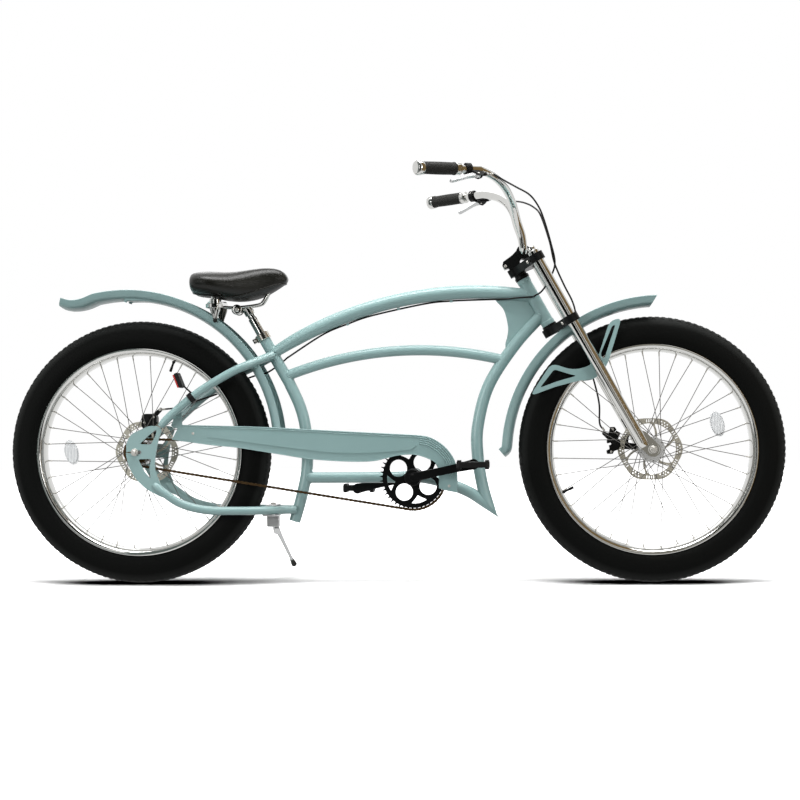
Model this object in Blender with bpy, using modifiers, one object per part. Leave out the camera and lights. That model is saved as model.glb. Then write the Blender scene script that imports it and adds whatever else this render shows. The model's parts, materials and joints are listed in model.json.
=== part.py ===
# Stretch cruiser bicycle, built in metres with +X forward, +Y to the rider's left and +Z up.
# The origin lies on the ground midway between the two axles.
import bpy
import bmesh
from math import atan2, cos, hypot, pi, radians, sin, sqrt
from mathutils import Matrix, Vector

# Clearances
GAP = 0.0003
RUNNING_GAP = 0.0015

# Wheels
WHEELBASE = 1.416
TIRE_RADIUS = 0.365
TIRE_WIDTH = 0.092
TREAD_FLAT = 0.036
RIM_RADIUS = 0.286
RIM_WIDTH = 0.078
RIM_DEPTH = 0.018
WHEEL_STEPS = 36
HUB_STEPS = 10
SPOKE_COUNT = 36
SPOKE_CROSSES = 3
SPOKE_RADIUS = 0.0011
FLANGE_RADIUS = 0.035
FLANGE_THICKNESS = 0.0048
HUB_SHELL_RADIUS = 0.018
HUB_END_RADIUS = 0.010
ROTOR_BOSS_RADIUS = 0.0172
DISC_MOUNT_RADIUS = 0.0225
AXLE_RADIUS = 0.005
NUT_RADIUS = 0.0095
NUT_LENGTH = 0.0085
ROTOR_RADIUS = 0.0875
ROTOR_WAVE = 0.0025
ROTOR_BAND = 0.0165
ROTOR_THICKNESS = 0.002
ROTOR_ARMS = 6

# Rear end
REAR_SPACING = 0.190
DROPOUT_THICKNESS = 0.006
REAR_FLANGE_Y = 0.034
REAR_ROTOR_Y = 0.075
CHAIN_Y = -0.060

# Steering, in distances ahead of and along the steering axis
RAKE = radians(29.2)
CROWN_OFFSET = 0.058
AXLE_OFFSET = 0.017
HEAD_LOW = 0.437
HEAD_LENGTH = 0.145
HEAD_RADIUS = 0.018
HEAD_BORE = 0.015
STEERER_RADIUS = 0.0127
CUP_RADIUS = 0.0205
CUP_HEIGHT = 0.010
RACE_HEIGHT = 0.007
CROWN_HEIGHT = 0.022
CROWN_RING = 0.006
LEG_RADIUS = 0.016
LEG_Y = 0.078
LEG_CAP_RADIUS = 0.0115
LEG_CAP_HEIGHT = 0.013
FORK_SPACING = 0.132
LUG_THICKNESS = 0.008
LUG_RADIUS = 0.020
FRONT_FLANGE_Y = 0.035
FRONT_ROTOR_Y = 0.052
STEM_LENGTH = 0.038
STEM_WIDTH = 0.040
STEM_HEIGHT = 0.029
BAR_CLAMP_RADIUS = 0.020
BAR_CLAMP_WIDTH = 0.050
BAR_RADIUS = 0.0111
BAR_STRAIGHT = 0.197
GRIP_RADIUS = 0.0172
GRIP_LENGTH = 0.100
COLLAR_RADIUS = 0.0168
COLLAR_LENGTH = 0.016
BAR_CAP_RADIUS = 0.021
BAR_CAP_LENGTH = 0.020
LEVER_LENGTH = 0.095
LEVER_OFFSET = 0.024
LEVER_THICKNESS = 0.008
LEVER_PIN_RADIUS = 0.0025

# Frame tubes
TOP_TUBE_RADIUS = 0.019
MIDDLE_TUBE_RADIUS = 0.0145
DOWN_TUBE_RADIUS = 0.0165
SEAT_TUBE_RADIUS = 0.016
SEAT_TUBE_BORE_DEPTH = 0.150
LOWER_TUBE_RADIUS = 0.0155
STAY_RADIUS = 0.0115
SEAT_ANGLE = radians(29.5)
GUSSET_THICKNESS = 0.008
LOOP_RADIUS = 0.0055
LOOP_Y = 0.035
LOOP_ARC_RADIUS = 0.3899

# Drive
CHAIN_PITCH = 0.0127
RING_TEETH = 44
COG_TEETH = 18
CRANK_DROP = 0.0725
CRANK_REACH = 0.764
CRANK_LENGTH = 0.170
CRANK_ANGLE = radians(12)
ARM_THICKNESS = 0.016
ARM_SPLAY = 0.014
ARM_Y = 0.076
SPINDLE_RADIUS = 0.0085
SHELL_RADIUS = 0.021
SHELL_WIDTH = 0.090
CHAIN_HEIGHT = 0.0080
CHAIN_WIDTH = 0.0088
CHAIN_INNER = 0.0034
TOOTH_THICKNESS = 0.0022
TOOTH_HEIGHT = 0.0041
TOOTH_ROOT_WIDTH = 0.0056
RING_THICKNESS = 0.004
FREEWHEEL_RADIUS = 0.015
PEDAL_AXLE_RADIUS = 0.005
PEDAL_LENGTH = 0.088
PEDAL_WIDTH = 0.078
PEDAL_HEIGHT = 0.024
GUARD_Y = -0.0692
GUARD_THICKNESS = 0.0015
GUARD_FLANGE = 0.011

# Seat
SEAT_POST_RADIUS = 0.0136
SEAT_POST_NECK_RADIUS = 0.011
SEAT_POST_NECK = 0.030
SEAT_POST_SHOWN = 0.084
SEAT_POST_INSIDE = 0.095
RAIL_RADIUS = 0.0035
RAIL_Y = 0.022
SPRING_Y = 0.060
SPRING_RADIUS = 0.0155
SPRING_FLUTES = 7

# Fenders
FENDER_HALF_WIDTH = 0.056
FENDER_DROP = 0.027
FENDER_THICKNESS = 0.0016
REAR_FENDER_RADIUS = 0.406
FRONT_FENDER_RADIUS = 0.4045
BRACE_THICKNESS = 0.0055

# Kickstand
KICKSTAND_LENGTH = 0.210
KICKSTAND_RADIUS = 0.0075
KICKSTAND_BOSS_RADIUS = 0.010

TUBE_SIDES = 10
CABLE_RADIUS = 0.0025

REAR_AXLE = Vector((-WHEELBASE / 2, 0, TIRE_RADIUS))
FRONT_AXLE = Vector((WHEELBASE / 2, 0, TIRE_RADIUS))
SIDEWAYS = Vector((0, 1, 0))
STEER_AXIS = Vector((-sin(RAKE), 0, cos(RAKE)))
STEER_FORWARD = Vector((cos(RAKE), 0, sin(RAKE)))
AXLE_AHEAD = CROWN_OFFSET + AXLE_OFFSET
STEER_BASE = FRONT_AXLE - AXLE_AHEAD * STEER_FORWARD
SEAT_AXIS = Vector((sin(SEAT_ANGLE), 0, -cos(SEAT_ANGLE)))
HEAD_TOP = HEAD_LOW + HEAD_LENGTH
CUP_TOP = HEAD_TOP + GAP + CUP_HEIGHT
LOWER_CROWN_TOP = HEAD_LOW - GAP - RACE_HEIGHT
UPPER_CROWN_LOW = CUP_TOP + 0.007
UPPER_CROWN_TOP = UPPER_CROWN_LOW + CROWN_HEIGHT
STEM_LOW = UPPER_CROWN_TOP + GAP
STEM_TOP = STEM_LOW + STEM_HEIGHT
BAR_UP = STEM_TOP - 0.005


def on_steering(forward, side, along):
    """Point given by its distances ahead of, beside and along the steering axis."""
    return STEER_BASE + forward * STEER_FORWARD + side * SIDEWAYS + along * STEER_AXIS


def clear_scene():
    for obj in list(bpy.data.objects):
        bpy.data.objects.remove(obj, do_unlink=True)


clear_scene()
PARTS = bpy.data.collections.new("stretch_cruiser_bicycle")
CUTTERS = bpy.data.collections.new("cutters")
GUIDES = bpy.data.collections.new("joint_guides")
for group in (PARTS, CUTTERS, GUIDES):
    bpy.context.scene.collection.children.link(group)


def linear(value):
    return value / 12.92 if value <= 0.04045 else ((value + 0.055) / 1.055) ** 2.4


def make_material(name, hex_colour, roughness, metallic):
    material = bpy.data.materials.new(name)
    material.use_nodes = True
    shader = material.node_tree.nodes["Principled BSDF"]
    channels = [int(hex_colour[i:i + 2], 16) / 255 for i in (0, 2, 4)]
    colour = [linear(c) for c in channels] + [1.0]
    shader.inputs["Base Color"].default_value = colour
    shader.inputs["Roughness"].default_value = roughness
    shader.inputs["Metallic"].default_value = metallic
    material.diffuse_color = colour
    return material


SAGE = make_material("sage_paint", "8EA7A4", 0.45, 0.0)
CHROME = make_material("chrome", "D8D8D6", 0.10, 1.0)
ALLOY = make_material("polished_alloy", "C9CBCC", 0.28, 1.0)
BLACK = make_material("black_satin", "141414", 0.40, 0.0)
RUBBER = make_material("tire_rubber", "151515", 0.80, 0.0)
GRIP_RUBBER = make_material("grip_rubber", "1D1D1B", 0.75, 0.0)
VINYL = make_material("saddle_vinyl", "12120F", 0.45, 0.0)
STEEL = make_material("bright_steel", "B9B7B0", 0.30, 1.0)
BROWN = make_material("brown_chain", "5B4326", 0.40, 0.8)
RED = make_material("red_lens", "B01E18", 0.25, 0.0)
CABLE = make_material("cable_housing", "101010", 0.50, 0.0)


def add(name, mesh, material, matrix=None, collection=PARTS):
    """Link one mesh as an object, smooth on its round sides."""
    obj = bpy.data.objects.new(name, mesh)
    collection.objects.link(obj)
    if matrix is not None:
        obj.matrix_world = matrix
    if material is not None:
        obj.data.materials.append(material)
    mesh.shade_smooth()
    mesh.set_sharp_from_angle(angle=radians(40))
    if collection is CUTTERS:
        obj.hide_render = True
        obj.display_type = "WIRE"
    return obj


def welded(curve_object):
    """The mesh of a curve object, with its caps joined to its sides."""
    bpy.context.view_layer.update()
    graph = bpy.context.evaluated_depsgraph_get()
    mesh = bpy.data.meshes.new_from_object(curve_object.evaluated_get(graph))
    matrix = curve_object.matrix_world.copy()
    bpy.data.objects.remove(curve_object, do_unlink=True)
    bm = bmesh.new()
    bm.from_mesh(mesh)
    bmesh.ops.remove_doubles(bm, verts=bm.verts, dist=1e-5)
    bmesh.ops.dissolve_degenerate(bm, edges=bm.edges, dist=1e-6)
    bmesh.ops.recalc_face_normals(bm, faces=bm.faces)
    bm.to_mesh(mesh)
    bm.free()
    mesh.materials.clear()
    return mesh, matrix


def pipe(name, points, radius, material, sides=TUBE_SIDES, radii=None, closed=False, collection=PARTS):
    """Round tube or wire along a line of points."""
    data = bpy.data.curves.new(name, "CURVE")
    data.dimensions = "3D"
    data.bevel_depth = radius
    data.bevel_resolution = (sides - 4) // 2
    data.use_fill_caps = True
    data.twist_mode = "MINIMUM"
    data.resolution_u = 1
    spline = data.splines.new("POLY")
    spline.points.add(len(points) - 1)
    for index, (point, target) in enumerate(zip(points, spline.points)):
        target.co = (*point, 1)
        target.radius = radii[index] / radius if radii else 1.0
    spline.use_cyclic_u = closed
    obj = bpy.data.objects.new(name, data)
    CUTTERS.objects.link(obj)
    mesh, matrix = welded(obj)
    return add(name, mesh, material, matrix, collection)


def slab(name, outlines, low, high, material, frame, collection=PARTS):
    """Flat piece of even thickness: an outline, and outlines of holes, in the X and Y of a frame."""
    data = bpy.data.curves.new(name, "CURVE")
    data.dimensions = "2D"
    data.fill_mode = "BOTH"
    data.extrude = (high - low) / 2
    data.resolution_u = 1
    for outline in outlines:
        spline = data.splines.new("POLY")
        spline.points.add(len(outline) - 1)
        for point, target in zip(outline, spline.points):
            target.co = (point[0], point[1], 0, 1)
        spline.use_cyclic_u = True
    obj = bpy.data.objects.new(name, data)
    CUTTERS.objects.link(obj)
    obj.matrix_world = frame @ Matrix.Translation((0, 0, (low + high) / 2))
    mesh, matrix = welded(obj)
    return add(name, mesh, material, matrix, collection)


def plate(name, outlines, y_low, y_high, material, collection=PARTS, origin=(0, 0)):
    """Upright plate: outlines in X and Z about an origin, between two distances to the side."""
    frame = Matrix.Translation((origin[0], 0, origin[1])) @ Matrix.Rotation(pi / 2, 4, "X")
    return slab(name, outlines, -y_high, -y_low, material, frame, collection)


def axis_matrix(origin, axis):
    """Placement whose local Z lies along an axis."""
    return Matrix.Translation(origin) @ Vector((0, 0, 1)).rotation_difference(axis).to_matrix().to_4x4()


def turned(name, profile, origin, axis, material, steps=24, closed=False, collection=PARTS, phase=0.0):
    """Body of revolution: a profile of radius and height, listed from the top down its outer side."""
    bm = bmesh.new()
    verts = [bm.verts.new((radius, 0, height)) for radius, height in profile]
    pairs = list(zip(verts, verts[1:])) + ([(verts[-1], verts[0])] if closed else [])
    for first, second in pairs:
        bm.edges.new((first, second))
    mesh = bpy.data.meshes.new(name)
    bm.to_mesh(mesh)
    bm.free()
    place = axis_matrix(origin, axis) @ Matrix.Rotation(phase, 4, "Z")
    obj = add(name, mesh, material, place, collection)
    screw = obj.modifiers.new("turn", "SCREW")
    screw.axis = "Z"
    screw.steps = steps
    screw.render_steps = steps
    screw.use_merge_vertices = True
    screw.merge_threshold = 0.00001
    screw.use_smooth_shade = True
    return obj


def rod(name, start, end, radius, material, sides=16, collection=PARTS):
    """Solid cylinder between two points."""
    start = Vector(start)
    end = Vector(end)
    bm = bmesh.new()
    bmesh.ops.create_cone(bm, cap_ends=True, segments=sides, radius1=radius, radius2=radius,
                          depth=(end - start).length)
    mesh = bpy.data.meshes.new(name)
    bm.to_mesh(mesh)
    bm.free()
    return add(name, mesh, material, axis_matrix((start + end) / 2, (end - start).normalized()), collection)


def box(name, centre, size, material, matrix=None, collection=PARTS, bevel=0.0):
    """Block with optional rounded edges, placed by its centre and an optional turn."""
    bm = bmesh.new()
    bmesh.ops.create_cube(bm, size=1.0)
    bmesh.ops.scale(bm, vec=Vector(size), verts=bm.verts)
    mesh = bpy.data.meshes.new(name)
    bm.to_mesh(mesh)
    bm.free()
    place = Matrix.Translation(centre) @ (matrix if matrix is not None else Matrix.Identity(4))
    obj = add(name, mesh, material, place, collection)
    if bevel:
        rounding = obj.modifiers.new("round", "BEVEL")
        rounding.width = bevel
        rounding.segments = 1
        rounding.limit_method = "ANGLE"
        rounding.harden_normals = False
    return obj


def combine(obj, tool, operation):
    """Cut with, or join to, another object, which becomes a cutter."""
    modifier = obj.modifiers.new(operation.lower(), "BOOLEAN")
    modifier.operation = operation
    modifier.solver = "EXACT"
    modifier.object = tool
    if tool.name not in CUTTERS.objects:
        PARTS.objects.unlink(tool)
        CUTTERS.objects.link(tool)
    tool.hide_render = True
    tool.display_type = "WIRE"
    return obj


def cut(obj, tool):
    return combine(obj, tool, "DIFFERENCE")


def join(obj, tool):
    return combine(obj, tool, "UNION")


def smooth_line(points, steps):
    """Points on a Catmull-Rom curve through a few chosen ones, with the given steps between each two."""
    knots = [Vector(p) for p in points]
    knots = [2 * knots[0] - knots[1]] + knots + [2 * knots[-1] - knots[-2]]
    line = []
    for a, b, c, d in zip(knots, knots[1:], knots[2:], knots[3:]):
        for step in range(steps):
            t = step / steps
            line.append(0.5 * (2 * b + (c - a) * t + (2 * a - 5 * b + 4 * c - d) * t * t
                               + (3 * b - 3 * c + d - a) * t ** 3))
    line.append(knots[-2])
    return line


def thin(points, slack=0.0018):
    """The same line with the points left out that lie within a slack of the straight between the others."""
    if len(points) < 3:
        return list(points)
    start, end = Vector(points[0]), Vector(points[-1])
    chord = end - start
    far, reach = 0, 0.0
    for index in range(1, len(points) - 1):
        offset = Vector(points[index]) - start
        share = min(max(offset.dot(chord) / chord.length_squared, 0.0), 1.0)
        distance = (offset - share * chord).length
        if distance > reach:
            far, reach = index, distance
    if reach < slack:
        return [start, end]
    return thin(points[:far + 1], slack)[:-1] + thin(points[far:], slack)


def bow(start, end, rise, count):
    """Arc in the X-Z plane between two points with a given rise, as count steps."""
    start = Vector(start)
    end = Vector(end)
    chord = end - start
    half = chord.length / 2
    along = chord.normalized()
    up = Vector((-along.z, 0, along.x))
    radius = (half * half + rise * rise) / (2 * rise)
    reach = atan2(half, radius - rise)
    centre = (start + end) / 2 - up * (radius - rise)
    angles = [reach * (2 * k / count - 1) for k in range(count + 1)]
    return [centre + radius * (sin(a) * along + cos(a) * up) for a in angles]


def circle(radius, count, centre=(0, 0), start=0.0):
    return [Vector((centre[0] + radius * cos(start + 2 * pi * k / count),
                    centre[1] + radius * sin(start + 2 * pi * k / count))) for k in range(count)]


def arc(centre, radius, start, end, count):
    """Points of a flat arc, angles in degrees."""
    angles = [radians(start + (end - start) * k / count) for k in range(count + 1)]
    return [Vector((centre[0] + radius * cos(a), centre[1] + radius * sin(a))) for a in angles]


def grown(outline, distance):
    """Outline moved outward by a distance on every side."""
    points = [Vector(p) for p in outline]
    ring = list(zip(points[-1:] + points[:-1], points, points[1:] + points[:1]))
    area = sum(here.x * after.y - after.x * here.y for before, here, after in ring)
    sign = 1 if area > 0 else -1
    result = []
    for before, here, after in ring:
        first = (here - before).normalized()
        second = (after - here).normalized()
        first = Vector((first.y, -first.x))
        second = Vector((second.y, -second.x))
        result.append(here + (first + second) * (sign * distance / (1 + first.dot(second))))
    return result


def around(radius, sides):
    """Corner radius of a hole whose flats stay clear of a round piece."""
    return (radius + GAP) / cos(pi / sides)


def mirror_y(points):
    return [Vector((p[0], -p[1], p[2])) for p in points]


def from_rear(x, y, z):
    return REAR_AXLE + Vector((x, y, z))


def from_front(x, y, z):
    return FRONT_AXLE + Vector((x, y, z))


SIDES = (("left", 1), ("right", -1))
STEER_FRAME = Matrix.Translation(STEER_BASE) @ Matrix(
    (STEER_FORWARD, SIDEWAYS, STEER_AXIS)).transposed().to_4x4()
REAR = (REAR_AXLE.x, REAR_AXLE.z)
FRONT = (FRONT_AXLE.x, FRONT_AXLE.z)


# Chain line: the crank is placed so that a whole number of pairs of links closes the loop.
RING_PATH = RING_TEETH * CHAIN_PITCH / (2 * pi)
COG_PATH = COG_TEETH * CHAIN_PITCH / (2 * pi)


def loop_length(distance):
    lean = (RING_PATH - COG_PATH) / distance
    wrap = atan2(lean, sqrt(1 - lean * lean))
    straight = sqrt(distance ** 2 - (RING_PATH - COG_PATH) ** 2)
    return 2 * straight + RING_PATH * (pi + 2 * wrap) + COG_PATH * (pi - 2 * wrap)


LINKS = 2 * round(loop_length(hypot(CRANK_REACH, CRANK_DROP)) / (2 * CHAIN_PITCH))
nearest, farthest = 0.8 * CRANK_REACH, 1.2 * CRANK_REACH
for halving in range(50):
    middle = (nearest + farthest) / 2
    if loop_length(middle) < LINKS * CHAIN_PITCH:
        nearest = middle
    else:
        farthest = middle
CHAIN_REACH = (nearest + farthest) / 2
CRANK = REAR_AXLE + Vector((sqrt(CHAIN_REACH ** 2 - CRANK_DROP ** 2), 0, -CRANK_DROP))


def from_crank(x, y, z):
    return CRANK + Vector((x, y, z))


# Wheels
FACET = pi / WHEEL_STEPS


def make_tire(name, centre):
    bead = RIM_RADIUS + GAP
    height = TIRE_RADIUS - bead
    half = TIRE_WIDTH / 2
    side = [(bead, 0.80 * half), (bead + 0.32 * height, half), (bead + 0.72 * height, 0.90 * half),
            (TIRE_RADIUS / cos(FACET), TREAD_FLAT / 2)]
    profile = side + [(r, -h) for r, h in reversed(side)]
    return turned(name, profile, centre, SIDEWAYS, RUBBER, WHEEL_STEPS, True, phase=FACET)


def make_rim(name, centre):
    half = RIM_WIDTH / 2
    well = RIM_RADIUS - RIM_DEPTH
    side = [(RIM_RADIUS, half), (RIM_RADIUS, -half), (well, -0.55 * half), (well, 0.55 * half)]
    return turned(name, side, centre, SIDEWAYS, CHROME, WHEEL_STEPS, True, phase=FACET)


def make_hub(name, centre, left_end, left_flange, rotor_y, right_flange, right_steps):
    """Hub shell with its flanges and spokes."""
    bore = around(AXLE_RADIUS, HUB_STEPS)
    half = FLANGE_THICKNESS / 2
    left_boss = rotor_y + 0.002
    rotor_seat = rotor_y - ROTOR_THICKNESS / 2 - GAP
    profile = [(bore, left_end), (HUB_END_RADIUS, left_end), (HUB_END_RADIUS, left_boss),
               (ROTOR_BOSS_RADIUS, left_boss), (ROTOR_BOSS_RADIUS, rotor_seat),
               (DISC_MOUNT_RADIUS, rotor_seat), (DISC_MOUNT_RADIUS, left_flange + half),
               (FLANGE_RADIUS, left_flange + half), (FLANGE_RADIUS, left_flange - half),
               (HUB_SHELL_RADIUS, left_flange - half), (HUB_SHELL_RADIUS, right_flange + half),
               (FLANGE_RADIUS, right_flange + half), (FLANGE_RADIUS, right_flange - half)]
    profile += right_steps + [(bore, right_steps[-1][1])]
    hub = turned(name, profile, centre, SIDEWAYS, ALLOY, HUB_STEPS, True)
    bm = bmesh.new()
    per_side = SPOKE_COUNT // 2
    step = 2 * pi / per_side
    hole_radius = FLANGE_RADIUS - 0.003
    rim_radius = RIM_RADIUS - RIM_DEPTH - GAP
    for flange, first, rim_y in ((left_flange, FACET, 0.006), (right_flange, FACET + step / 2, -0.006)):
        for index in range(per_side):
            lean = step * SPOKE_CROSSES * (1 if index % 2 else -1)
            offset = (SPOKE_RADIUS + 0.00015) * (1 if index % 2 else -1)
            at_rim = first + step * index
            at_hub = at_rim + lean
            inner = Vector((hole_radius * cos(at_hub), flange + offset, hole_radius * sin(at_hub)))
            outer = Vector((rim_radius * cos(at_rim), rim_y, rim_radius * sin(at_rim)))
            place = axis_matrix((inner + outer) / 2, (outer - inner).normalized())
            bmesh.ops.create_cone(bm, cap_ends=True, segments=3, radius1=SPOKE_RADIUS,
                                  radius2=SPOKE_RADIUS, depth=(outer - inner).length, matrix=place)
    mesh = bpy.data.meshes.new(name + "_spokes")
    bm.to_mesh(mesh)
    bm.free()
    spokes = add(name + "_spokes", mesh, STEEL, Matrix.Translation(centre), CUTTERS)
    return join(hub, spokes)


def make_rotor(name, centre, y):
    lobes = 4 * ROTOR_ARMS
    outer = [Vector(((ROTOR_RADIUS + ROTOR_WAVE * cos(2 * pi * ROTOR_ARMS * k / lobes)) * cos(2 * pi * k / lobes),
                     (ROTOR_RADIUS + ROTOR_WAVE * cos(2 * pi * ROTOR_ARMS * k / lobes)) * sin(2 * pi * k / lobes)))
             for k in range(lobes)]
    outlines = [outer, circle(around(ROTOR_BOSS_RADIUS, HUB_STEPS), HUB_STEPS)]
    pitch = 2 * pi / ROTOR_ARMS
    inside, outside = ROTOR_BOSS_RADIUS + 0.010, ROTOR_RADIUS - ROTOR_BAND
    for arm in range(ROTOR_ARMS):
        window = []
        for radius, twist, width in ((outside, 0.42, 0.120), ((inside + outside) / 2, 0.18, 0.13), (inside, 0.0, 0.19)):
            window.append((radius, arm * pitch + twist + width))
        for radius, twist, width in ((inside, 0.0, 0.19), ((inside + outside) / 2, 0.18, 0.13), (outside, 0.42, 0.120)):
            window.append((radius, (arm + 1) * pitch + twist - width))
        span = pitch - 0.24
        window.append((outside + 0.003, arm * pitch + 0.42 + 0.120 + span / 2))
        outlines.append([Vector((r * cos(a), r * sin(a))) for r, a in window])
    half = ROTOR_THICKNESS / 2
    return plate(name, outlines, y - half, y + half, STEEL, origin=(centre.x, centre.z))


def make_axle(name, centre, half_length, nut_start):
    axle = rod(name, centre - half_length * SIDEWAYS, centre + half_length * SIDEWAYS, AXLE_RADIUS, STEEL, HUB_STEPS)
    for side, sign in SIDES:
        near = centre + sign * nut_start * SIDEWAYS
        far = centre + sign * (nut_start + NUT_LENGTH) * SIDEWAYS
        join(axle, rod(name + "_nut_" + side, near, far, NUT_RADIUS, STEEL, 6, CUTTERS))
    return axle


make_tire("rear_tire", REAR_AXLE)
make_rim("rear_rim", REAR_AXLE)
HUB_REAR_END = REAR_SPACING / 2 - 0.0005
freewheel_out = CHAIN_Y - 0.006
make_hub("rear_hub", REAR_AXLE, HUB_REAR_END, REAR_FLANGE_Y, REAR_ROTOR_Y, -REAR_FLANGE_Y,
         [(0.013, -REAR_FLANGE_Y - FLANGE_THICKNESS / 2), (0.013, CHAIN_Y + 0.010),
          (FREEWHEEL_RADIUS, CHAIN_Y + 0.010), (FREEWHEEL_RADIUS, freewheel_out),
          (HUB_END_RADIUS, freewheel_out), (HUB_END_RADIUS, -HUB_REAR_END)])
make_rotor("rear_rotor", REAR_AXLE, REAR_ROTOR_Y)
DROPOUT_OUT = REAR_SPACING / 2 + DROPOUT_THICKNESS
make_axle("rear_axle", REAR_AXLE, DROPOUT_OUT + 0.014, DROPOUT_OUT + GAP)

make_tire("front_tire", FRONT_AXLE)
make_rim("front_rim", FRONT_AXLE)
HUB_FRONT_END = FORK_SPACING / 2 - 0.0005
make_hub("front_hub", FRONT_AXLE, HUB_FRONT_END, FRONT_FLANGE_Y - 0.003, FRONT_ROTOR_Y, -FRONT_FLANGE_Y,
         [(0.013, -FRONT_FLANGE_Y - FLANGE_THICKNESS / 2), (HUB_END_RADIUS, -HUB_FRONT_END + 0.012),
          (HUB_END_RADIUS, -HUB_FRONT_END)])
make_rotor("front_rotor", FRONT_AXLE, FRONT_ROTOR_Y)
LUG_OUT = FORK_SPACING / 2 + LUG_THICKNESS
make_axle("front_axle", FRONT_AXLE, LUG_OUT + 0.012, LUG_OUT + GAP)


# Drive train
def chain_path(distance):
    """Point and outward direction at a distance along the chain, from the top of the front ring."""
    along = (CRANK - REAR_AXLE).normalized()
    along = Vector((along.x, along.z))
    up = Vector((-along.y, along.x))
    lean = atan2(RING_PATH - COG_PATH, sqrt(CHAIN_REACH ** 2 - (RING_PATH - COG_PATH) ** 2))
    ring_arc = RING_PATH * (pi + 2 * lean)
    cog_arc = COG_PATH * (pi - 2 * lean)
    straight = sqrt(CHAIN_REACH ** 2 - (RING_PATH - COG_PATH) ** 2)
    distance %= LINKS * CHAIN_PITCH
    ring = Vector((CRANK.x, CRANK.z))
    cog = Vector((REAR_AXLE.x, REAR_AXLE.z))
    upper = pi / 2 + lean
    lower = -pi / 2 - lean

    def out(angle):
        return cos(angle) * along + sin(angle) * up

    if distance < ring_arc:
        angle = upper - distance / RING_PATH
        return ring + RING_PATH * out(angle), out(angle)
    distance -= ring_arc
    if distance < straight:
        share = distance / straight
        return (ring + RING_PATH * out(lower)).lerp(cog + COG_PATH * out(lower), share), out(lower)
    distance -= straight
    if distance < cog_arc:
        angle = lower - distance / COG_PATH
        return cog + COG_PATH * out(angle), out(angle)
    distance -= cog_arc
    share = distance / straight
    return (cog + COG_PATH * out(upper)).lerp(ring + RING_PATH * out(upper), share), out(upper)


def make_chain():
    """Roller chain: a window for each tooth round the sprockets, and one to every fourth link between them."""
    pins = [chain_path((k + 0.5) * CHAIN_PITCH) for k in range(LINKS)]
    corners = [pin for before, pin, after in zip(pins[-1:] + pins[:-1], pins, pins[1:] + pins[:1])
               if before[1].angle(after[1]) > 0.001]
    half = CHAIN_HEIGHT / 2
    outer = [point + half * out for point, out in corners]
    inner = [point - half * out for point, out in corners]
    chain = plate("chain", [outer, inner], CHAIN_Y - CHAIN_WIDTH / 2, CHAIN_Y + CHAIN_WIDTH / 2, BROWN)
    bm = bmesh.new()
    for number, ((start, start_out), (end, end_out)) in enumerate(zip(pins, pins[1:] + pins[:1])):
        middle = (start + end) / 2
        reach = min((middle - Vector((CRANK.x, CRANK.z))).length - RING_PATH, (middle - Vector(REAR)).length - COG_PATH)
        if number % 4 and reach > 2 * TOOTH_HEIGHT:
            continue
        along = (end - start).normalized()
        place = Matrix.Translation((middle.x, CHAIN_Y, middle.y)) @ Matrix.Rotation(
            -atan2(along.y, along.x), 4, "Y")
        block = bmesh.ops.create_cube(bm, size=1.0)["verts"]
        bmesh.ops.scale(bm, vec=Vector((CHAIN_PITCH / 2, CHAIN_INNER, 2 * CHAIN_HEIGHT)), verts=block)
        bmesh.ops.transform(bm, matrix=place, verts=block)
    mesh = bpy.data.meshes.new("chain_windows")
    bm.to_mesh(mesh)
    bm.free()
    return cut(chain, add("chain_windows", mesh, None, None, CUTTERS))


def toothed_outline(teeth, path_radius, first_tooth):
    """Outline with one tooth in each chain window, about its own centre."""
    root = (path_radius - CHAIN_HEIGHT / 2) * cos(pi / teeth) - GAP
    tip = path_radius + TOOTH_HEIGHT
    outline = []
    for tooth in range(teeth):
        middle = first_tooth + 2 * pi * tooth / teeth
        for radius, side in ((root, -1), (tip, 0), (root, 1)):
            angle = middle + side * TOOTH_ROOT_WIDTH / 2 / radius
            outline.append(Vector((radius * cos(angle), radius * sin(angle))))
    return outline


def tooth_phase(centre, distance):
    """Angle of the tooth midway between two pins that lie near a distance along the chain."""
    index = round(distance / CHAIN_PITCH)
    point = chain_path(index * CHAIN_PITCH)[0] - Vector((centre.x, centre.z))
    return atan2(point.y, point.x)


make_chain()
RING_FACE = CHAIN_Y - TOOTH_THICKNESS / 2
ring_edge = toothed_outline(RING_TEETH, RING_PATH, tooth_phase(CRANK, RING_PATH * pi / 2))
ring_holes = []
for quarter in range(4):
    turn = radians(55 + 90 * quarter)
    ring_holes.append(circle(0.0135, 8, (0.050 * cos(turn), 0.050 * sin(turn))))
    middle = turn + pi / 4
    window = [(0.072, -0.42), (0.0745, 0.0), (0.072, 0.42), (0.050, 0.20), (0.038, 0.0), (0.050, -0.20)]
    ring_holes.append([Vector((r * cos(middle + a), r * sin(middle + a))) for r, a in window])
ring = plate("chainring", [ring_edge] + ring_holes, CHAIN_Y - TOOTH_THICKNESS / 2, CHAIN_Y + TOOTH_THICKNESS / 2,
             BLACK, origin=(CRANK.x, CRANK.z))
boss_out = -ARM_Y + GAP
join(ring, rod("chainring_boss", CRANK + (CHAIN_Y + 0.0004) * SIDEWAYS, CRANK + boss_out * SIDEWAYS, 0.024, BLACK, 12,
               CUTTERS))
cut(ring, rod("chainring_bore", CRANK - 0.05 * SIDEWAYS, CRANK - 0.09 * SIDEWAYS, around(SPINDLE_RADIUS, 10), None, 10,
              CUTTERS))

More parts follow.
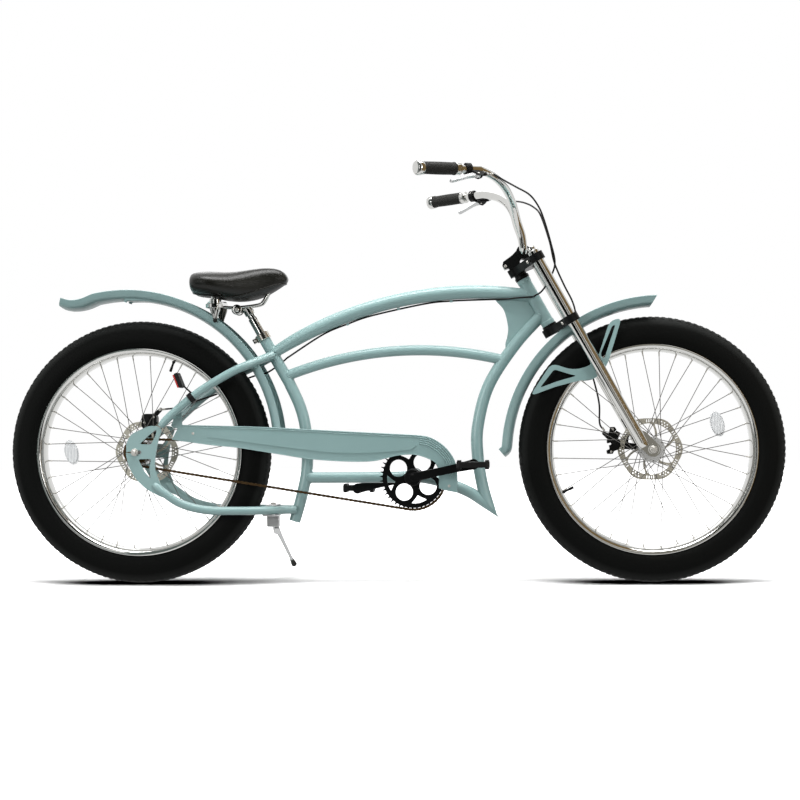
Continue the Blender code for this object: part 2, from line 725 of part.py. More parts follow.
cog_y = TOOTH_THICKNESS / 2
cog_edge = toothed_outline(COG_TEETH, COG_PATH, tooth_phase(
    REAR_AXLE, LINKS * CHAIN_PITCH - sqrt(CHAIN_REACH ** 2 - (RING_PATH - COG_PATH) ** 2) - COG_PATH * pi / 2))
cog = plate("rear_cog", [cog_edge], CHAIN_Y - cog_y, CHAIN_Y + cog_y, BROWN, origin=REAR)
join(cog, rod("rear_cog_boss", REAR_AXLE + (CHAIN_Y + 0.006) * SIDEWAYS, REAR_AXLE + (CHAIN_Y - 0.004) * SIDEWAYS, 0.023,
              BROWN, 12, CUTTERS))
cut(cog, rod("rear_cog_bore", REAR_AXLE - 0.04 * SIDEWAYS, REAR_AXLE - 0.08 * SIDEWAYS,
             around(FREEWHEEL_RADIUS, HUB_STEPS), None, HUB_STEPS, CUTTERS))


def make_arm(name, sign):
    """Crank arm in its own plane, pointing forward from the spindle, and splayed outward to the pedal."""
    outline = arc((0, 0), 0.021, 35, 325, 6) + [Vector((0.034, -0.0125)), Vector((0.09, -0.0110))]
    outline += arc((CRANK_LENGTH, 0), 0.0145, -110, 110, 5) + [Vector((0.09, 0.0110)), Vector((0.034, 0.0125))]
    turn = CRANK_ANGLE if sign < 0 else CRANK_ANGLE + pi
    frame = Matrix.Translation(CRANK) @ Matrix.Rotation(-turn, 4, "Y") @ Matrix.Rotation(pi / 2, 4, "X")
    low, high = (ARM_Y, ARM_Y + ARM_THICKNESS) if sign < 0 else (-ARM_Y - ARM_THICKNESS, -ARM_Y)
    piece = slab(name, [outline], low, high, BLACK, frame, CUTTERS)
    neck = 0.022
    for vertex in piece.data.vertices:
        share = min(max((vertex.co.x - neck) / (CRANK_LENGTH - 2 * neck), 0.0), 1.0)
        vertex.co.z -= sign * ARM_SPLAY * share
    return piece


def pedal_centre(sign):
    turn = CRANK_ANGLE if sign < 0 else CRANK_ANGLE + pi
    return CRANK + Vector((CRANK_LENGTH * cos(turn), 0, CRANK_LENGTH * sin(turn)))


arm_in, arm_out = ARM_Y + ARM_SPLAY, ARM_Y + ARM_SPLAY + ARM_THICKNESS
pedal_in = arm_out + 0.006
pedal_out = pedal_in + PEDAL_WIDTH
crankset = rod("crankset", CRANK - (ARM_Y + ARM_THICKNESS + 0.002) * SIDEWAYS,
               CRANK + (ARM_Y + ARM_THICKNESS + 0.002) * SIDEWAYS, SPINDLE_RADIUS, BLACK, 10)
for side, sign in SIDES:
    join(crankset, make_arm("crank_arm_" + side, sign))
    middle = pedal_centre(sign)
    join(crankset, rod("pedal_axle_" + side, middle + sign * (arm_in + 0.004) * SIDEWAYS,
                       middle + sign * (pedal_out - 0.002) * SIDEWAYS, PEDAL_AXLE_RADIUS, STEEL, 8, CUTTERS))


def make_pedal(name, sign):
    centre = pedal_centre(sign) + sign * (pedal_in + pedal_out) / 2 * SIDEWAYS
    length, width = PEDAL_LENGTH / 2, PEDAL_WIDTH / 2
    edge = [Vector(p) for p in ((length - 0.008, -width), (length, -width + 0.008), (length, width - 0.008),
                                (length - 0.008, width), (-length + 0.008, width), (-length, width - 0.008),
                                (-length, -width + 0.008), (-length + 0.008, -width))]
    windows = []
    for end in (1, -1):
        windows.append([Vector(p) for p in ((end * 0.013, -width + 0.010), (end * (length - 0.011), -width + 0.010),
                                            (end * (length - 0.011), width - 0.010), (end * 0.013, width - 0.010))])
    half = PEDAL_HEIGHT / 2
    pedal = slab(name, [edge] + windows, -half, half, BLACK, Matrix.Translation(centre))
    for end in (1, -1):
        notch = box(name + "_notch_" + str(end), centre + Vector((0, 0, end * half)),
                    (0.050, 0.046, 0.010), None, None, CUTTERS)
        cut(pedal, notch)
    bore = rod(name + "_bore", centre - 0.06 * SIDEWAYS, centre + 0.06 * SIDEWAYS,
               around(PEDAL_AXLE_RADIUS, 8), None, 8, CUTTERS)
    return cut(pedal, bore)


for side, sign in SIDES:
    make_pedal("pedal_" + side, sign)


# Steering assembly
def head_profile(extra):
    """Outer side of the head tube, with a thicker ring at each end."""
    thick = HEAD_RADIUS + 0.0012 + extra
    return [(thick, HEAD_TOP + extra), (thick, HEAD_TOP - 0.011), (HEAD_RADIUS + extra, HEAD_TOP - 0.013),
            (HEAD_RADIUS + extra, HEAD_LOW + 0.013), (thick, HEAD_LOW + 0.011), (thick, HEAD_LOW - extra)]


HEAD_SIDES = 12
head_tube = turned("head_tube", [(HEAD_BORE, HEAD_TOP)] + head_profile(0) + [(HEAD_BORE, HEAD_LOW)],
                   STEER_BASE, STEER_AXIS, SAGE, HEAD_SIDES, True)
HEAD_CUTTER = turned("head_cutter", [(0, HEAD_TOP + 0.02)] + [(0.0001, HEAD_TOP + 0.02)] + [
    (r, HEAD_TOP + 0.02 if k == 0 else h) for k, (r, h) in enumerate(head_profile(GAP))] + [(0, HEAD_LOW - GAP)],
                     STEER_BASE, STEER_AXIS, None, HEAD_SIDES, False, CUTTERS)
steerer_fit = around(STEERER_RADIUS, HEAD_SIDES)
turned("headset_cup", [(steerer_fit, CUP_TOP), (CUP_RADIUS - 0.0025, CUP_TOP), (CUP_RADIUS, CUP_TOP - 0.003),
                       (CUP_RADIUS, HEAD_TOP + GAP), (steerer_fit, HEAD_TOP + GAP)],
       STEER_BASE, STEER_AXIS, BLACK, HEAD_SIDES, True)


def crown_outline(lead):
    """Outline of a fork crown about the steering axis, with a clamp ring at each leg."""
    ring_radius = LEG_RADIUS + CROWN_RING
    left = arc((CROWN_OFFSET, LEG_Y), ring_radius, -60, 170, 6)
    front = [Vector((CROWN_OFFSET - 0.006, LEG_Y - 0.030)), Vector((CROWN_OFFSET - 0.016, 0.022))]
    back = [Vector((CROWN_OFFSET - 0.040, LEG_Y - 0.024)), Vector((-0.002, 0.024)), Vector((-0.018, 0.018)),
            Vector((-lead, 0.010))]
    half = front[::-1] + left + back
    return half + [Vector((p.x, -p.y)) for p in reversed(half)]


LEG_SIDES = 12
leg_fit = around(LEG_RADIUS, LEG_SIDES)
leg_holes = [circle(leg_fit, LEG_SIDES, (CROWN_OFFSET, sign * LEG_Y)) for side, sign in SIDES]
lower_low = LOWER_CROWN_TOP - CROWN_HEIGHT
lower_crown = slab("lower_crown", [crown_outline(0.026)] + leg_holes, lower_low, LOWER_CROWN_TOP, BLACK, STEER_FRAME)
stem_core = STEM_TOP - 0.004
steerer = turned("steerer", [(0, stem_core), (STEERER_RADIUS, stem_core), (STEERER_RADIUS, HEAD_LOW - GAP),
                             (HEAD_RADIUS + 0.003, HEAD_LOW - GAP), (HEAD_RADIUS + 0.003, LOWER_CROWN_TOP - 0.002),
                             (0, LOWER_CROWN_TOP - 0.002)], STEER_BASE, STEER_AXIS, BLACK, HEAD_SIDES, False, CUTTERS)
join(lower_crown, steerer)
for side, sign in SIDES:
    start = on_steering(0.027, sign * (LEG_Y + 0.006), lower_low + CROWN_HEIGHT / 2)
    join(lower_crown, rod("lower_crown_bolt_" + side, start, start + 0.014 * STEER_FORWARD, 0.0045, STEEL, 8,
                          CUTTERS))

upper_crown = slab("upper_crown", [crown_outline(0.027)] + leg_holes,
                   UPPER_CROWN_LOW, UPPER_CROWN_TOP, BLACK, STEER_FRAME)
join(upper_crown, rod("upper_crown_spacer", on_steering(0, 0, UPPER_CROWN_LOW + 0.002), on_steering(0, 0, CUP_TOP + GAP),
                      0.0175, BLACK, HEAD_SIDES, CUTTERS))
cut(upper_crown, rod("upper_crown_bore", on_steering(0, 0, CUP_TOP - 0.01), on_steering(0, 0, UPPER_CROWN_TOP + 0.01),
                     steerer_fit, None, HEAD_SIDES, CUTTERS))

LEG_LOW = 0.018
LEG_TOP = UPPER_CROWN_TOP + 0.010
for side, sign in SIDES:
    foot = STEER_BASE + CROWN_OFFSET * STEER_FORWARD + sign * LEG_Y * SIDEWAYS
    leg = turned("fork_leg_" + side, [(0, LEG_TOP + LEG_CAP_HEIGHT), (LEG_CAP_RADIUS - 0.001, LEG_TOP + LEG_CAP_HEIGHT),
                                      (LEG_CAP_RADIUS, LEG_TOP), (LEG_RADIUS, LEG_TOP - 0.001),
                                      (LEG_RADIUS, LEG_LOW + 0.014), (LEG_RADIUS - 0.004, LEG_LOW), (0, LEG_LOW)],
                 foot, STEER_AXIS, CHROME, LEG_SIDES)
    lug = [Vector((CROWN_OFFSET - 0.013, 0.064)), Vector((CROWN_OFFSET + 0.013, 0.064)),
           Vector((AXLE_AHEAD + 0.006, 0.052)), Vector((AXLE_AHEAD + 0.014, 0.024))]
    lug += arc((AXLE_AHEAD, 0), LUG_RADIUS, 25, -160, 6)
    lug += [Vector((CROWN_OFFSET - 0.012, 0.020))]
    frame = STEER_FRAME @ Matrix.Rotation(pi / 2, 4, "X")
    inner, outer = FORK_SPACING / 2, LUG_OUT
    low, high = (-outer, -inner) if sign > 0 else (inner, outer)
    blade = slab("lug_" + side, [lug], low, high, CHROME, frame, CUTTERS)
    join(leg, blade)
    cut(leg, rod("lug_hole_" + side, FRONT_AXLE + sign * 0.05 * SIDEWAYS, FRONT_AXLE + sign * 0.09 * SIDEWAYS,
                 around(AXLE_RADIUS, HUB_STEPS), None, HUB_STEPS, CUTTERS))


def leg_cutter(side, sign):
    foot = STEER_BASE + CROWN_OFFSET * STEER_FORWARD + sign * LEG_Y * SIDEWAYS
    return rod("leg_cutter_" + side, foot - 0.05 * STEER_AXIS, foot + 0.70 * STEER_AXIS, leg_fit, None, LEG_SIDES, CUTTERS)


# Stem: one block that clamps the steerer behind and the handlebar in front
BAR_SIDES = 8
BAR_CENTRE = on_steering(STEM_LENGTH, 0, BAR_UP)
clamp = arc((STEM_LENGTH, BAR_UP), BAR_CLAMP_RADIUS, 140, -75, 6)
stem_side = [Vector((-0.019, STEM_LOW)), Vector((-0.020, STEM_LOW + 0.006)), Vector((-0.030, STEM_LOW + 0.008)),
             Vector((-0.031, STEM_LOW + 0.020)), Vector((-0.024, STEM_TOP - 0.001)), Vector((-0.006, STEM_TOP + 0.001)),
             Vector((0.008, STEM_TOP + 0.003))] + clamp + [
             Vector((STEM_LENGTH - 0.010, STEM_LOW + 0.008)), Vector((0.0235, STEM_LOW + 0.006)),
             Vector((0.0215, STEM_LOW))]
side_frame = STEER_FRAME @ Matrix.Rotation(pi / 2, 4, "X")
stem = slab("stem", [stem_side], -STEM_WIDTH / 2, STEM_WIDTH / 2, BLACK, side_frame)
join(stem, rod("stem_clamp", BAR_CENTRE - BAR_CLAMP_WIDTH / 2 * SIDEWAYS, BAR_CENTRE + BAR_CLAMP_WIDTH / 2 * SIDEWAYS,
               BAR_CLAMP_RADIUS - 0.0004, BLACK, 12, CUTTERS))
cut(stem, rod("stem_bar_bore", BAR_CENTRE - 0.04 * SIDEWAYS, BAR_CENTRE + 0.04 * SIDEWAYS,
              around(BAR_RADIUS, BAR_SIDES), None, BAR_SIDES, CUTTERS))
cut(stem, rod("stem_bore", on_steering(0, 0, STEM_LOW - 0.01), on_steering(0, 0, stem_core + GAP),
              steerer_fit, None, HEAD_SIDES, CUTTERS))

# Handlebar: bends as offsets from the middle of the clamp, on the left side
BAR_BENDS = [(0, 0.031, 0), (-0.0007, 0.0395, 0.011), (-0.0045, 0.0485, 0.042), (-0.0165, 0.066, 0.079), (-0.0285, 0.105, 0.122),
             (-0.0475, 0.170, 0.157), (-0.0755, 0.225, 0.181)]
BAR_TURN = Vector((-0.1155, 0.2735, 0.195))
GRIP_AXIS = Vector((-0.818, 0.573, -0.040)).normalized()


def on_grip(sign, along):
    """Point on the straight end of the bar, from where it starts."""
    point = BAR_CENTRE + BAR_TURN + along * GRIP_AXIS
    return Vector((point.x, sign * point.y, point.z))


def grip_axis(sign):
    return Vector((GRIP_AXIS.x, sign * GRIP_AXIS.y, GRIP_AXIS.z))


bends = [BAR_CENTRE + Vector(p) for p in BAR_BENDS] + [on_grip(1, 0), on_grip(1, 0.03)]
half_bar = thin(smooth_line(bends, 3)[:-3] + [on_grip(1, BAR_STRAIGHT - 0.002)], 0.0022)
handlebar = pipe("handlebar", mirror_y(reversed(half_bar)) + half_bar, BAR_RADIUS, CHROME, BAR_SIDES)
GRIP_END = BAR_STRAIGHT - BAR_CAP_LENGTH
GRIP_START = GRIP_END - GRIP_LENGTH
bar_fit = around(BAR_RADIUS, BAR_SIDES)
for side, sign in SIDES:
    outward = grip_axis(sign)
    origin = on_grip(sign, 0)
    cap = turned("bar_cap_" + side, [(0, BAR_STRAIGHT), (BAR_CAP_RADIUS - 0.005, BAR_STRAIGHT),
                                     (BAR_CAP_RADIUS, BAR_STRAIGHT - 0.004),
                                     (BAR_CAP_RADIUS - 0.002, GRIP_END + GAP), (0, GRIP_END + GAP)],
                 origin, outward, CHROME, 10, False, CUTTERS)
    join(handlebar, cap)
    collar_end = GRIP_START - GAP
    collar = turned("bar_collar_" + side, [(0, collar_end), (COLLAR_RADIUS, collar_end),
                                           (COLLAR_RADIUS - 0.001, collar_end - COLLAR_LENGTH),
                                           (0, collar_end - COLLAR_LENGTH)],
                    origin, outward, CHROME, 10, False, CUTTERS)
    join(handlebar, collar)
    turned("grip_" + side, [(bar_fit, GRIP_END), (GRIP_RADIUS, GRIP_END), (GRIP_RADIUS - 0.0012, GRIP_END - 0.012),
                            (GRIP_RADIUS, (GRIP_START + GRIP_END) / 2), (GRIP_RADIUS - 0.0012, GRIP_START + 0.012),
                            (GRIP_RADIUS, GRIP_START), (bar_fit, GRIP_START)], origin, outward,
           GRIP_RUBBER, 10, True)

# Brake levers: each perch clamps the bar inboard of the grip and carries its lever on a cross pin
PERCH_AT = 0.036
PIVOT_AT = PERCH_AT - 0.020


def lever_frame(sign):
    """Frame at the bar: X along the grip, Y outward and down, Z along the lever's pin."""
    along = grip_axis(sign)
    sideways = Vector((-along.y * sign, along.x * sign, 0)).normalized() * -1
    down = Vector((0, 0, -1))
    drop = (down * cos(radians(45)) + sideways * sin(radians(45)))
    drop = (drop - drop.dot(along) * along).normalized()
    pin = along.cross(drop)
    return Matrix.Translation(on_grip(sign, 0)) @ Matrix((along, drop, pin)).transposed().to_4x4()


for side, sign in SIDES:
    frame = lever_frame(sign)
    pivot = (PIVOT_AT, LEVER_OFFSET)
    body = [Vector((PERCH_AT + 0.007, 0.0)), Vector((PERCH_AT + 0.006, 0.018)), Vector((PIVOT_AT + 0.009, LEVER_OFFSET - 0.004)),
            Vector((PIVOT_AT + 0.008, LEVER_OFFSET + 0.005)), Vector((PIVOT_AT, LEVER_OFFSET + 0.009)),
            Vector((PIVOT_AT - 0.016, LEVER_OFFSET + 0.002)), Vector((PIVOT_AT - 0.018, LEVER_OFFSET - 0.007)),
            Vector((PERCH_AT - 0.012, LEVER_OFFSET - 0.012)), Vector((PERCH_AT - 0.007, 0.0))]
    perch = slab("brake_perch_" + side, [body], -0.0075, 0.0075, BLACK, frame)
    at = on_grip(sign, 0)
    along = grip_axis(sign)
    ring_part = rod("perch_ring_" + side, at + (PERCH_AT - 0.0072) * along, at + (PERCH_AT + 0.0072) * along,
                    BAR_RADIUS + 0.0052, BLACK, BAR_SIDES, CUTTERS)
    join(perch, ring_part)
    barrel_low = frame @ Vector((PIVOT_AT - 0.014, LEVER_OFFSET - 0.003, 0))
    barrel_high = frame @ Vector((PIVOT_AT - 0.038, LEVER_OFFSET - 0.005, 0))
    join(perch, rod("perch_barrel_" + side, barrel_low, barrel_high, 0.0048, BLACK, 8, CUTTERS))
    cut(perch, rod("perch_bore_" + side, at + (PERCH_AT - 0.02) * along, at + (PERCH_AT + 0.02) * along,
                   bar_fit, None, BAR_SIDES, CUTTERS))
    slot_half = LEVER_THICKNESS / 2 + GAP
    slot = slab("perch_slot_" + side, [[Vector((PIVOT_AT - 0.0085, LEVER_OFFSET - 0.0088)),
                                        Vector((PIVOT_AT + 0.03, LEVER_OFFSET - 0.0088)),
                                        Vector((PIVOT_AT + 0.03, LEVER_OFFSET + 0.02)),
                                        Vector((PIVOT_AT - 0.0085, LEVER_OFFSET + 0.02))]],
                -slot_half, slot_half, None, frame, CUTTERS)
    cut(perch, slot)
    pin_low = frame @ Vector((PIVOT_AT, LEVER_OFFSET, -0.007))
    pin_high = frame @ Vector((PIVOT_AT, LEVER_OFFSET, 0.007))
    join(perch, rod("perch_pin_" + side, pin_low, pin_high, LEVER_PIN_RADIUS, STEEL, 8, CUTTERS))
    tip = Vector((PIVOT_AT + LEVER_LENGTH, LEVER_OFFSET + 0.026))
    eye = Vector(pivot)
    lever = arc(pivot, 0.0078, 110, 250, 6)
    lever += [eye + Vector((0.010, -0.0058)), eye + Vector((0.035, 0.0015)), eye + Vector((0.070, 0.0145))]
    lever += arc(tip, 0.0050, -75, 105, 5)
    lever += [eye + Vector((0.068, 0.0225)), eye + Vector((0.033, 0.0110)), eye + Vector((0.010, 0.0072))]
    blade = slab("brake_lever_" + side, [lever, circle(around(LEVER_PIN_RADIUS, 8), 8, pivot)],
                 -LEVER_THICKNESS / 2, LEVER_THICKNESS / 2, BLACK, frame)


# Fenders
def fender_section():
    """Half of the section, from the crown to the edge, as distance to the side and drop."""
    wide, drop = FENDER_HALF_WIDTH, FENDER_DROP
    return [(0.0, 0.0), (0.56 * wide, 0.11 * drop), (0.90 * wide, 0.45 * drop), (wide, drop)]


def make_fender(name, path, outside=FENDER_THICKNESS / 2, inside=FENDER_THICKNESS / 2, collection=PARTS):
    """Rolled fender along a path of crown points in the middle plane, with its depth outside and inside it."""
    half = fender_section()
    section = [(-y, d) for y, d in reversed(half[1:])] + half
    section_data = bpy.data.curves.new(name + "_section", "CURVE")
    section_data.dimensions = "2D"
    spline = section_data.splines.new("POLY")
    spline.points.add(len(section) - 1)
    for (y, d), target in zip(section, spline.points):
        target.co = (-d, y, 0, 1)
    section_obj = bpy.data.objects.new(name + "_section", section_data)
    CUTTERS.objects.link(section_obj)
    data = bpy.data.curves.new(name, "CURVE")
    data.dimensions = "2D"
    data.fill_mode = "NONE"
    data.bevel_mode = "OBJECT"
    data.bevel_object = section_obj
    data.resolution_u = 1
    spline = data.splines.new("POLY")
    spline.points.add(len(path) - 1)
    for point, target in zip(path, spline.points):
        target.co = (point[0], point[1], 0, 1)
    obj = bpy.data.objects.new(name, data)
    CUTTERS.objects.link(obj)
    obj.matrix_world = Matrix.Rotation(pi / 2, 4, "X")
    mesh, matrix = welded(obj)
    bpy.data.objects.remove(section_obj, do_unlink=True)
    fender = add(name, mesh, SAGE, matrix, collection)
    top = max(mesh.polygons, key=lambda face: face.center.y)
    shell = fender.modifiers.new("sheet", "SOLIDIFY")
    shell.thickness = outside + inside
    shell.offset = (outside - inside) / (outside + inside) * (1 if top.normal.y > 0 else -1)
    return fender


REAR_FENDER = (REAR[0] - 0.034, REAR[1] + 0.016)
rear_path = arc(REAR_FENDER, REAR_FENDER_RADIUS, 3, 102, 11)
rear_path += [Vector((REAR[0] - 0.150, REAR[1] + 0.4005)), Vector((REAR[0] - 0.178, REAR[1] + 0.3955)),
              Vector((REAR[0] - 0.200, REAR[1] + 0.3965)), Vector((REAR[0] - 0.232, REAR[1] + 0.4045))]
rear_fender = make_fender("rear_fender", rear_path)
tail = Matrix.Rotation(-atan2(-0.037, 0.042), 4, "Y")
cut(rear_fender, box("rear_fender_tail", from_rear(-0.214, 0, 0.401) + tail @ Vector((0, 0, -0.06)),
                     (0.20, 0.2, 0.12), None, tail, CUTTERS))

FRONT_FENDER = (FRONT[0] + 0.022, FRONT[1] - 0.012)
front_path = arc(FRONT_FENDER, FRONT_FENDER_RADIUS, 90, 175, 9)
front_path += [Vector((FRONT[0] - 0.3835, FRONT[1] + 0.004)), Vector((FRONT[0] - 0.3895, FRONT[1] - 0.009)),
               Vector((FRONT[0] - 0.401, FRONT[1] - 0.019))]
front_fender = make_fender("front_fender", front_path)
lip = Matrix.Rotation(-atan2(-0.033, -0.020), 4, "Y")
cut(front_fender, box("front_fender_lip", from_front(0, 0, 0.395) + lip @ Vector((0, 0, 0.05)),
                      (0.20, 0.2, 0.10), None, lip, CUTTERS))
brace = [Vector(p) for p in ((-0.0815, 0.3600), (-0.1150, 0.3500), (-0.147, 0.251), (-0.174, 0.226), (-0.218, 0.218),
                             (-0.2735, 0.2370), (-0.3330, 0.1470), (-0.259, 0.174), (-0.191, 0.190), (-0.153, 0.193),
                             (-0.122, 0.229))]
brace_slot = [Vector(p) for p in ((-0.099, 0.340), (-0.108, 0.337), (-0.139, 0.262), (-0.136, 0.250), (-0.129, 0.249))]
brace_window = [Vector(p) for p in ((-0.266, 0.220), (-0.305, 0.170), (-0.259, 0.187), (-0.205, 0.202), (-0.222, 0.206))]
BRACE_IN = LEG_Y - LEG_RADIUS - GAP - BRACE_THICKNESS
for side, sign in SIDES:
    low, high = sorted((sign * BRACE_IN, sign * (BRACE_IN + BRACE_THICKNESS)))
    arms = plate("front_brace_" + side, [brace, brace_slot, brace_window], low, high, SAGE, CUTTERS, FRONT)
    join(front_fender, arms)


# Frame
def solid_fit(name, points, radius, sides=TUBE_SIDES, radii=None):
    """Cutter that leaves a gap round a tube."""
    spread = GAP / cos(pi / sides)
    grown_radii = [r + spread for r in radii] if radii else None
    return pipe(name, points, radius + spread, None, sides, grown_radii, collection=CUTTERS)


def on_seat_axis(depth):
    """Point on the seat post's axis, measured down from the top of the seat tube."""
    return SEAT_TOP + depth * SEAT_AXIS


SEAT_TOP = from_rear(0.3397, 0, 0.325)
seat_line = [SEAT_TOP, on_seat_axis(SEAT_TUBE_BORE_DEPTH + 0.004)]
seat_bend = [from_rear(*p) for p in ((0.445, 0, 0.126), (0.4605, 0, 0.064), (0.4655, 0, -0.010), (0.462, 0, -0.064),
                                     (0.448, 0, -0.129), (0.429, 0, -0.195), (0.420, 0, -0.222))]
seat_curve = [SEAT_TOP] + thin(smooth_line([seat_line[1]] + seat_bend, 3))
seat_tube = pipe("seat_tube", seat_curve, SEAT_TUBE_RADIUS, SAGE, TUBE_SIDES)
SEAT_FOOT = REAR[1] - 0.195
cut(seat_tube, box("seat_tube_foot", (REAR[0] + 0.42, 0, SEAT_FOOT - 0.05), (0.2, 0.1, 0.1), None, None, CUTTERS))
post_fit = around(SEAT_POST_RADIUS, 12)
cut(seat_tube, rod("seat_tube_bore", on_seat_axis(-0.02), on_seat_axis(SEAT_TUBE_BORE_DEPTH), post_fit, None, 12, CUTTERS))
SEAT_CUTTER = solid_fit("seat_tube_fit", [on_seat_axis(-0.01)] + seat_curve, SEAT_TUBE_RADIUS)

TOP_REAR = on_seat_axis(0.0615)
TOP_FRONT = on_steering(0, 0, 0.528)
top_line = bow(TOP_REAR, TOP_FRONT, 0.0688, 10)
top_radii = [0.0150, 0.0180] + [TOP_TUBE_RADIUS] * 7 + [0.0185, 0.0168]
top_tube = pipe("top_tube", top_line, TOP_TUBE_RADIUS, SAGE, TUBE_SIDES, top_radii)
cut(top_tube, HEAD_CUTTER)
cut(top_tube, SEAT_CUTTER)
TOP_CUTTER = solid_fit("top_tube_fit", top_line, TOP_TUBE_RADIUS, TUBE_SIDES, top_radii)

down_line = thin(smooth_line([on_steering(0, 0, 0.4716), on_steering(-0.1091, 0, 0.4351), on_steering(-0.2265, 0, 0.3736),
                         from_crank(0.1765, 0, 0.1395), from_crank(0.1755, 0, 0.0575), from_crank(0.188, 0, -0.0245),
                         from_crank(0.207, 0, -0.0920),
                         from_crank(0.2235, 0, -0.1475)], 3))
down_tube = pipe("down_tube", down_line, DOWN_TUBE_RADIUS, SAGE, TUBE_SIDES)
cut(down_tube, HEAD_CUTTER)
DOWN_CUTTER = solid_fit("down_tube_fit", down_line, DOWN_TUBE_RADIUS)

MIDDLE_REAR = on_seat_axis(0.1344)
MIDDLE_FRONT = on_steering(-0.1545, 0, 0.4120)
middle_line = bow(MIDDLE_REAR, MIDDLE_FRONT, 0.0479, 8)
middle_tube = pipe("middle_tube", middle_line, MIDDLE_TUBE_RADIUS, SAGE, TUBE_SIDES)
cut(middle_tube, SEAT_CUTTER)
cut(middle_tube, DOWN_CUTTER)

lower_line = thin(smooth_line([from_rear(0.4605, 0, -0.0735), from_rear(0.56, 0, -0.0738), from_crank(-0.06, 0, -0.0008),
                          from_crank(0.0, 0, 0.0), from_crank(0.055, 0, -0.0085), from_crank(0.113, 0, -0.0265),
                          from_crank(0.156, 0, -0.0457), from_crank(0.195, 0, -0.0712), from_crank(0.235, 0, -0.0975),
                          from_crank(0.262, 0, -0.1155)], 3))
lower_tube = pipe("lower_tube", lower_line, LOWER_TUBE_RADIUS, SAGE, TUBE_SIDES)
join(lower_tube, rod("bottom_bracket_shell", CRANK - SHELL_WIDTH / 2 * SIDEWAYS, CRANK + SHELL_WIDTH / 2 * SIDEWAYS,
                     SHELL_RADIUS, SAGE, 10, CUTTERS))
cut(lower_tube, rod("bottom_bracket_bore", CRANK - 0.06 * SIDEWAYS, CRANK + 0.06 * SIDEWAYS,
                    around(SPINDLE_RADIUS, 10), None, 10, CUTTERS))
cut(lower_tube, SEAT_CUTTER)

# The down tube and the lower tube meet in a sharp toe, cut along one slanted plane
TOE_CORNER = from_crank(0.167, 0, -0.0305)
TOE_TIP = from_crank(0.230, 0, -0.1085)
toe_along = (TOE_TIP - TOE_CORNER).normalized()
toe_turn = Matrix.Rotation(-atan2(toe_along.z, toe_along.x), 4, "Y")
toe_middle = (TOE_CORNER + TOE_TIP) / 2
block = 0.12
cut(down_tube, box("toe_below", toe_middle + toe_turn @ Vector((0, 0, -block / 2 + GAP / 2)), (0.25, block, block),
                   None, toe_turn, CUTTERS))
cut(lower_tube, box("toe_above", toe_middle + toe_turn @ Vector((0, 0, block / 2 - GAP / 2)), (0.25, block, block),
                    None, toe_turn, CUTTERS))

gusset = [on_steering(ahead, 0, up) for ahead, up in (
    (-0.0956, 0.5822), (-0.0930, 0.5624), (-0.0880, 0.5400), (-0.0905, 0.5180), (-0.1020, 0.4850), (-0.1170, 0.4640),
    (-0.1318, 0.4478), (-0.1430, 0.4190), (-0.1091, 0.4351), (0, 0.4716), (0, 0.528), (-0.0200, 0.5434))]
gusset_plate = plate("gusset_plate", [[Vector((p.x, p.z)) for p in gusset]],
                     -GUSSET_THICKNESS / 2, GUSSET_THICKNESS / 2, SAGE)
for tool in (HEAD_CUTTER, TOP_CUTTER, DOWN_CUTTER):
    cut(gusset_plate, tool)

# Rear triangle, each side with a plate dropout held in slotted stay ends
DROPOUT = [Vector(p) for p in (
    (-0.010, 0.050), (0.040, 0.073), (0.065, 0.072), (0.077, 0.061), (0.067, 0.039), (0.057, -0.013), (0.055, -0.043),
    (0.065, -0.072), (0.083, -0.118), (0.081, -0.125), (0.069, -0.121), (0.029, -0.099), (0.002, -0.072),
    (-0.017, -0.037), (-0.025, -0.003), (-0.023, 0.026))]
DROPOUT_WINDOWS = [[Vector(p) for p in ((0.014, 0.023), (0.045, 0.021), (0.058, 0.045), (0.062, 0.063), (0.048, 0.054))],
                   [Vector(p) for p in ((0.010, -0.019), (0.046, -0.018), (0.041, -0.040), (0.044, -0.073),
                                        (0.026, -0.052))]]
SLOT_HALF = AXLE_RADIUS + GAP
SLOT = [Vector((-0.05, SLOT_HALF)), Vector((-0.05, -SLOT_HALF))] + arc(
    (0.0135, 0), SLOT_HALF / cos(pi / 12), -90, 90, 6)
DROPOUT_IN = REAR_SPACING / 2
SEATSTAY = [(0.373, 0.020, 0.267), (0.343, 0.042, 0.254), (0.308, 0.070, 0.238), (0.261, 0.082, 0.216),
            (0.175, 0.086, 0.164), (0.103, 0.093, 0.104), (0.070, 0.098, 0.070)]
CHAINSTAY = [(0.433, 0.018, -0.162), (0.398, 0.035, -0.162), (0.348, 0.068, -0.162), (0.288, 0.083, -0.162),
             (0.200, 0.089, -0.160), (0.130, 0.094, -0.143), (0.081, 0.098, -0.112),
             (0.052, 0.098, -0.088)]
for side, sign in SIDES:
    low, high = sorted((sign * DROPOUT_IN, sign * DROPOUT_OUT))
    dropout = plate("dropout_" + side, [DROPOUT] + DROPOUT_WINDOWS, low, high, SAGE, PARTS, REAR)
    cut(dropout, plate("dropout_slot_" + side, [SLOT], low - 0.01, high + 0.01, None, CUTTERS, REAR))
    fit = plate("dropout_fit_" + side, [grown(DROPOUT, GAP)], low - GAP, high + GAP, None, CUTTERS, REAR)
    for name, points in (("seatstay_", SEATSTAY), ("chainstay_", CHAINSTAY)):
        line = thin(smooth_line([from_rear(x, sign * y, z) for x, y, z in points], 3))
        stay = pipe(name + side, line, STAY_RADIUS, SAGE, 10)
        cut(stay, fit)
        cut(stay, SEAT_CUTTER)
        if name == "seatstay_":
            cut(stay, TOP_CUTTER)


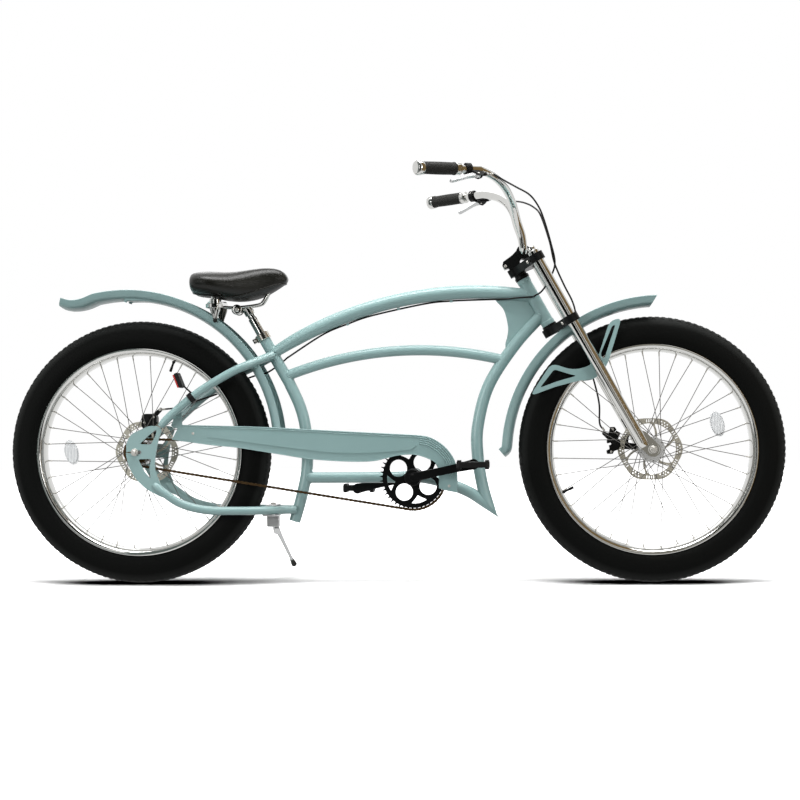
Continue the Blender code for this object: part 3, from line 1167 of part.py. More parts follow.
def stay_cutter(side, sign, points, kind):
    line = thin(smooth_line([from_rear(x, sign * y, z) for x, y, z in points], 3))
    return solid_fit(kind + "_fit_" + side, line, STAY_RADIUS, 10)


SEATSTAY_FITS = {side: stay_cutter(side, sign, SEATSTAY, "seatstay") for side, sign in SIDES}

# Hoop over the rear fender: two legs and the cross plate between the seatstays that carries them
HOOP = (REAR[0] - 0.0135, REAR[1] + 0.0358)
hoop_arc = arc(HOOP, LOOP_ARC_RADIUS, 30.5, 92.5, 7)
hoop_end = hoop_arc[-1]
loop = plate("fender_loop", [[Vector((0.3180, 0.2380)), Vector((0.3320, 0.2380)), Vector((0.3335, 0.2300)),
                              Vector((0.3165, 0.2300))]], -0.060, 0.060, SAGE, PARTS, REAR)
FENDER_CUTTER = make_fender("rear_fender_fit", rear_path, FENDER_THICKNESS / 2 + GAP, 0.010, CUTTERS)
for side, sign in SIDES:
    leg = [Vector((REAR[0] + 0.3246, sign * LOOP_Y, REAR[1] + 0.2300))]
    leg += [Vector((p.x, sign * LOOP_Y, p.y)) for p in hoop_arc]
    leg += [Vector((hoop_end.x - 0.006, sign * LOOP_Y, hoop_end.y - 0.003)),
            Vector((hoop_end.x - 0.008, sign * LOOP_Y, hoop_end.y - 0.008))]
    join(loop, pipe("loop_leg_" + side, leg, LOOP_RADIUS, SAGE, 6, collection=CUTTERS))
cut(loop, FENDER_CUTTER)
for side, sign in SIDES:
    cut(loop, SEATSTAY_FITS[side])

# Chain guard
def beside_chain(share, up):
    """Point at a share of the way from the rear axle to the crank, and a height above that line."""
    middle = REAR_AXLE.lerp(CRANK, share)
    return Vector((middle.x, middle.z + up))


guard_upper = [beside_chain(*p) for p in ((0.156, 0.0863), (0.4548, 0.1010), (0.7235, 0.1085), (0.9292, 0.1144))]
guard_upper += [Vector((CRANK.x + x, CRANK.z + z)) for x, z in (
    (0.021, 0.1145), (0.055, 0.1055), (0.089, 0.0815), (0.113, 0.0475), (0.121, 0.0105), (0.121, -0.0425))]
guard_lower = [beside_chain(*p) for p in ((0.1284, 0.0433), (0.2739, 0.0379), (0.3643, 0.0374), (0.5256, 0.0291),
                                          (0.6330, 0.0239), (0.7680, 0.0267), (0.8571, 0.0341), (0.9109, 0.0470))]
guard_lower += [Vector((CRANK.x + x, CRANK.z + z)) for x, z in (
    (-0.040, 0.0595), (0.004, 0.0615), (0.041, 0.0505), (0.062, 0.0375), (0.071, 0.012), (0.070, -0.0305),
    (0.095, -0.0375))]
upper_edge = thin(smooth_line(guard_upper, 3), 0.0010)
lower_edge = thin(smooth_line(guard_lower[:-2], 2) + guard_lower[-2:], 0.0010)
guard_edge = upper_edge + lower_edge[::-1]
guard_out = GUARD_Y - GUARD_THICKNESS
tab = [Vector(p) for p in ((0.098, 0.070), (0.128, 0.060), (0.124, 0.124), (0.108, 0.124))]
guard = plate("chain_guard", [guard_edge], guard_out, GUARD_Y, SAGE)
turned_in = grown(guard_edge, -0.0002)[:len(upper_edge)]
folded = grown(guard_edge, -0.0016)[:len(upper_edge)]
join(guard, plate("guard_flange", [turned_in + folded[::-1]], guard_out + 0.0004, GUARD_Y + GUARD_FLANGE, SAGE, CUTTERS))
join(guard, plate("guard_tab", [tab], guard_out + 0.0002, GUARD_Y - 0.0002, SAGE, CUTTERS, REAR))
tab_at = from_rear(0.116, 0, 0.1165)
join(guard, rod("guard_spacer", tab_at + (GUARD_Y - 0.001) * SIDEWAYS, tab_at + (GUARD_Y - 0.018) * SIDEWAYS,
                0.006, SAGE, 8, CUTTERS))
cut(guard, SEATSTAY_FITS["right"])
bracket_at = from_crank(0.0985, 0, -0.024)
join(guard, rod("guard_bracket", bracket_at + (GUARD_Y - 0.001) * SIDEWAYS, bracket_at - 0.008 * SIDEWAYS,
                0.004, SAGE, 8, CUTTERS))
LOWER_CUTTER = solid_fit("lower_tube_fit", lower_line, LOWER_TUBE_RADIUS)
cut(guard, LOWER_CUTTER)
panel = [beside_chain(0.30, 0.060)] + [beside_chain(u, v) for u, v in ((0.30, 0.076), (0.55, 0.086), (0.80, 0.096))]
panel += [Vector((CRANK.x + x, CRANK.z + z)) for x, z in ((-0.02, 0.100), (0.004, 0.094), (0.008, 0.086),
                                                         (-0.004, 0.079), (-0.04, 0.076))]
panel += [beside_chain(u, v) for u, v in ((0.80, 0.060), (0.55, 0.055))]
join(guard, plate("guard_panel", [panel], guard_out - 0.0010, guard_out + 0.0006, SAGE, CUTTERS))

# Seat post clamp ring
collar = turned("seat_collar", [(around(SEAT_TUBE_RADIUS, 12), 0.003), (SEAT_TUBE_RADIUS + 0.0045, 0.003),
                                (SEAT_TUBE_RADIUS + 0.0045, -0.017), (around(SEAT_TUBE_RADIUS, 12), -0.017)],
                SEAT_TOP, -SEAT_AXIS, ALLOY, 12, True)
lug_at = SEAT_TOP + 0.007 * SEAT_AXIS + Vector((-cos(SEAT_ANGLE), 0, -sin(SEAT_ANGLE))) * (SEAT_TUBE_RADIUS + 0.008)
seat_turn = Matrix.Rotation(-SEAT_ANGLE, 4, "Y")
join(collar, box("seat_collar_lug", lug_at, (0.013, 0.018, 0.013), ALLOY, seat_turn, CUTTERS))
join(collar, rod("seat_collar_bolt", lug_at - 0.013 * SIDEWAYS, lug_at + 0.013 * SIDEWAYS, 0.004, STEEL, 8, CUTTERS))
cut(collar, box("seat_collar_split", lug_at + Vector((0.004, 0, 0.002)), (0.014, 0.002, 0.05), None, seat_turn, CUTTERS))
cut(collar, solid_fit("seat_collar_fit", [on_seat_axis(-0.03), on_seat_axis(0.05)], SEAT_TUBE_RADIUS))

# Kickstand
KICK_PIVOT = from_rear(0.372, 0.034, -0.211)
KICK_AXIS = Vector((-0.21, 0.891, 0.402)).normalized()
KICK_DOWN = Vector((0.143, 0.81, -0.56)).normalized()
STAY_LOW = REAR[1] - 0.162 - STAY_RADIUS - GAP
STAY_HIGH = REAR[1] - 0.162 + STAY_RADIUS + GAP
bracket_x = REAR[0] + 0.369
kick_bracket = box("kickstand_bracket", (bracket_x, 0, STAY_LOW - 0.002), (0.044, 0.124, 0.004), BLACK)
join(kick_bracket, box("kickstand_top_plate", (bracket_x, 0, STAY_HIGH + 0.0015), (0.030, 0.110, 0.003), BLACK,
                       collection=CUTTERS))
join(kick_bracket, rod("kickstand_bolt", (bracket_x, 0, STAY_LOW - 0.02), (bracket_x, 0, STAY_HIGH + 0.008), 0.005,
                       STEEL, 6, CUTTERS))
join(kick_bracket, box("kickstand_block", (bracket_x + 0.001, 0.001, STAY_LOW - 0.0195), (0.034, 0.036, 0.033), BLACK,
                       collection=CUTTERS))
boss_half = 0.008
join(kick_bracket, rod("kickstand_stub", KICK_PIVOT - 0.032 * KICK_AXIS, KICK_PIVOT - (boss_half + GAP) * KICK_AXIS,
                       KICKSTAND_BOSS_RADIUS, BLACK, 12, CUTTERS))
join(kick_bracket, rod("kickstand_pin", KICK_PIVOT - 0.02 * KICK_AXIS, KICK_PIVOT + (boss_half + 0.003) * KICK_AXIS,
                       0.004, STEEL, 8, CUTTERS))
kick_leg = rod("kickstand_leg", KICK_PIVOT - boss_half * KICK_AXIS, KICK_PIVOT + boss_half * KICK_AXIS,
               KICKSTAND_BOSS_RADIUS, ALLOY, 12)
kick_foot = KICK_PIVOT + KICKSTAND_LENGTH * KICK_DOWN
join(kick_leg, pipe("kickstand_tube", [KICK_PIVOT + 0.008 * KICK_DOWN, KICK_PIVOT + 0.10 * KICK_DOWN,
                                       kick_foot - 0.012 * KICK_DOWN + Vector((0, 0, 0.001)), kick_foot],
                    KICKSTAND_RADIUS, ALLOY, 8, [0.0080, KICKSTAND_RADIUS, KICKSTAND_RADIUS, 0.0105],
                    collection=CUTTERS))
cut(kick_leg, rod("kickstand_bore", KICK_PIVOT - 0.02 * KICK_AXIS, KICK_PIVOT + 0.02 * KICK_AXIS,
                  around(0.004, 8), None, 8, CUTTERS))


# Disc brakes: a slotted caliper at each rotor with its cable arm on the outer face
def make_caliper(name, outline, origin, y_low, y_high, rotor_y, material):
    caliper = plate(name, [outline], y_low, y_high, material, PARTS, origin)
    gap = ROTOR_THICKNESS / 2 + RUNNING_GAP
    reach = ROTOR_RADIUS + ROTOR_WAVE + 0.002
    space = plate(name + "_space", [circle(reach, 36)], rotor_y - gap, rotor_y + gap, None, CUTTERS, origin)
    return cut(caliper, space)


def make_arm_lever(name, pivot, tip, origin, y_low, y_high):
    """Cable arm in the X-Z plane, with the cable's anchor bolt at its tip."""
    pivot, tip = Vector(pivot), Vector(tip)
    heading = atan2((tip - pivot).y, (tip - pivot).x)
    turn = heading * 180 / pi
    outline = arc(pivot, 0.0085, turn + 60, turn + 300, 8) + arc(tip, 0.0055, turn - 80, turn + 80, 5)
    return plate(name, [outline], y_low, y_high, BLACK, PARTS, origin)


ARM_PLATE = 0.0035
rear_body = [Vector(p) for p in ((-0.013, 0.072), (-0.012, 0.103), (-0.004, 0.107), (0.024, 0.107), (0.031, 0.099),
                                 (0.031, 0.080), (0.012, 0.066), (-0.006, 0.062))]
rear_caliper = make_caliper("rear_caliper", rear_body, REAR, 0.060, 0.0918, REAR_ROTOR_Y, BLACK)
flange = [Vector(p) for p in ((-0.006, 0.064), (0.010, 0.069), (0.030, 0.079), (0.030, 0.055), (0.012, 0.040),
                              (0.000, 0.040))]
join(rear_caliper, plate("rear_caliper_mount", [flange], 0.0800, DROPOUT_IN - GAP, BLACK, CUTTERS, REAR))
REAR_ARM_PIVOT = (0.006, 0.090)
REAR_ARM_TIP = (0.036, 0.119)
make_arm_lever("rear_caliper_arm", REAR_ARM_PIVOT, REAR_ARM_TIP, REAR, 0.0921, 0.0921 + ARM_PLATE)
join(bpy.data.objects["rear_caliper_arm"],
     rod("rear_anchor", from_rear(REAR_ARM_TIP[0], 0.080, REAR_ARM_TIP[1]),
         from_rear(REAR_ARM_TIP[0], 0.0940, REAR_ARM_TIP[1]), 0.0040, STEEL, 8, CUTTERS))

front_body = [Vector(p) for p in ((-0.075, 0.058), (-0.092, 0.062), (-0.110, 0.052), (-0.121, 0.030), (-0.123, 0.004),
                                  (-0.115, -0.014), (-0.096, -0.016), (-0.080, -0.010), (-0.072, 0.010))]
front_caliper = make_caliper("front_caliper", front_body, FRONT, 0.040, 0.068, FRONT_ROTOR_Y, BLACK)
adapter = [Vector(p) for p in ((-0.090, -0.006), (-0.022, -0.002), (-0.030, 0.046), (-0.046, 0.060), (-0.090, 0.058))]
join(front_caliper, plate("front_caliper_adapter", [adapter], 0.0570, 0.0675, BLACK, CUTTERS, FRONT))
cut(front_caliper, leg_cutter("left", 1))
lug_space = slab("front_lug_space", [grown(
    [Vector((CROWN_OFFSET - 0.013, 0.064)), Vector((CROWN_OFFSET + 0.013, 0.064)),
     Vector((AXLE_AHEAD + 0.014, 0.024)), Vector((AXLE_AHEAD + 0.02, -0.02)), Vector((CROWN_OFFSET - 0.010, -0.02)),
     Vector((CROWN_OFFSET - 0.013, 0.020))], GAP)], -0.08, -FORK_SPACING / 2 + GAP, None, side_frame, CUTTERS)
cut(front_caliper, lug_space)
FRONT_ARM_PIVOT = (-0.102, 0.024)
FRONT_ARM_TIP = (-0.126, 0.044)
front_arm_y = 0.068 + GAP
make_arm_lever("front_caliper_arm", FRONT_ARM_PIVOT, FRONT_ARM_TIP, FRONT, front_arm_y, front_arm_y + ARM_PLATE)
join(bpy.data.objects["front_caliper_arm"],
     rod("front_anchor", from_front(FRONT_ARM_TIP[0], front_arm_y + 0.0005, FRONT_ARM_TIP[1]),
         from_front(FRONT_ARM_TIP[0], front_arm_y + 0.010, FRONT_ARM_TIP[1]), 0.0040, STEEL, 8, CUTTERS))

# Brake cables, each whole along its real route
def cable(name, points, steps):
    line = smooth_line(points, steps)
    return pipe(name, line[:1] + thin(line[steps:], 0.0018), CABLE_RADIUS, CABLE, 6)


def cable_start(sign, lead):
    return lever_frame(sign) @ Vector((PIVOT_AT - 0.038 - lead, LEVER_OFFSET - 0.005, 0))


front_cable = [cable_start(1, GAP), cable_start(1, 0.014), on_steering(0.0735, 0.215, 0.820),
               on_steering(0.0953, 0.160, 0.7986), on_steering(0.1152, 0.110, 0.7749),
               on_steering(0.1292, 0.070, 0.7465), on_steering(0.1330, 0.047, 0.7150),
               on_steering(0.1180, 0.037, 0.640), on_steering(0.1000, 0.036, 0.580),
               on_steering(0.0935, 0.048, 0.515), on_steering(0.0930, 0.074, 0.470), on_steering(0.0880, 0.098, 0.440),
               on_steering(0.0740, 0.1075, 0.405), on_steering(0.0560, 0.1060, 0.330),
               on_steering(0.0380, 0.100, 0.250), on_steering(0.0170, 0.090, 0.180),
               on_steering(-0.0100, 0.0800, 0.130),
               from_front(FRONT_ARM_TIP[0] + 0.0015, front_arm_y + 0.0075, FRONT_ARM_TIP[1] + 0.0073)]
cable("front_brake_cable", front_cable, 3)
handlebar_line = [cable_start(-1, GAP), cable_start(-1, 0.014), on_steering(0.0800, -0.215, 0.818),
                  on_steering(0.1010, -0.155, 0.7960), on_steering(0.1247, -0.100, 0.7672),
                  on_steering(0.1330, -0.060, 0.7360), on_steering(0.1310, -0.038, 0.7000),
                  on_steering(0.1150, -0.031, 0.630), on_steering(0.0970, -0.030, 0.575),
                  on_steering(0.0640, -0.030, 0.5450), on_steering(0.0280, -0.0290, 0.5260),
                  on_steering(0.0010, -0.0240, 0.5245)]
cable("handlebar_cable", handlebar_line, 3)
under = TOP_TUBE_RADIUS + CABLE_RADIUS + 2 * GAP


def under_top_tube(index, side):
    point = top_line[index]
    along = (top_line[index + 1] - top_line[index - 1]).normalized()
    return point + Vector((along.z, 0, -along.x)) * under + side * SIDEWAYS


rear_cable = [on_steering(-0.0002, -0.0240, 0.5245), on_steering(-0.0180, -0.0235, 0.5330),
              on_steering(-0.0400, -0.0215, 0.5440), on_steering(-0.0660, -0.0155, 0.5560)]
rear_cable += [under_top_tube(index, -0.0085 if index > 7 else 0.0) for index in (8, 7, 6, 4, 3, 2)]
rear_cable += [from_rear(*p) for p in ((0.418, 0.012, 0.266), (0.400, 0.024, 0.254), (0.372, 0.0275, 0.2330),
                                       (0.343, 0.044, 0.2180), (0.308, 0.0735, 0.2120), (0.261, 0.087, 0.1950),
                                       (0.208, 0.080, 0.1650), (0.148, 0.0690, 0.1440), (0.108, 0.0720, 0.1290),
                                       (0.077, 0.0790, 0.1225), (0.055, 0.0850, 0.1205))]
rear_cable += [from_rear(REAR_ARM_TIP[0] + 0.0044, 0.0875, REAR_ARM_TIP[1] + 0.0004)]
cable("rear_brake_cable", rear_cable, 3)
for number, index in enumerate((7, 5, 3)):
    middle = under_top_tube(index, 0.0)
    heading = (top_line[index + 1] - top_line[index - 1]).normalized()
    join(bpy.data.objects["rear_brake_cable"],
         rod("cable_clip_" + str(number), middle - 0.004 * heading - Vector((0, 0, 0.0006)),
             middle + 0.004 * heading - Vector((0, 0, 0.0006)), 0.0034, CABLE, 6, CUTTERS))
cut(bpy.data.objects["rear_brake_cable"], TOP_CUTTER)

# Reflector on its strap round the right seatstay
stay_line = smooth_line([from_rear(x, -y, z) for x, y, z in SEATSTAY], 4)
clamp_at = stay_line[17]
clamp_along = (stay_line[18] - stay_line[16]).normalized()
reflector = rod("stay_reflector", clamp_at - 0.007 * clamp_along, clamp_at + 0.007 * clamp_along,
                STAY_RADIUS + 0.003, RED, 12)
lens_at = from_rear(0.121, -0.088, 0.196)
lens_turn = Matrix.Rotation(radians(-22), 4, "Y")
join(reflector, box("reflector_lens", lens_at, (0.016, 0.050, 0.042), RED, lens_turn, CUTTERS, 0.003))
strap_start = clamp_at + Vector((0.002, 0, 0.012))
strap_end = lens_at + Vector((0.004, 0, -0.006))
strap_middle = (strap_start + strap_end) / 2
strap_along = (strap_end - strap_start)
strap_turn = Matrix.Rotation(-atan2(strap_along.z, strap_along.x), 4, "Y")
join(reflector, box("reflector_strap", strap_middle, (strap_along.length, 0.012, 0.004), RED, strap_turn, CUTTERS))
cut(reflector, SEATSTAY_FITS["right"])

# Seat: post, saddle frame and cushion
post_top = on_seat_axis(-SEAT_POST_SHOWN)
up_post = -SEAT_AXIS
turned("seat_post", [(0, 0), (SEAT_POST_NECK_RADIUS - 0.001, 0), (SEAT_POST_NECK_RADIUS, -0.001),
                     (SEAT_POST_NECK_RADIUS, -SEAT_POST_NECK), (SEAT_POST_RADIUS, -SEAT_POST_NECK - 0.002),
                     (SEAT_POST_RADIUS, -SEAT_POST_SHOWN - SEAT_POST_INSIDE + 0.002),
                     (SEAT_POST_RADIUS - 0.002, -SEAT_POST_SHOWN - SEAT_POST_INSIDE),
                     (0, -SEAT_POST_SHOWN - SEAT_POST_INSIDE)], post_top, up_post, CHROME, 12)
clamp_centre = from_rear(0.273, 0, 0.394)
saddle_frame = rod("saddle_frame", clamp_centre - 0.036 * SIDEWAYS, clamp_centre + 0.036 * SIDEWAYS, 0.0145, CHROME, 10)
sleeve_low, sleeve_high = post_top + 0.020 * SEAT_AXIS, post_top - 0.002 * SEAT_AXIS
join(saddle_frame, rod("saddle_sleeve", sleeve_low, sleeve_high, SEAT_POST_NECK_RADIUS + 0.0035, CHROME, 10, CUTTERS))
link = (post_top + clamp_centre) / 2 + 0.004 * SEAT_AXIS
join(saddle_frame, box("saddle_link", link, (0.024, 0.018, 0.014), CHROME, collection=CUTTERS))
rail_points = [(0.366, 0.012, 0.446), (0.358, 0.016, 0.436), (0.346, RAIL_Y, 0.4165), (0.334, RAIL_Y, 0.4080),
               (0.300, RAIL_Y, 0.4030), (0.262, RAIL_Y, 0.4005), (0.226, RAIL_Y, 0.4030), (0.205, RAIL_Y, 0.4040)]
RAIL_CUTTERS = []
for side, sign in SIDES:
    line = smooth_line([from_rear(x, sign * y, z) for x, y, z in rail_points], 1)
    join(saddle_frame, pipe("saddle_rail_" + side, line, RAIL_RADIUS, CHROME, 6, collection=CUTTERS))
    RAIL_CUTTERS.append(solid_fit("saddle_rail_fit_" + side, line, RAIL_RADIUS, 6))
band_at = from_rear(0.216, 0, 0.4045)
band_edge = [Vector((-0.024, -0.062)), Vector((-0.012, -0.082)), Vector((0.012, -0.082)), Vector((0.024, -0.062)),
             Vector((0.024, 0.062)), Vector((0.012, 0.082)), Vector((-0.012, 0.082)), Vector((-0.024, 0.062))]
join(saddle_frame, slab("saddle_band", [band_edge], -0.0065, 0.0035, CHROME, Matrix.Translation(band_at), CUTTERS))
join(saddle_frame, slab("saddle_strap", [[0.84 * p for p in band_edge]], 0.0030, 0.0100, CHROME,
                        Matrix.Translation(band_at), CUTTERS))
for side, sign in SIDES:
    cone_top = band_at + Vector((0.002, sign * SPRING_Y, -0.006))
    bm = bmesh.new()
    length = 0.031
    made = bmesh.ops.create_cone(bm, cap_ends=True, segments=2 * SPRING_FLUTES, radius1=0.0062, radius2=SPRING_RADIUS,
                                 depth=length, matrix=Matrix.Translation((0, 0, -length / 2)))
    for number, vertex in enumerate(sorted(made["verts"], key=lambda v: (round(v.co.z, 4), atan2(v.co.y, v.co.x)))):
        if number % 2:
            vertex.co.x *= 0.80
            vertex.co.y *= 0.80
    mesh = bpy.data.meshes.new("spring_" + side)
    bm.to_mesh(mesh)
    bm.free()
    join(saddle_frame, add("spring_" + side, mesh, CHROME, Matrix.Translation(cone_top), CUTTERS))
    join(saddle_frame, rod("spring_tip_" + side, cone_top + Vector((0, 0, -0.029)), cone_top + Vector((0, 0, -0.042)),
                           0.0056, BLACK, 8, CUTTERS))
    bolt_low = band_at + Vector((-0.004, sign * SPRING_Y * 0.8, 0.008))
    bolt_high = bolt_low + Vector((0, 0, 0.030))
    join(saddle_frame, rod("saddle_stud_" + side, bolt_low, bolt_high, 0.0070, CHROME, 8, CUTTERS))
    RAIL_CUTTERS.append(rod("saddle_stud_fit_" + side, bolt_low, bolt_high + Vector((0, 0, GAP)), around(0.0070, 8),
                            None, 8, CUTTERS))
cut(saddle_frame, rod("saddle_sleeve_bore", sleeve_low + 0.02 * SEAT_AXIS, post_top - GAP * SEAT_AXIS,
                      around(SEAT_POST_NECK_RADIUS, 10), None, 10, CUTTERS))

SADDLE_STATIONS = [(0.139, 0.484, 0.447, 0.094), (0.196, 0.504, 0.4305, 0.138), (0.262, 0.4970, 0.4115, 0.104),
                   (0.338, 0.5140, 0.4165, 0.052), (0.397, 0.5105, 0.4550, 0.037), (0.414, 0.4860, 0.4680, 0.019)]


def make_saddle():
    """Padded seat: a crown over drawn-in sides, wide behind and narrow at the nose."""
    bm = bmesh.new()
    rows = []
    for x, top, bottom, half in SADDLE_STATIONS:
        deep = top - bottom
        ring = [(0, top - 0.004), (0.60 * half, top), (half, top - 0.36 * deep), (0.84 * half, bottom + 0.10 * deep),
                (0, bottom)]
        rows.append([bm.verts.new(from_rear(x, y, z)) for y, z in ring])
    for row, following in zip(rows, rows[1:]):
        for a, b, c, d in zip(row, row[1:], following[1:], following):
            bm.faces.new((a, b, c, d))
    for row, flip in ((rows[0], True), (rows[-1], False)):
        first = (row[0], row[1], row[3], row[4])
        second = (row[1], row[2], row[3])
        for face in (first, second):
            bm.faces.new(face[::-1] if flip else face)
    bmesh.ops.recalc_face_normals(bm, faces=bm.faces)
    mesh = bpy.data.meshes.new("saddle")
    bm.to_mesh(mesh)
    bm.free()
    saddle = add("saddle", mesh, VINYL)
    mirror = saddle.modifiers.new("other_half", "MIRROR")
    mirror.use_axis = (False, True, False)
    mirror.merge_threshold = 0.00001
    soft = saddle.modifiers.new("soft", "SUBSURF")
    soft.levels = 2
    soft.render_levels = 2
    for tool in RAIL_CUTTERS:
        cut(saddle, tool)
    return saddle


make_saddle()

# Moving bodies, each under a guide on its joint's axis
def guide(name, origin, axis, members, parent=None):
    empty = bpy.data.objects.new(name, None)
    GUIDES.objects.link(empty)
    empty.empty_display_size = 0.05
    empty.hide_render = True
    empty.matrix_world = axis_matrix(origin, axis)
    bpy.context.view_layer.update()
    for member in members:
        child = bpy.data.objects[member]
        placed = child.matrix_world.copy()
        child.parent = empty
        child.matrix_parent_inverse = empty.matrix_world.inverted()
        child.matrix_world = placed
    if parent is not None:
        placed = empty.matrix_world.copy()
        empty.parent = parent
        empty.matrix_parent_inverse = parent.matrix_world.inverted()
        empty.matrix_world = placed
    return empty


steering = guide("steering_axis", STEER_BASE, STEER_AXIS, [
    "lower_crown", "upper_crown", "fork_leg_left", "fork_leg_right", "stem", "handlebar", "grip_left", "grip_right",
    "brake_perch_left", "brake_perch_right", "front_fender", "front_caliper", "front_brake_cable", "handlebar_cable",
    "front_axle"])
guide("front_wheel_axis", FRONT_AXLE, SIDEWAYS, ["front_tire", "front_rim", "front_hub", "front_rotor"], steering)
guide("rear_wheel_axis", REAR_AXLE, SIDEWAYS, ["rear_tire", "rear_rim", "rear_hub", "rear_rotor"])
guide("freewheel_axis", REAR_AXLE, SIDEWAYS, ["rear_cog"])
crank_guide = guide("crank_axis", CRANK, SIDEWAYS, ["crankset", "chainring"])
for side, sign in SIDES:
    guide("pedal_axis_" + side, pedal_centre(sign), SIDEWAYS, ["pedal_" + side], crank_guide)
    frame = lever_frame(sign)
    guide("brake_lever_axis_" + side, frame @ Vector((PIVOT_AT, LEVER_OFFSET, 0)), frame.col[2].xyz,
          ["brake_lever_" + side], steering)
guide("front_caliper_arm_axis", from_front(FRONT_ARM_PIVOT[0], front_arm_y, FRONT_ARM_PIVOT[1]), SIDEWAYS,
      ["front_caliper_arm"], steering)
guide("rear_caliper_arm_axis", from_rear(REAR_ARM_PIVOT[0], 0.0921, REAR_ARM_PIVOT[1]), SIDEWAYS, ["rear_caliper_arm"])
guide("kickstand_axis", KICK_PIVOT, KICK_AXIS, ["kickstand_leg"])
guide("seat_post_axis", SEAT_TOP, -SEAT_AXIS, ["seat_post", "saddle", "saddle_frame"])
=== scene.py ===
import json
from math import atan2, cos, hypot, pi, radians, sin, sqrt

import bmesh
import bpy
from mathutils import Matrix, Vector
from mathutils.bvhtree import BVHTree

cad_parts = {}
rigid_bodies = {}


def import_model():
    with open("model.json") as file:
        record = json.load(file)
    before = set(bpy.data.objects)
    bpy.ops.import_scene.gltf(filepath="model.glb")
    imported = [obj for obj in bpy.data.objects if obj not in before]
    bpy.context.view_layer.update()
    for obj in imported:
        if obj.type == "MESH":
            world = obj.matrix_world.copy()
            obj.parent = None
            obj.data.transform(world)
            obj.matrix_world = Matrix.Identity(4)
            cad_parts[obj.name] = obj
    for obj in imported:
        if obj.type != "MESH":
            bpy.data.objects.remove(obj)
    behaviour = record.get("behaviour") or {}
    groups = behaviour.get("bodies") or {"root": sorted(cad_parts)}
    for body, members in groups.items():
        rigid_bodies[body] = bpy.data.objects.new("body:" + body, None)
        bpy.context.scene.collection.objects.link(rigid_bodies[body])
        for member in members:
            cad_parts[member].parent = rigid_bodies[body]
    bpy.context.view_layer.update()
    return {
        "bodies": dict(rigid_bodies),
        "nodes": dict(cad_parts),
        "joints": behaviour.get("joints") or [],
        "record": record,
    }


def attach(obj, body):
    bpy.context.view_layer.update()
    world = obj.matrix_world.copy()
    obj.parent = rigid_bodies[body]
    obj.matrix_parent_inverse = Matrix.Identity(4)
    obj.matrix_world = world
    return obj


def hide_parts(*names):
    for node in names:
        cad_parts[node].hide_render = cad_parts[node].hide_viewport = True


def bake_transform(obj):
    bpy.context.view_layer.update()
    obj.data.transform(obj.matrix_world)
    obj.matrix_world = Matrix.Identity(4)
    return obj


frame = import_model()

# The room: a plain pale floor under a white sky, with two wide soft lamps above the
# camera's side and one behind, as in a studio photograph of a whole bicycle.
scene = bpy.context.scene
scene.view_settings.view_transform = "Standard"


def node(tree, kind, inputs=None, **settings):
    """Adds one node, with its settings, its values and its links."""
    made = tree.nodes.new(kind)
    for key, value in settings.items():
        setattr(made, key, value)
    for key, value in (inputs or {}).items():
        if isinstance(value, bpy.types.NodeSocket):
            tree.links.new(value, made.inputs[key])
        else:
            made.inputs[key].default_value = value
    return made


def srgb(hex_colour):
    """Linear colour of an sRGB hex value."""
    channels = [int(hex_colour[i:i + 2], 16) / 255 for i in (0, 2, 4)]
    return [c / 12.92 if c <= 0.04045 else ((c + 0.055) / 1.055) ** 2.4 for c in channels] + [1.0]


def mesh_from(bm, name, outward=False):
    """Mesh of a finished build, with its faces turned outward if asked."""
    if outward:
        bmesh.ops.recalc_face_normals(bm, faces=bm.faces)
    mesh = bpy.data.meshes.new(name)
    bm.to_mesh(mesh)
    bm.free()
    return mesh


world = bpy.data.worlds.new("studio")
scene.world = world
world.use_nodes = True
sky = world.node_tree
sky.nodes.clear()
ray = node(sky, "ShaderNodeLightPath")
direction = node(sky, "ShaderNodeSeparateXYZ", {0: node(sky, "ShaderNodeTexCoord").outputs["Generated"]})
height = node(sky, "ShaderNodeMapRange", {"Value": direction.outputs["Z"], 1: -0.25, 2: 0.9, 3: 0.06,
                                          4: 0.50})
seen = node(sky, "ShaderNodeMath", {0: ray.outputs["Is Camera Ray"], 1: ray.outputs["Is Glossy Ray"]},
            operation="MAXIMUM")
seen = node(sky, "ShaderNodeMath", {0: seen.outputs[0], 1: ray.outputs["Is Transmission Ray"]},
            operation="MAXIMUM")
seen = node(sky, "ShaderNodeMath", {0: seen.outputs[0], 1: height.outputs[0]}, operation="MAXIMUM")
light = node(sky, "ShaderNodeBackground", {"Color": (1, 1, 1, 1), "Strength": seen.outputs[0]})
node(sky, "ShaderNodeOutputWorld", {"Surface": light.outputs[0]})


def lamp(name, place, target, size, watts):
    data = bpy.data.lights.new(name, "AREA")
    data.shape = "RECTANGLE"
    data.size, data.size_y = size
    data.energy = watts
    obj = bpy.data.objects.new(name, data)
    scene.collection.objects.link(obj)
    obj.location = place
    obj.rotation_mode = "QUATERNION"
    obj.rotation_quaternion = (Vector(target) - Vector(place)).to_track_quat("-Z", "Y")


lamp("lamp_over", (0.0, -0.55, 3.3), (0.0, -0.05, 0.3), (3.4, 1.2), 150)
lamp("lamp_left", (-3.0, -3.2, 1.3), (0.0, 0.0, 0.6), (1.8, 1.8), 85)
lamp("lamp_right", (3.4, -2.8, 1.2), (0.2, 0.0, 0.6), (1.2, 1.6), 55)
lamp("lamp_behind", (0.0, 3.2, 2.6), (0.0, 0.0, 0.5), (3.0, 1.4), 22)

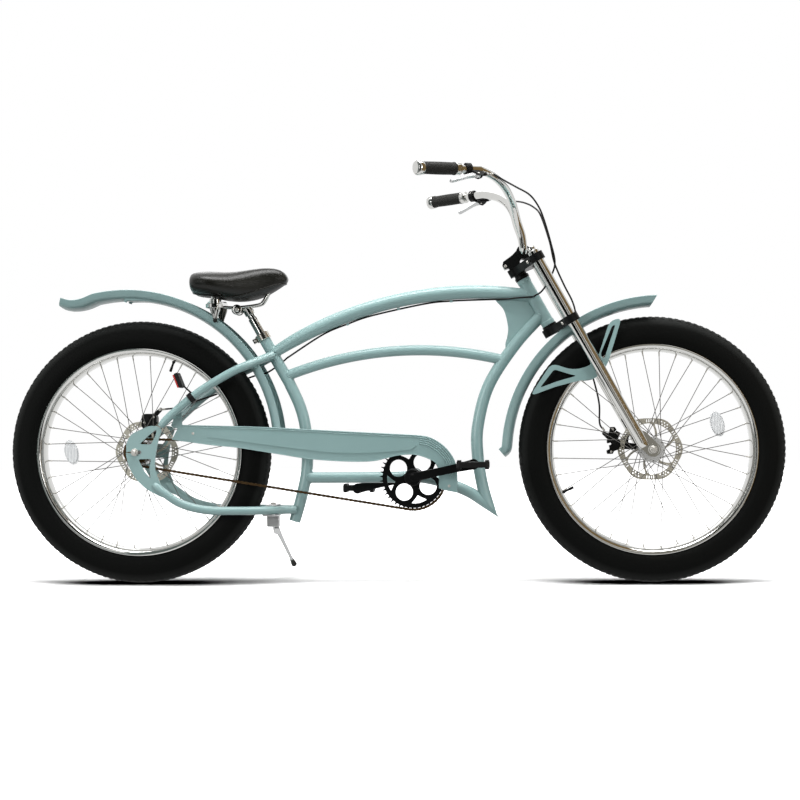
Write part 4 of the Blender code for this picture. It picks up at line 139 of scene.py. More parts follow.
bm = bmesh.new()
bmesh.ops.create_grid(bm, x_segments=1, y_segments=1, size=14.0)
floor_mesh = mesh_from(bm, "floor")
floor_piece = bpy.data.objects.new("floor", floor_mesh)
scene.collection.objects.link(floor_piece)
pale = bpy.data.materials.new("pale_floor")
pale.use_nodes = True
tree = pale.node_tree
tree.nodes.clear()
ray = node(tree, "ShaderNodeLightPath")
distance = node(tree, "ShaderNodeVectorMath", {0: node(tree, "ShaderNodeTexCoord").outputs["Object"],
                                               1: (0.5, 0.9, 0.0)}, operation="MULTIPLY")
distance = node(tree, "ShaderNodeVectorMath", {0: distance.outputs[0]}, operation="LENGTH")
far = node(tree, "ShaderNodeMapRange", {"Value": distance.outputs["Value"], 1: 0.7, 2: 2.2, 3: 0.0, 4: 1.0})
glow = node(tree, "ShaderNodeEmission", {"Color": (1, 1, 1, 1), "Strength": far.outputs[0]})
matt = node(tree, "ShaderNodeBsdfDiffuse", {"Color": srgb("8A8A8A")})
# Painted shadow: for camera rays the floor's colour comes from ambient occlusion. It is dark under the tyres
# and rises above 1 elsewhere, so the rest clips to white.
painted_floor_shadow = node(tree, "ShaderNodeAmbientOcclusion", {"Distance": 0.45})
painted_floor_shadow = node(tree, "ShaderNodeMapRange", {"Value": painted_floor_shadow.outputs["AO"], 1: 0.62, 2: 0.93, 3: 0.0, 4: 1.7})
lit = node(tree, "ShaderNodeBsdfDiffuse", {"Color": painted_floor_shadow.outputs[0]})
both = node(tree, "ShaderNodeAddShader", {0: lit.outputs[0], 1: glow.outputs[0]})
seen = node(tree, "ShaderNodeMath", {0: ray.outputs["Is Camera Ray"], 1: ray.outputs["Is Transmission Ray"]},
            operation="MAXIMUM")
mixed = node(tree, "ShaderNodeMixShader", {0: seen.outputs[0], 1: matt.outputs[0], 2: both.outputs[0]})
white = node(tree, "ShaderNodeEmission", {"Color": (1, 1, 1, 1), "Strength": 1.0})
mixed = node(tree, "ShaderNodeMixShader", {0: ray.outputs["Is Glossy Ray"], 1: mixed.outputs[0],
                                           2: white.outputs[0]})
node(tree, "ShaderNodeOutputMaterial", {"Surface": mixed.outputs[0]})
floor_mesh.materials.append(pale)

# Cards in front of the machine, which only its shiny pieces show: a grey one on the left,
# a dark green one in the middle, a silver and a brown one on the right, white between.
for name, colour, first, last in (("card_grey", "7F8986", -78, -40), ("card_green", "0C120D", -32, 10),
                                  ("card_silver", "8D8A82", 14, 31), ("card_brown", "67563A", 36, 95)):
    card = bpy.data.materials.new(name)
    card.use_nodes = True
    tree = card.node_tree
    tree.nodes.clear()
    across_card = node(tree, "ShaderNodeSeparateXYZ", {0: node(tree, "ShaderNodeTexCoord").outputs["Object"]})
    graded = node(tree, "ShaderNodeMapRange",
                  {"Value": across_card.outputs["X"], 1: 0.4, 2: 1.6, 3: 0.7, 4: 2.0})
    shown = node(tree, "ShaderNodeEmission", {"Color": srgb(colour), "Strength": graded.outputs[0]})
    node(tree, "ShaderNodeOutputMaterial", {"Surface": shown.outputs[0]})
    bm = bmesh.new()
    rows = []
    for step in range(13):
        turn = radians(first + (last - first) * step / 12)
        rows.append([bm.verts.new((0.1 + 1.5 * sin(turn), -1.1 * cos(turn), z)) for z in (0.01, 3.2)])
    for before, after in zip(rows, rows[1:]):
        bm.faces.new((before[0], after[0], after[1], before[1]))
    card_mesh = mesh_from(bm, name)
    card_mesh.materials.append(card)
    card_piece = bpy.data.objects.new(name, card_mesh)
    scene.collection.objects.link(card_piece)
    card_piece.visible_camera = False
    card_piece.visible_diffuse = False
    card_piece.visible_transmission = False
    card_piece.visible_shadow = False

# The camera stands level with the hubs on the drive side, a long way off, as the
# photograph's narrow view and near-parallel lines show.
CAMERA_PLACE = (0.3433, -5.2442, 0.4309)
SENSOR_WIDTH = 36.0
FOCAL_PIXELS, PICTURE_PIXELS = 1894.6, 800
yaw, pitch, roll = radians(-3.569), radians(-0.809), radians(-0.359)
ahead = Vector((sin(yaw) * cos(pitch), cos(yaw) * cos(pitch), -sin(pitch)))
right = Vector((cos(yaw), -sin(yaw), 0))
above = right.cross(ahead)
right, above = cos(roll) * right + sin(roll) * above, cos(roll) * above - sin(roll) * right
camera_data = bpy.data.cameras.new("camera")
camera_data.sensor_width = SENSOR_WIDTH
camera_data.lens = SENSOR_WIDTH * FOCAL_PIXELS / PICTURE_PIXELS
camera_data.clip_end = 60
camera = bpy.data.objects.new("camera", camera_data)
scene.collection.objects.link(camera)
camera.matrix_world = Matrix.Translation(CAMERA_PLACE) @ Matrix(
    (right, above, -ahead)).transposed().to_4x4()
scene.camera = camera

# Frame tubes: butted steel tubes, drawn to long bows, mitred and welded, then powder
# coated in one satin sage colour. A weld bead shows as a low ring at each joint.
REAR, FRONT = Vector((-0.708, 0, 0.365)), Vector((0.708, 0, 0.365))
CRANK = Vector((0.055112, 0, 0.2925))
SIDEWAYS = Vector((0, 1, 0))
RAKE = radians(29.2)
STEER_AXIS = Vector((-sin(RAKE), 0, cos(RAKE)))
STEER_FORWARD = Vector((cos(RAKE), 0, sin(RAKE)))
STEER_BASE = FRONT - 0.075 * STEER_FORWARD
SIDES = (("left", 1), ("right", -1))


def on_steering(forward, side, along):
    """Point given by its distances ahead of, beside and along the steering axis."""
    return STEER_BASE + forward * STEER_FORWARD + side * SIDEWAYS + along * STEER_AXIS


def from_rear(x, y, z):
    return REAR + Vector((x, y, z))


def from_front(x, y, z):
    return FRONT + Vector((x, y, z))


def from_crank(x, y, z):
    return CRANK + Vector((x, y, z))


def new_finish(name, colour, roughness, metallic=0.0):
    """Material with one Principled shader, its plain values on the shader's own sockets."""
    material = bpy.data.materials.new(name)
    material.use_nodes = True
    shader = material.node_tree.nodes["Principled BSDF"]
    shader.inputs["Base Color"].default_value = srgb(colour)
    shader.inputs["Roughness"].default_value = roughness
    shader.inputs["Metallic"].default_value = metallic
    material.diffuse_color = srgb(colour)
    return material, material.node_tree, shader


def own_place(tree):
    return node(tree, "ShaderNodeTexCoord").outputs["Object"]


def noise(tree, scale, detail=2.0):
    """Noise fixed to the piece, as a share from 0 to 1."""
    return node(tree, "ShaderNodeTexNoise", {"Vector": own_place(tree), "Scale": scale,
                                             "Detail": detail}).outputs["Fac"]


def tinted(tree, shader, share, first, second):
    """Base colour between two tones."""
    tone = node(tree, "ShaderNodeMix", {0: share, 6: srgb(first), 7: srgb(second)}, data_type="RGBA")
    tree.links.new(tone.outputs[2], shader.inputs["Base Color"])


def uneven(tree, shader, share, low, high):
    """Roughness between two values."""
    rough = node(tree, "ShaderNodeMapRange", {"Value": share, 3: low, 4: high})
    tree.links.new(rough.outputs[0], shader.inputs["Roughness"])


def embossed(tree, shader, relief, strength, distance):
    """Fine relief in the surface."""
    bump = node(tree, "ShaderNodeBump", {"Height": relief, "Strength": strength, "Distance": distance})
    tree.links.new(bump.outputs[0], shader.inputs["Normal"])


def smooth_line(points, steps):
    """Points on a Catmull-Rom curve through a few chosen ones, with the given steps between each two."""
    knots = [Vector(p) for p in points]
    knots = [2 * knots[0] - knots[1]] + knots + [2 * knots[-1] - knots[-2]]
    line = []
    for a, b, c, d in zip(knots, knots[1:], knots[2:], knots[3:]):
        for step in range(steps):
            t = step / steps
            line.append(0.5 * (2 * b + (c - a) * t + (2 * a - 5 * b + 4 * c - d) * t * t
                               + (3 * b - 3 * c + d - a) * t ** 3))
    line.append(knots[-2])
    return line


def curve_mesh(data):
    """Mesh of a curve, with its caps joined to its sides and its faces outward."""
    obj = bpy.data.objects.new("drawn", data)
    scene.collection.objects.link(obj)
    bpy.context.view_layer.update()
    mesh = bpy.data.meshes.new_from_object(obj.evaluated_get(bpy.context.evaluated_depsgraph_get()))
    bpy.data.objects.remove(obj, do_unlink=True)
    bpy.data.curves.remove(data)
    bm = bmesh.new()
    bm.from_mesh(mesh)
    bmesh.ops.remove_doubles(bm, verts=bm.verts, dist=1e-5)
    bmesh.ops.recalc_face_normals(bm, faces=bm.faces)
    bm.to_mesh(mesh)
    bm.free()
    mesh.materials.clear()
    return mesh


def tube(points, radius, radii=None, sides=28, closed=False):
    """Round tube along a line, with a radius of its own at each point if they are given."""
    data = bpy.data.curves.new("tube", "CURVE")
    data.dimensions = "3D"
    data.twist_mode = "MINIMUM"
    data.bevel_depth = radius
    data.bevel_resolution = (sides - 4) // 2
    data.use_fill_caps = True
    data.resolution_u = 1
    spline = data.splines.new("POLY")
    spline.points.add(len(points) - 1)
    for index, (point, target) in enumerate(zip(points, spline.points)):
        target.co = (*point, 1)
        target.radius = radii[index] / radius if radii else 1.0
    spline.use_cyclic_u = closed
    return curve_mesh(data)


def placing(origin, axis):
    """Placement whose local Z lies along an axis."""
    return Matrix.Translation(origin) @ Vector((0, 0, 1)).rotation_difference(axis).to_matrix().to_4x4()


def lathe(profile, origin, axis, steps=64, closed=False):
    """Body of revolution from pairs of radius and height, listed down its outer side."""
    bm = bmesh.new()
    rows = []
    for radius, height in profile:
        if radius < 1e-6:
            rows.append([bm.verts.new((0, 0, height))] * steps)
        else:
            rows.append([bm.verts.new((radius * cos(2 * pi * k / steps), radius * sin(2 * pi * k / steps),
                                       height))
                         for k in range(steps)])
    for upper, lower in list(zip(rows, rows[1:])) + ([(rows[-1], rows[0])] if closed else []):
        for k in range(steps):
            after = (k + 1) % steps
            corners = list(dict.fromkeys((upper[k], lower[k], lower[after], upper[after])))
            if len(corners) > 2:
                bm.faces.new(corners)
    bmesh.ops.recalc_face_normals(bm, faces=bm.faces)
    bm.transform(placing(origin, axis))
    return mesh_from(bm, "turned")


def rod(start, end, radius, sides=32, chamfer=0.0):
    """Cylinder between two points, with its ends broken by a chamfer."""
    start, end = Vector(start), Vector(end)
    length = (end - start).length
    chamfer = min(chamfer, 0.4 * radius, 0.4 * length)
    profile = [(0, length), (radius - chamfer, length)] + ([(radius, length - chamfer),
                                                            (radius, chamfer)] if chamfer
                                                           else [(radius, length)])
    profile += [(radius - chamfer, 0), (0, 0)] if chamfer else [(radius, 0), (0, 0)]
    tidy = [p for k, p in enumerate(profile) if k == 0 or p != profile[k - 1]]
    return lathe(tidy, start, (end - start).normalized(), sides)


def arc(centre, radius, start, end, count):
    """Points of a flat arc, angles in degrees."""
    angles = [radians(start + (end - start) * k / count) for k in range(count + 1)]
    return [Vector((centre[0] + radius * cos(a), centre[1] + radius * sin(a))) for a in angles]


def piece(name, shapes, body, stands_for=(), bevel=0.0, sharp=38):
    """One finished piece from its shapes, each a mesh and its finish, moving with a body of the frame."""
    mesh = bpy.data.meshes.new(name)
    finishes = []
    bm = bmesh.new()
    for shape, material in shapes:
        if material not in finishes:
            finishes.append(material)
            mesh.materials.append(material)
        first = len(bm.faces)
        bm.from_mesh(shape)
        bm.faces.ensure_lookup_table()
        for face in bm.faces[first:]:
            face.material_index = finishes.index(material)
        bpy.data.meshes.remove(shape)
    bm.to_mesh(mesh)
    bm.free()
    mesh.shade_smooth()
    mesh.set_sharp_from_angle(angle=radians(sharp))
    obj = bpy.data.objects.new(name, mesh)
    scene.collection.objects.link(obj)
    if bevel:
        edge = obj.modifiers.new("broken_edges", "BEVEL")
        edge.width = bevel
        edge.segments = 2
        edge.limit_method = "ANGLE"
        edge.angle_limit = radians(50)
        edge.use_clamp_overlap = True
    if body:
        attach(obj, body)
    if stands_for:
        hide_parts(*stands_for)
    return obj


# Polyester powder coat: satin, with a faint orange peel of about 1.5 mm and slow drifts
# of tone a hand's width across, so that long tubes don't look like flat plastic.
powder_coat, tree, shader = new_finish("sage_powder_coat", "829F9E", 0.40)
peel = noise(tree, 650.0)
tinted(tree, shader, noise(tree, 9.0, 3.0), "7E9B9A", "86A3A2")
uneven(tree, shader, peel, 0.33, 0.45)
embossed(tree, shader, peel, 0.10, 0.0004)
shader.inputs["Coat Weight"].default_value = 0.25
shader.inputs["Coat Roughness"].default_value = 0.22


def slid_out(point, heading, centre, axis, radius):
    """Point slid along a heading until it lies on a tube of a given centre line and radius."""
    offset, way = point - centre, heading
    offset, way = offset - offset.dot(axis) * axis, way - way.dot(axis) * axis
    a, b, c = way.length_squared, offset.dot(way), offset.length_squared - radius * radius
    if c >= 0 or b * b - a * c < 0:
        return point
    return point + heading * ((-b + sqrt(b * b - a * c)) / a)


def mitred(mesh, heading, centre, axis, radius):
    """Fits a tube's end to the round side of another: points inside that one slide out along a heading."""
    for vertex in mesh.vertices:
        if (vertex.co - centre).length < 0.05:
            vertex.co = slid_out(vertex.co, heading, centre, axis, radius)
    return mesh


def bead(end, heading, size, centre, axis, radius, thickness=0.0017, count=96):
    """Weld bead along a mitre: a low ring with the ripple that each drop of the weld leaves."""
    turn = placing(end, heading)
    ring = [slid_out(turn @ Vector((size * cos(2 * pi * k / count), size * sin(2 * pi * k / count), 0)),
                     heading,
                     centre, axis, radius) for k in range(count)]
    return tube(ring, thickness, [thickness * (1 + 0.14 * (k % 2)) for k in range(count)], 10, True)


SEAT_ANGLE = radians(29.5)
SEAT_AXIS = Vector((sin(SEAT_ANGLE), 0, -cos(SEAT_ANGLE)))
SEAT_TOP = from_rear(0.3397, 0, 0.325)


def on_seat_axis(depth):
    return SEAT_TOP + depth * SEAT_AXIS


def bow(start, end, rise, count):
    """Arc in the middle plane between two points, with a given rise."""
    start, end = Vector(start), Vector(end)
    half = (end - start).length / 2
    along = (end - start).normalized()
    up = Vector((-along.z, 0, along.x))
    radius = (half * half + rise * rise) / (2 * rise)
    reach = atan2(half, radius - rise)
    centre = (start + end) / 2 - up * (radius - rise)
    angles = [reach * (2 * k / count - 1) for k in range(count + 1)]
    return [centre + radius * (sin(a) * along + cos(a) * up) for a in angles]


top_line = bow(on_seat_axis(0.0615), on_steering(0, 0, 0.528), 0.0688, 60)
top_radii = []
for k in range(61):
    stretch = (0.0150, 0.0180) + (0.019,) * 7 + (0.0185, 0.0168)
    whole = min(int(k / 6), 9)
    top_radii.append(stretch[whole] + (stretch[whole + 1] - stretch[whole]) * (k / 6 - whole))
rear_way, front_way = (top_line[1] - top_line[0]).normalized(), (top_line[-2] - top_line[-1]).normalized()
top_tube = mitred(tube(top_line, 0.019, top_radii, 40), rear_way, SEAT_TOP, SEAT_AXIS, 0.0158)
top_tube = mitred(top_tube, front_way, on_steering(0, 0, 0.528), STEER_AXIS, 0.0177)
piece("top_tube_bowed", [
    (top_tube, powder_coat), (bead(top_line[0], rear_way, 0.0158, SEAT_TOP, SEAT_AXIS, 0.0158), powder_coat),
    (bead(top_line[-1], front_way, 0.0170, STEER_BASE, STEER_AXIS, 0.0179), powder_coat)],
    "frame", ["top_tube"])

middle_line = bow(on_seat_axis(0.1344), on_steering(-0.1545, 0, 0.4120), 0.0479, 48)
rear_way = (middle_line[1] - middle_line[0]).normalized()
middle_tube = mitred(tube(middle_line, 0.0145, None, 36), rear_way, middle_line[0], SEAT_AXIS, 0.0158)
piece("middle_tube_bowed", [
    (middle_tube, powder_coat), (bead(middle_line[0], rear_way, 0.0147, SEAT_TOP, SEAT_AXIS, 0.0159),
                                 powder_coat)],
    "frame", ["middle_tube"])

seat_bend = [from_rear(*p) for p in ((0.445, 0, 0.126), (0.4605, 0, 0.064), (0.4655, 0, -0.010),
                                     (0.462, 0, -0.064), (0.448, 0, -0.129), (0.429, 0, -0.195))]
seat_line = [SEAT_TOP, on_seat_axis(0.06), on_seat_axis(0.11)]
seat_line += smooth_line([on_seat_axis(0.154)] + seat_bend, 8)
piece("seat_tube_swept", [(tube(seat_line, 0.016, None, 40), powder_coat)], "frame", ["seat_tube"],
      0.0006)


def trimmed(mesh, corner, normal, keep_high):
    """Cuts a shell off along a slanted plane square to the middle plane, and closes the cut."""
    bm = bmesh.new()
    bm.from_mesh(mesh)
    bmesh.ops.bisect_plane(bm, geom=bm.verts[:] + bm.edges[:] + bm.faces[:], plane_co=corner, plane_no=normal,
                           clear_inner=keep_high, clear_outer=not keep_high)
    bmesh.ops.holes_fill(bm, edges=[e for e in bm.edges if e.is_boundary])
    bmesh.ops.recalc_face_normals(bm, faces=bm.faces)
    bm.to_mesh(mesh)
    bm.free()
    return mesh


toe_corner = from_crank(0.167, 0, -0.0305)
toe_way = (from_crank(0.230, 0, -0.1085) - toe_corner).normalized()
toe_normal = Vector((-toe_way.z, 0, toe_way.x))
down_line = smooth_line([on_steering(0, 0, 0.4716), on_steering(-0.1091, 0, 0.4351),
                         on_steering(-0.2265, 0, 0.3736), from_crank(0.1765, 0, 0.1395),
                         from_crank(0.1755, 0, 0.0575), from_crank(0.188, 0, -0.0245),
                         from_crank(0.207, 0, -0.0920),
                         from_crank(0.2235, 0, -0.1475)], 10)
down_way = (down_line[1] - down_line[0]).normalized()
down_tube = mitred(tube(down_line, 0.0165, None, 40), down_way, on_steering(0, 0, 0.4716), STEER_AXIS, 0.0177)
piece("down_tube_swept", [
    (trimmed(down_tube, toe_corner, toe_normal, True), powder_coat),
    (bead(down_line[0], down_way, 0.0166, STEER_BASE, STEER_AXIS, 0.0179), powder_coat)],
    "frame", ["down_tube"])
lower_line = smooth_line([from_rear(0.4605, 0, -0.0735), from_rear(0.56, 0, -0.0738),
                          from_crank(-0.06, 0, -0.0008),
                          from_crank(0.0, 0, 0.0), from_crank(0.055, 0, -0.0085),
                          from_crank(0.113, 0, -0.0265),
                          from_crank(0.156, 0, -0.0457), from_crank(0.195, 0, -0.0712),
                          from_crank(0.235, 0, -0.0975), from_crank(0.262, 0, -0.1155)], 8)
foot_way = Vector((-0.13, 0, -0.99)).normalized()
lower_tube = mitred(tube(lower_line, 0.0155, None, 40), Vector((1, 0, 0)), lower_line[0], foot_way, 0.0158)
shell = [(0.0150, 0.045), (0.0203, 0.045), (0.021, 0.0443), (0.021, -0.0443), (0.0203, -0.045),
         (0.0150, -0.045)]
piece("lower_tube_swept", [
    (trimmed(lower_tube, toe_corner, toe_normal, False), powder_coat),
    (lathe(shell, CRANK, SIDEWAYS, 64, True), powder_coat),
    (bead(lower_line[0], Vector((1, 0, 0)), 0.0156, lower_line[0], foot_way, 0.0160), powder_coat)],
    "frame", ["lower_tube"])

# Rear triangle: round stays bent outward round the fat tyre, slotted at their ends over
# flat steel dropout plates laser-cut with two windows, all welded and powder coated.
def plate(outlines, low, high, frame):
    """Flat body: an outline and those of its holes in the X and Y of a frame, between two heights."""
    data = bpy.data.curves.new("plate", "CURVE")
    data.dimensions = "2D"
    data.fill_mode = "BOTH"
    data.extrude = (high - low) / 2
    data.resolution_u = 1
    for outline in outlines:
        spline = data.splines.new("POLY")
        spline.points.add(len(outline) - 1)
        for point, target in zip(outline, spline.points):
            target.co = (point[0], point[1], 0, 1)
        spline.use_cyclic_u = True
    mesh = curve_mesh(data)
    mesh.transform(frame @ Matrix.Translation((0, 0, (low + high) / 2)))
    return mesh


def upright(origin):
    """Frame of a plate that stands lengthwise: its X forward, its Y up, its Z to the right."""
    return Matrix.Translation(origin) @ Matrix.Rotation(pi / 2, 4, "X")


def across(outlines, y_low, y_high, origin):
    """Plate that stands lengthwise between two distances to the left."""
    return plate(outlines, -y_high, -y_low, upright((origin[0], 0, origin[2])))


def flat(points):
    return [Vector(p) for p in points]


def softened(outline, radius, steps=4):
    """Outline with each corner rounded by an arc-like curve of about the given radius."""
    points = [Vector(p) for p in outline]
    result = []
    for before, here, after in zip(points[-1:] + points[:-1], points, points[1:] + points[:1]):
        reach_in = min(radius, 0.45 * (before - here).length)
        reach_out = min(radius, 0.45 * (after - here).length)
        first = here + (before - here).normalized() * reach_in
        last = here + (after - here).normalized() * reach_out
        for k in range(steps + 1):
            t = k / steps
            result.append(first.lerp(here, t).lerp(here.lerp(last, t), t))
    return result


SEATSTAY = [(0.373, 0.020, 0.267), (0.343, 0.042, 0.254), (0.308, 0.070, 0.238), (0.261, 0.082, 0.216),
            (0.175, 0.086, 0.164), (0.103, 0.093, 0.104), (0.070, 0.098, 0.070)]
CHAINSTAY = [(0.433, 0.018, -0.162), (0.398, 0.035, -0.162), (0.348, 0.068, -0.162), (0.288, 0.083, -0.162),
             (0.200, 0.089, -0.160), (0.130, 0.094, -0.143), (0.081, 0.098, -0.112), (0.052, 0.098, -0.088)]
for side, sign in SIDES:
    for kind, points in (("seatstay", SEATSTAY), ("chainstay", CHAINSTAY)):
        line = smooth_line([from_rear(x, sign * y, z) for x, y, z in points], 8)
        size = [0.0115] * (len(line) - 5) + [0.0113, 0.0110, 0.0104, 0.0092, 0.0072]
        piece(kind + "_bent_" + side, [(tube(line, 0.0115, size, 32), powder_coat)], "frame",
              [kind + "_" + side])

slot = flat([(-0.05, 0.0053), (0.0135, 0.0053)]) + arc((0.0135, 0), 0.0053, 90, -90,
                                                       10) + flat([(-0.05, -0.0053)])
plate_edge = softened([(-0.023, 0.0056), (-0.023, 0.026), (-0.010, 0.050), (0.040, 0.073), (0.065, 0.072),
                       (0.077, 0.061), (0.067, 0.039), (0.057, -0.013), (0.055, -0.043), (0.065, -0.072),
                       (0.083, -0.118), (0.081, -0.125), (0.069, -0.121), (0.029, -0.099), (0.002, -0.072),
                       (-0.017, -0.037), (-0.0245, -0.0056)], 0.012)
plate_edge = plate_edge + arc((0.0135, 0), 0.0054, -90, 90, 10)
windows = [softened([(0.014, 0.023), (0.045, 0.021), (0.058, 0.045), (0.062, 0.063), (0.048, 0.054)], 0.006),
           softened([(0.010, -0.019), (0.046, -0.018), (0.041, -0.040), (0.044, -0.073), (0.026, -0.052)],
                    0.006)]
for side, sign in SIDES:
    low, high = sorted((sign * 0.095, sign * 0.101))
    piece("dropout_plate_" + side, [(across([plate_edge] + windows, low, high, REAR), powder_coat)], "frame",
          ["dropout_" + side], 0.0007)

# Hoop over the rear fender: a bent steel rod on each side of the wheel, welded to a small
# cross plate between the seatstays, coated with the frame.
HOOP_Y, HOOP_RADIUS, HOOP_ROD = 0.035, 0.3899, 0.0052
hoop_arc = arc((REAR.x - 0.0135, REAR.z + 0.0358), HOOP_RADIUS, 30.5, 92.5, 48)
hoop_end = hoop_arc[-1]
shapes = [(across([softened([(0.3180, 0.2380), (0.3320, 0.2380), (0.3335, 0.2300), (0.3165, 0.2300)],
                            0.0015)],
                  -0.060, 0.060, REAR), powder_coat)]
for side, sign in SIDES:
    leg = [Vector((REAR.x + 0.3246, sign * HOOP_Y, REAR.z + 0.2300))]
    leg += [Vector((p.x, sign * HOOP_Y, p.y)) for p in hoop_arc]
    leg += [Vector((hoop_end.x - 0.006, sign * HOOP_Y, hoop_end.y - 0.003)),
            Vector((hoop_end.x - 0.008, sign * HOOP_Y, hoop_end.y - 0.008))]
    shapes.append((tube(leg, HOOP_ROD, None, 20), powder_coat))
piece("fender_hoop", shapes, "frame", ["fender_loop"])


# Fenders: sheet steel rolled to a deep crowned section with a wired edge, the rear one
# kicked up at its tail, the front one on two cut-out side plates bolted to the fork.
REAR_FENDER_RADIUS, FRONT_FENDER_RADIUS = 0.406, 0.4045


def sheet_fender(path, wide=0.056, drop=0.027, thickness=0.0016, wire=0.0013):
    """Crowned sheet along a path of crown points in the middle plane, with a rolled edge on each side."""
    half = smooth_line([(0, 0, 0), (0.30 * wide, 0.025 * drop, 0), (0.56 * wide, 0.11 * drop, 0),
                        (0.80 * wide, 0.28 * drop, 0), (0.92 * wide, 0.50 * drop, 0), (wide, drop, 0)], 4)
    section = [(-p.x, p.y) for p in half[:0:-1]] + [(p.x, p.y) for p in half]
    bm = bmesh.new()
    rows = []
    for before, here, after in zip([path[0]] + path[:-1], path, path[1:] + [path[-1]]):
        along = (after - before).normalized()
        out = Vector((-along.y, along.x))
        ring = []
        for level in (thickness / 2, -thickness / 2):
            line = []
            for index, (side, depth) in enumerate(section):
                near, far = section[max(index - 1, 0)], section[min(index + 1, len(section) - 1)]
                slope = Vector((far[0] - near[0], far[1] - near[1])).normalized()
                across_part, out_part = slope.y * level, slope.x * level
                place = Vector((here.x, here.y)) - out * (depth - out_part)
                line.append(bm.verts.new((place.x, side + across_part, place.y)))
            ring.append(line)
        rows.append(ring[0] + ring[1][::-1])
    count = len(rows[0])
    for row_a, row_b in zip(rows, rows[1:]):
        for k in range(count):
            bm.faces.new((row_a[k], row_a[(k + 1) % count], row_b[(k + 1) % count], row_b[k]))
    half_count = count // 2
    for row_one in (rows[0], rows[-1]):
        for k in range(half_count - 1):
            bm.faces.new((row_one[k], row_one[k + 1], row_one[count - 2 - k], row_one[count - 1 - k]))
    mesh = mesh_from(bm, "fender", True)
    edges = []
    for sign in (1, -1):
        line = []
        for before, here, after in zip([path[0]] + path[:-1], path, path[1:] + [path[-1]]):
            along = (after - before).normalized()
            place = here - Vector((-along.y, along.x)) * drop
            line.append(Vector((place.x, sign * (wide - 0.0006), place.y)))
        edges.append(tube(line, wire, None, 8))
    return [mesh] + edges


def smooth_flat(points, steps):
    return [Vector((p.x, p.y)) for p in smooth_line([(q[0], q[1], 0) for q in points], steps)]


rear_path = arc((REAR.x - 0.034, REAR.z + 0.016), REAR_FENDER_RADIUS, 4.2, 102, 72)
rear_path += smooth_flat([rear_path[-1], (REAR.x - 0.150, REAR.z + 0.4005), (REAR.x - 0.178, REAR.z + 0.3955),
                          (REAR.x - 0.200, REAR.z + 0.3965), (REAR.x - 0.2235, REAR.z + 0.4030)], 5)[1:]


tail_cut = (from_rear(-0.214, 0, 0.401), Vector((0.037, 0, 0.042)))
piece("rear_fender_rolled", [(trimmed(part, *tail_cut, True),
                              powder_coat) for part in sheet_fender(rear_path)],
      "frame", ["rear_fender"], 0, 50)

front_path = arc((FRONT.x + 0.022, FRONT.z - 0.012), FRONT_FENDER_RADIUS, 90, 175, 64)
front_path += smooth_flat([front_path[-1], (FRONT.x - 0.3835, FRONT.z + 0.004),
                           (FRONT.x - 0.3895, FRONT.z - 0.009),
                           (FRONT.x - 0.401, FRONT.z - 0.019)], 5)[1:]
lip_cut = (from_front(0, 0, 0.395), Vector((0.033, 0, -0.020)))
shapes = [(trimmed(part, *lip_cut, False), powder_coat) for part in sheet_fender(front_path)]
brace = softened([(-0.0815, 0.3600), (-0.1150, 0.3500), (-0.147, 0.251), (-0.174, 0.226), (-0.218, 0.218),
                  (-0.2735, 0.2370), (-0.3330, 0.1470), (-0.259, 0.174), (-0.191, 0.190), (-0.153, 0.193),
                  (-0.122, 0.229)], 0.020)
brace_slot = softened([(-0.099, 0.340), (-0.108, 0.337), (-0.139, 0.262), (-0.136, 0.250), (-0.129, 0.249)],
                      0.006)
brace_window = softened([(-0.266, 0.220), (-0.305, 0.170), (-0.259, 0.187), (-0.205, 0.202), (-0.222, 0.206)],
                        0.008)
for side, sign in SIDES:
    low, high = sorted((sign * 0.0561, sign * 0.0611))
    shapes.append((across([brace, brace_slot, brace_window], low, high, FRONT), powder_coat))
piece("front_fender_rolled", shapes, "steering", ["front_fender"], 0, 50)

# Tyres: fat black rubber on a cord casing, moulded with low crown blocks, small wedge
# cuts on the shoulder, smooth bare sidewalls and fine rings above the bead.
tire_rubber, tree, shader = new_finish("tire_rubber", "0A0A0A", 0.60)
shader.inputs["Specular IOR Level"].default_value = 0.05
parts_of = node(tree, "ShaderNodeSeparateXYZ", {0: own_place(tree)})
forward = node(tree, "ShaderNodeMath", {0: parts_of.outputs["X"]}, operation="ABSOLUTE")
forward = node(tree, "ShaderNodeMath", {0: forward.outputs[0], 1: 0.708}, operation="SUBTRACT")
upward = node(tree, "ShaderNodeMath", {0: parts_of.outputs["Z"], 1: 0.365}, operation="SUBTRACT")
flat_place = node(tree, "ShaderNodeCombineXYZ", {0: forward.outputs[0], 1: upward.outputs[0]})
reach = node(tree, "ShaderNodeVectorMath", {0: flat_place.outputs[0]}, operation="LENGTH")
# Painted sheen: the tread band, beyond 0.338 m from the axle, is tinted a lighter grey than the sidewalls.
painted_tread_sheen = node(tree, "ShaderNodeMapRange", {"Value": reach.outputs["Value"], 1: 0.338, 2: 0.352, 3: 0.0, 4: 1.0})
tinted(tree, shader, painted_tread_sheen.outputs[0], "090A09", "1F201F")
rings = node(tree, "ShaderNodeMath", {0: reach.outputs["Value"], 1: 2 * pi / 0.0016}, operation="MULTIPLY")
rings = node(tree, "ShaderNodeMath", {0: rings.outputs[0]}, operation="SINE")
near_bead = node(tree, "ShaderNodeMapRange", {"Value": reach.outputs["Value"], 1: 0.296, 2: 0.300, 3: 1.0,
                                              4: 0.0})
rings = node(tree, "ShaderNodeMath", {0: rings.outputs[0], 1: near_bead.outputs[0]}, operation="MULTIPLY")
relief = node(tree, "ShaderNodeMath", {0: rings.outputs[0], 1: noise(tree, 900.0)}, operation="ADD")
embossed(tree, shader, relief.outputs[0], 0.25, 0.0003)

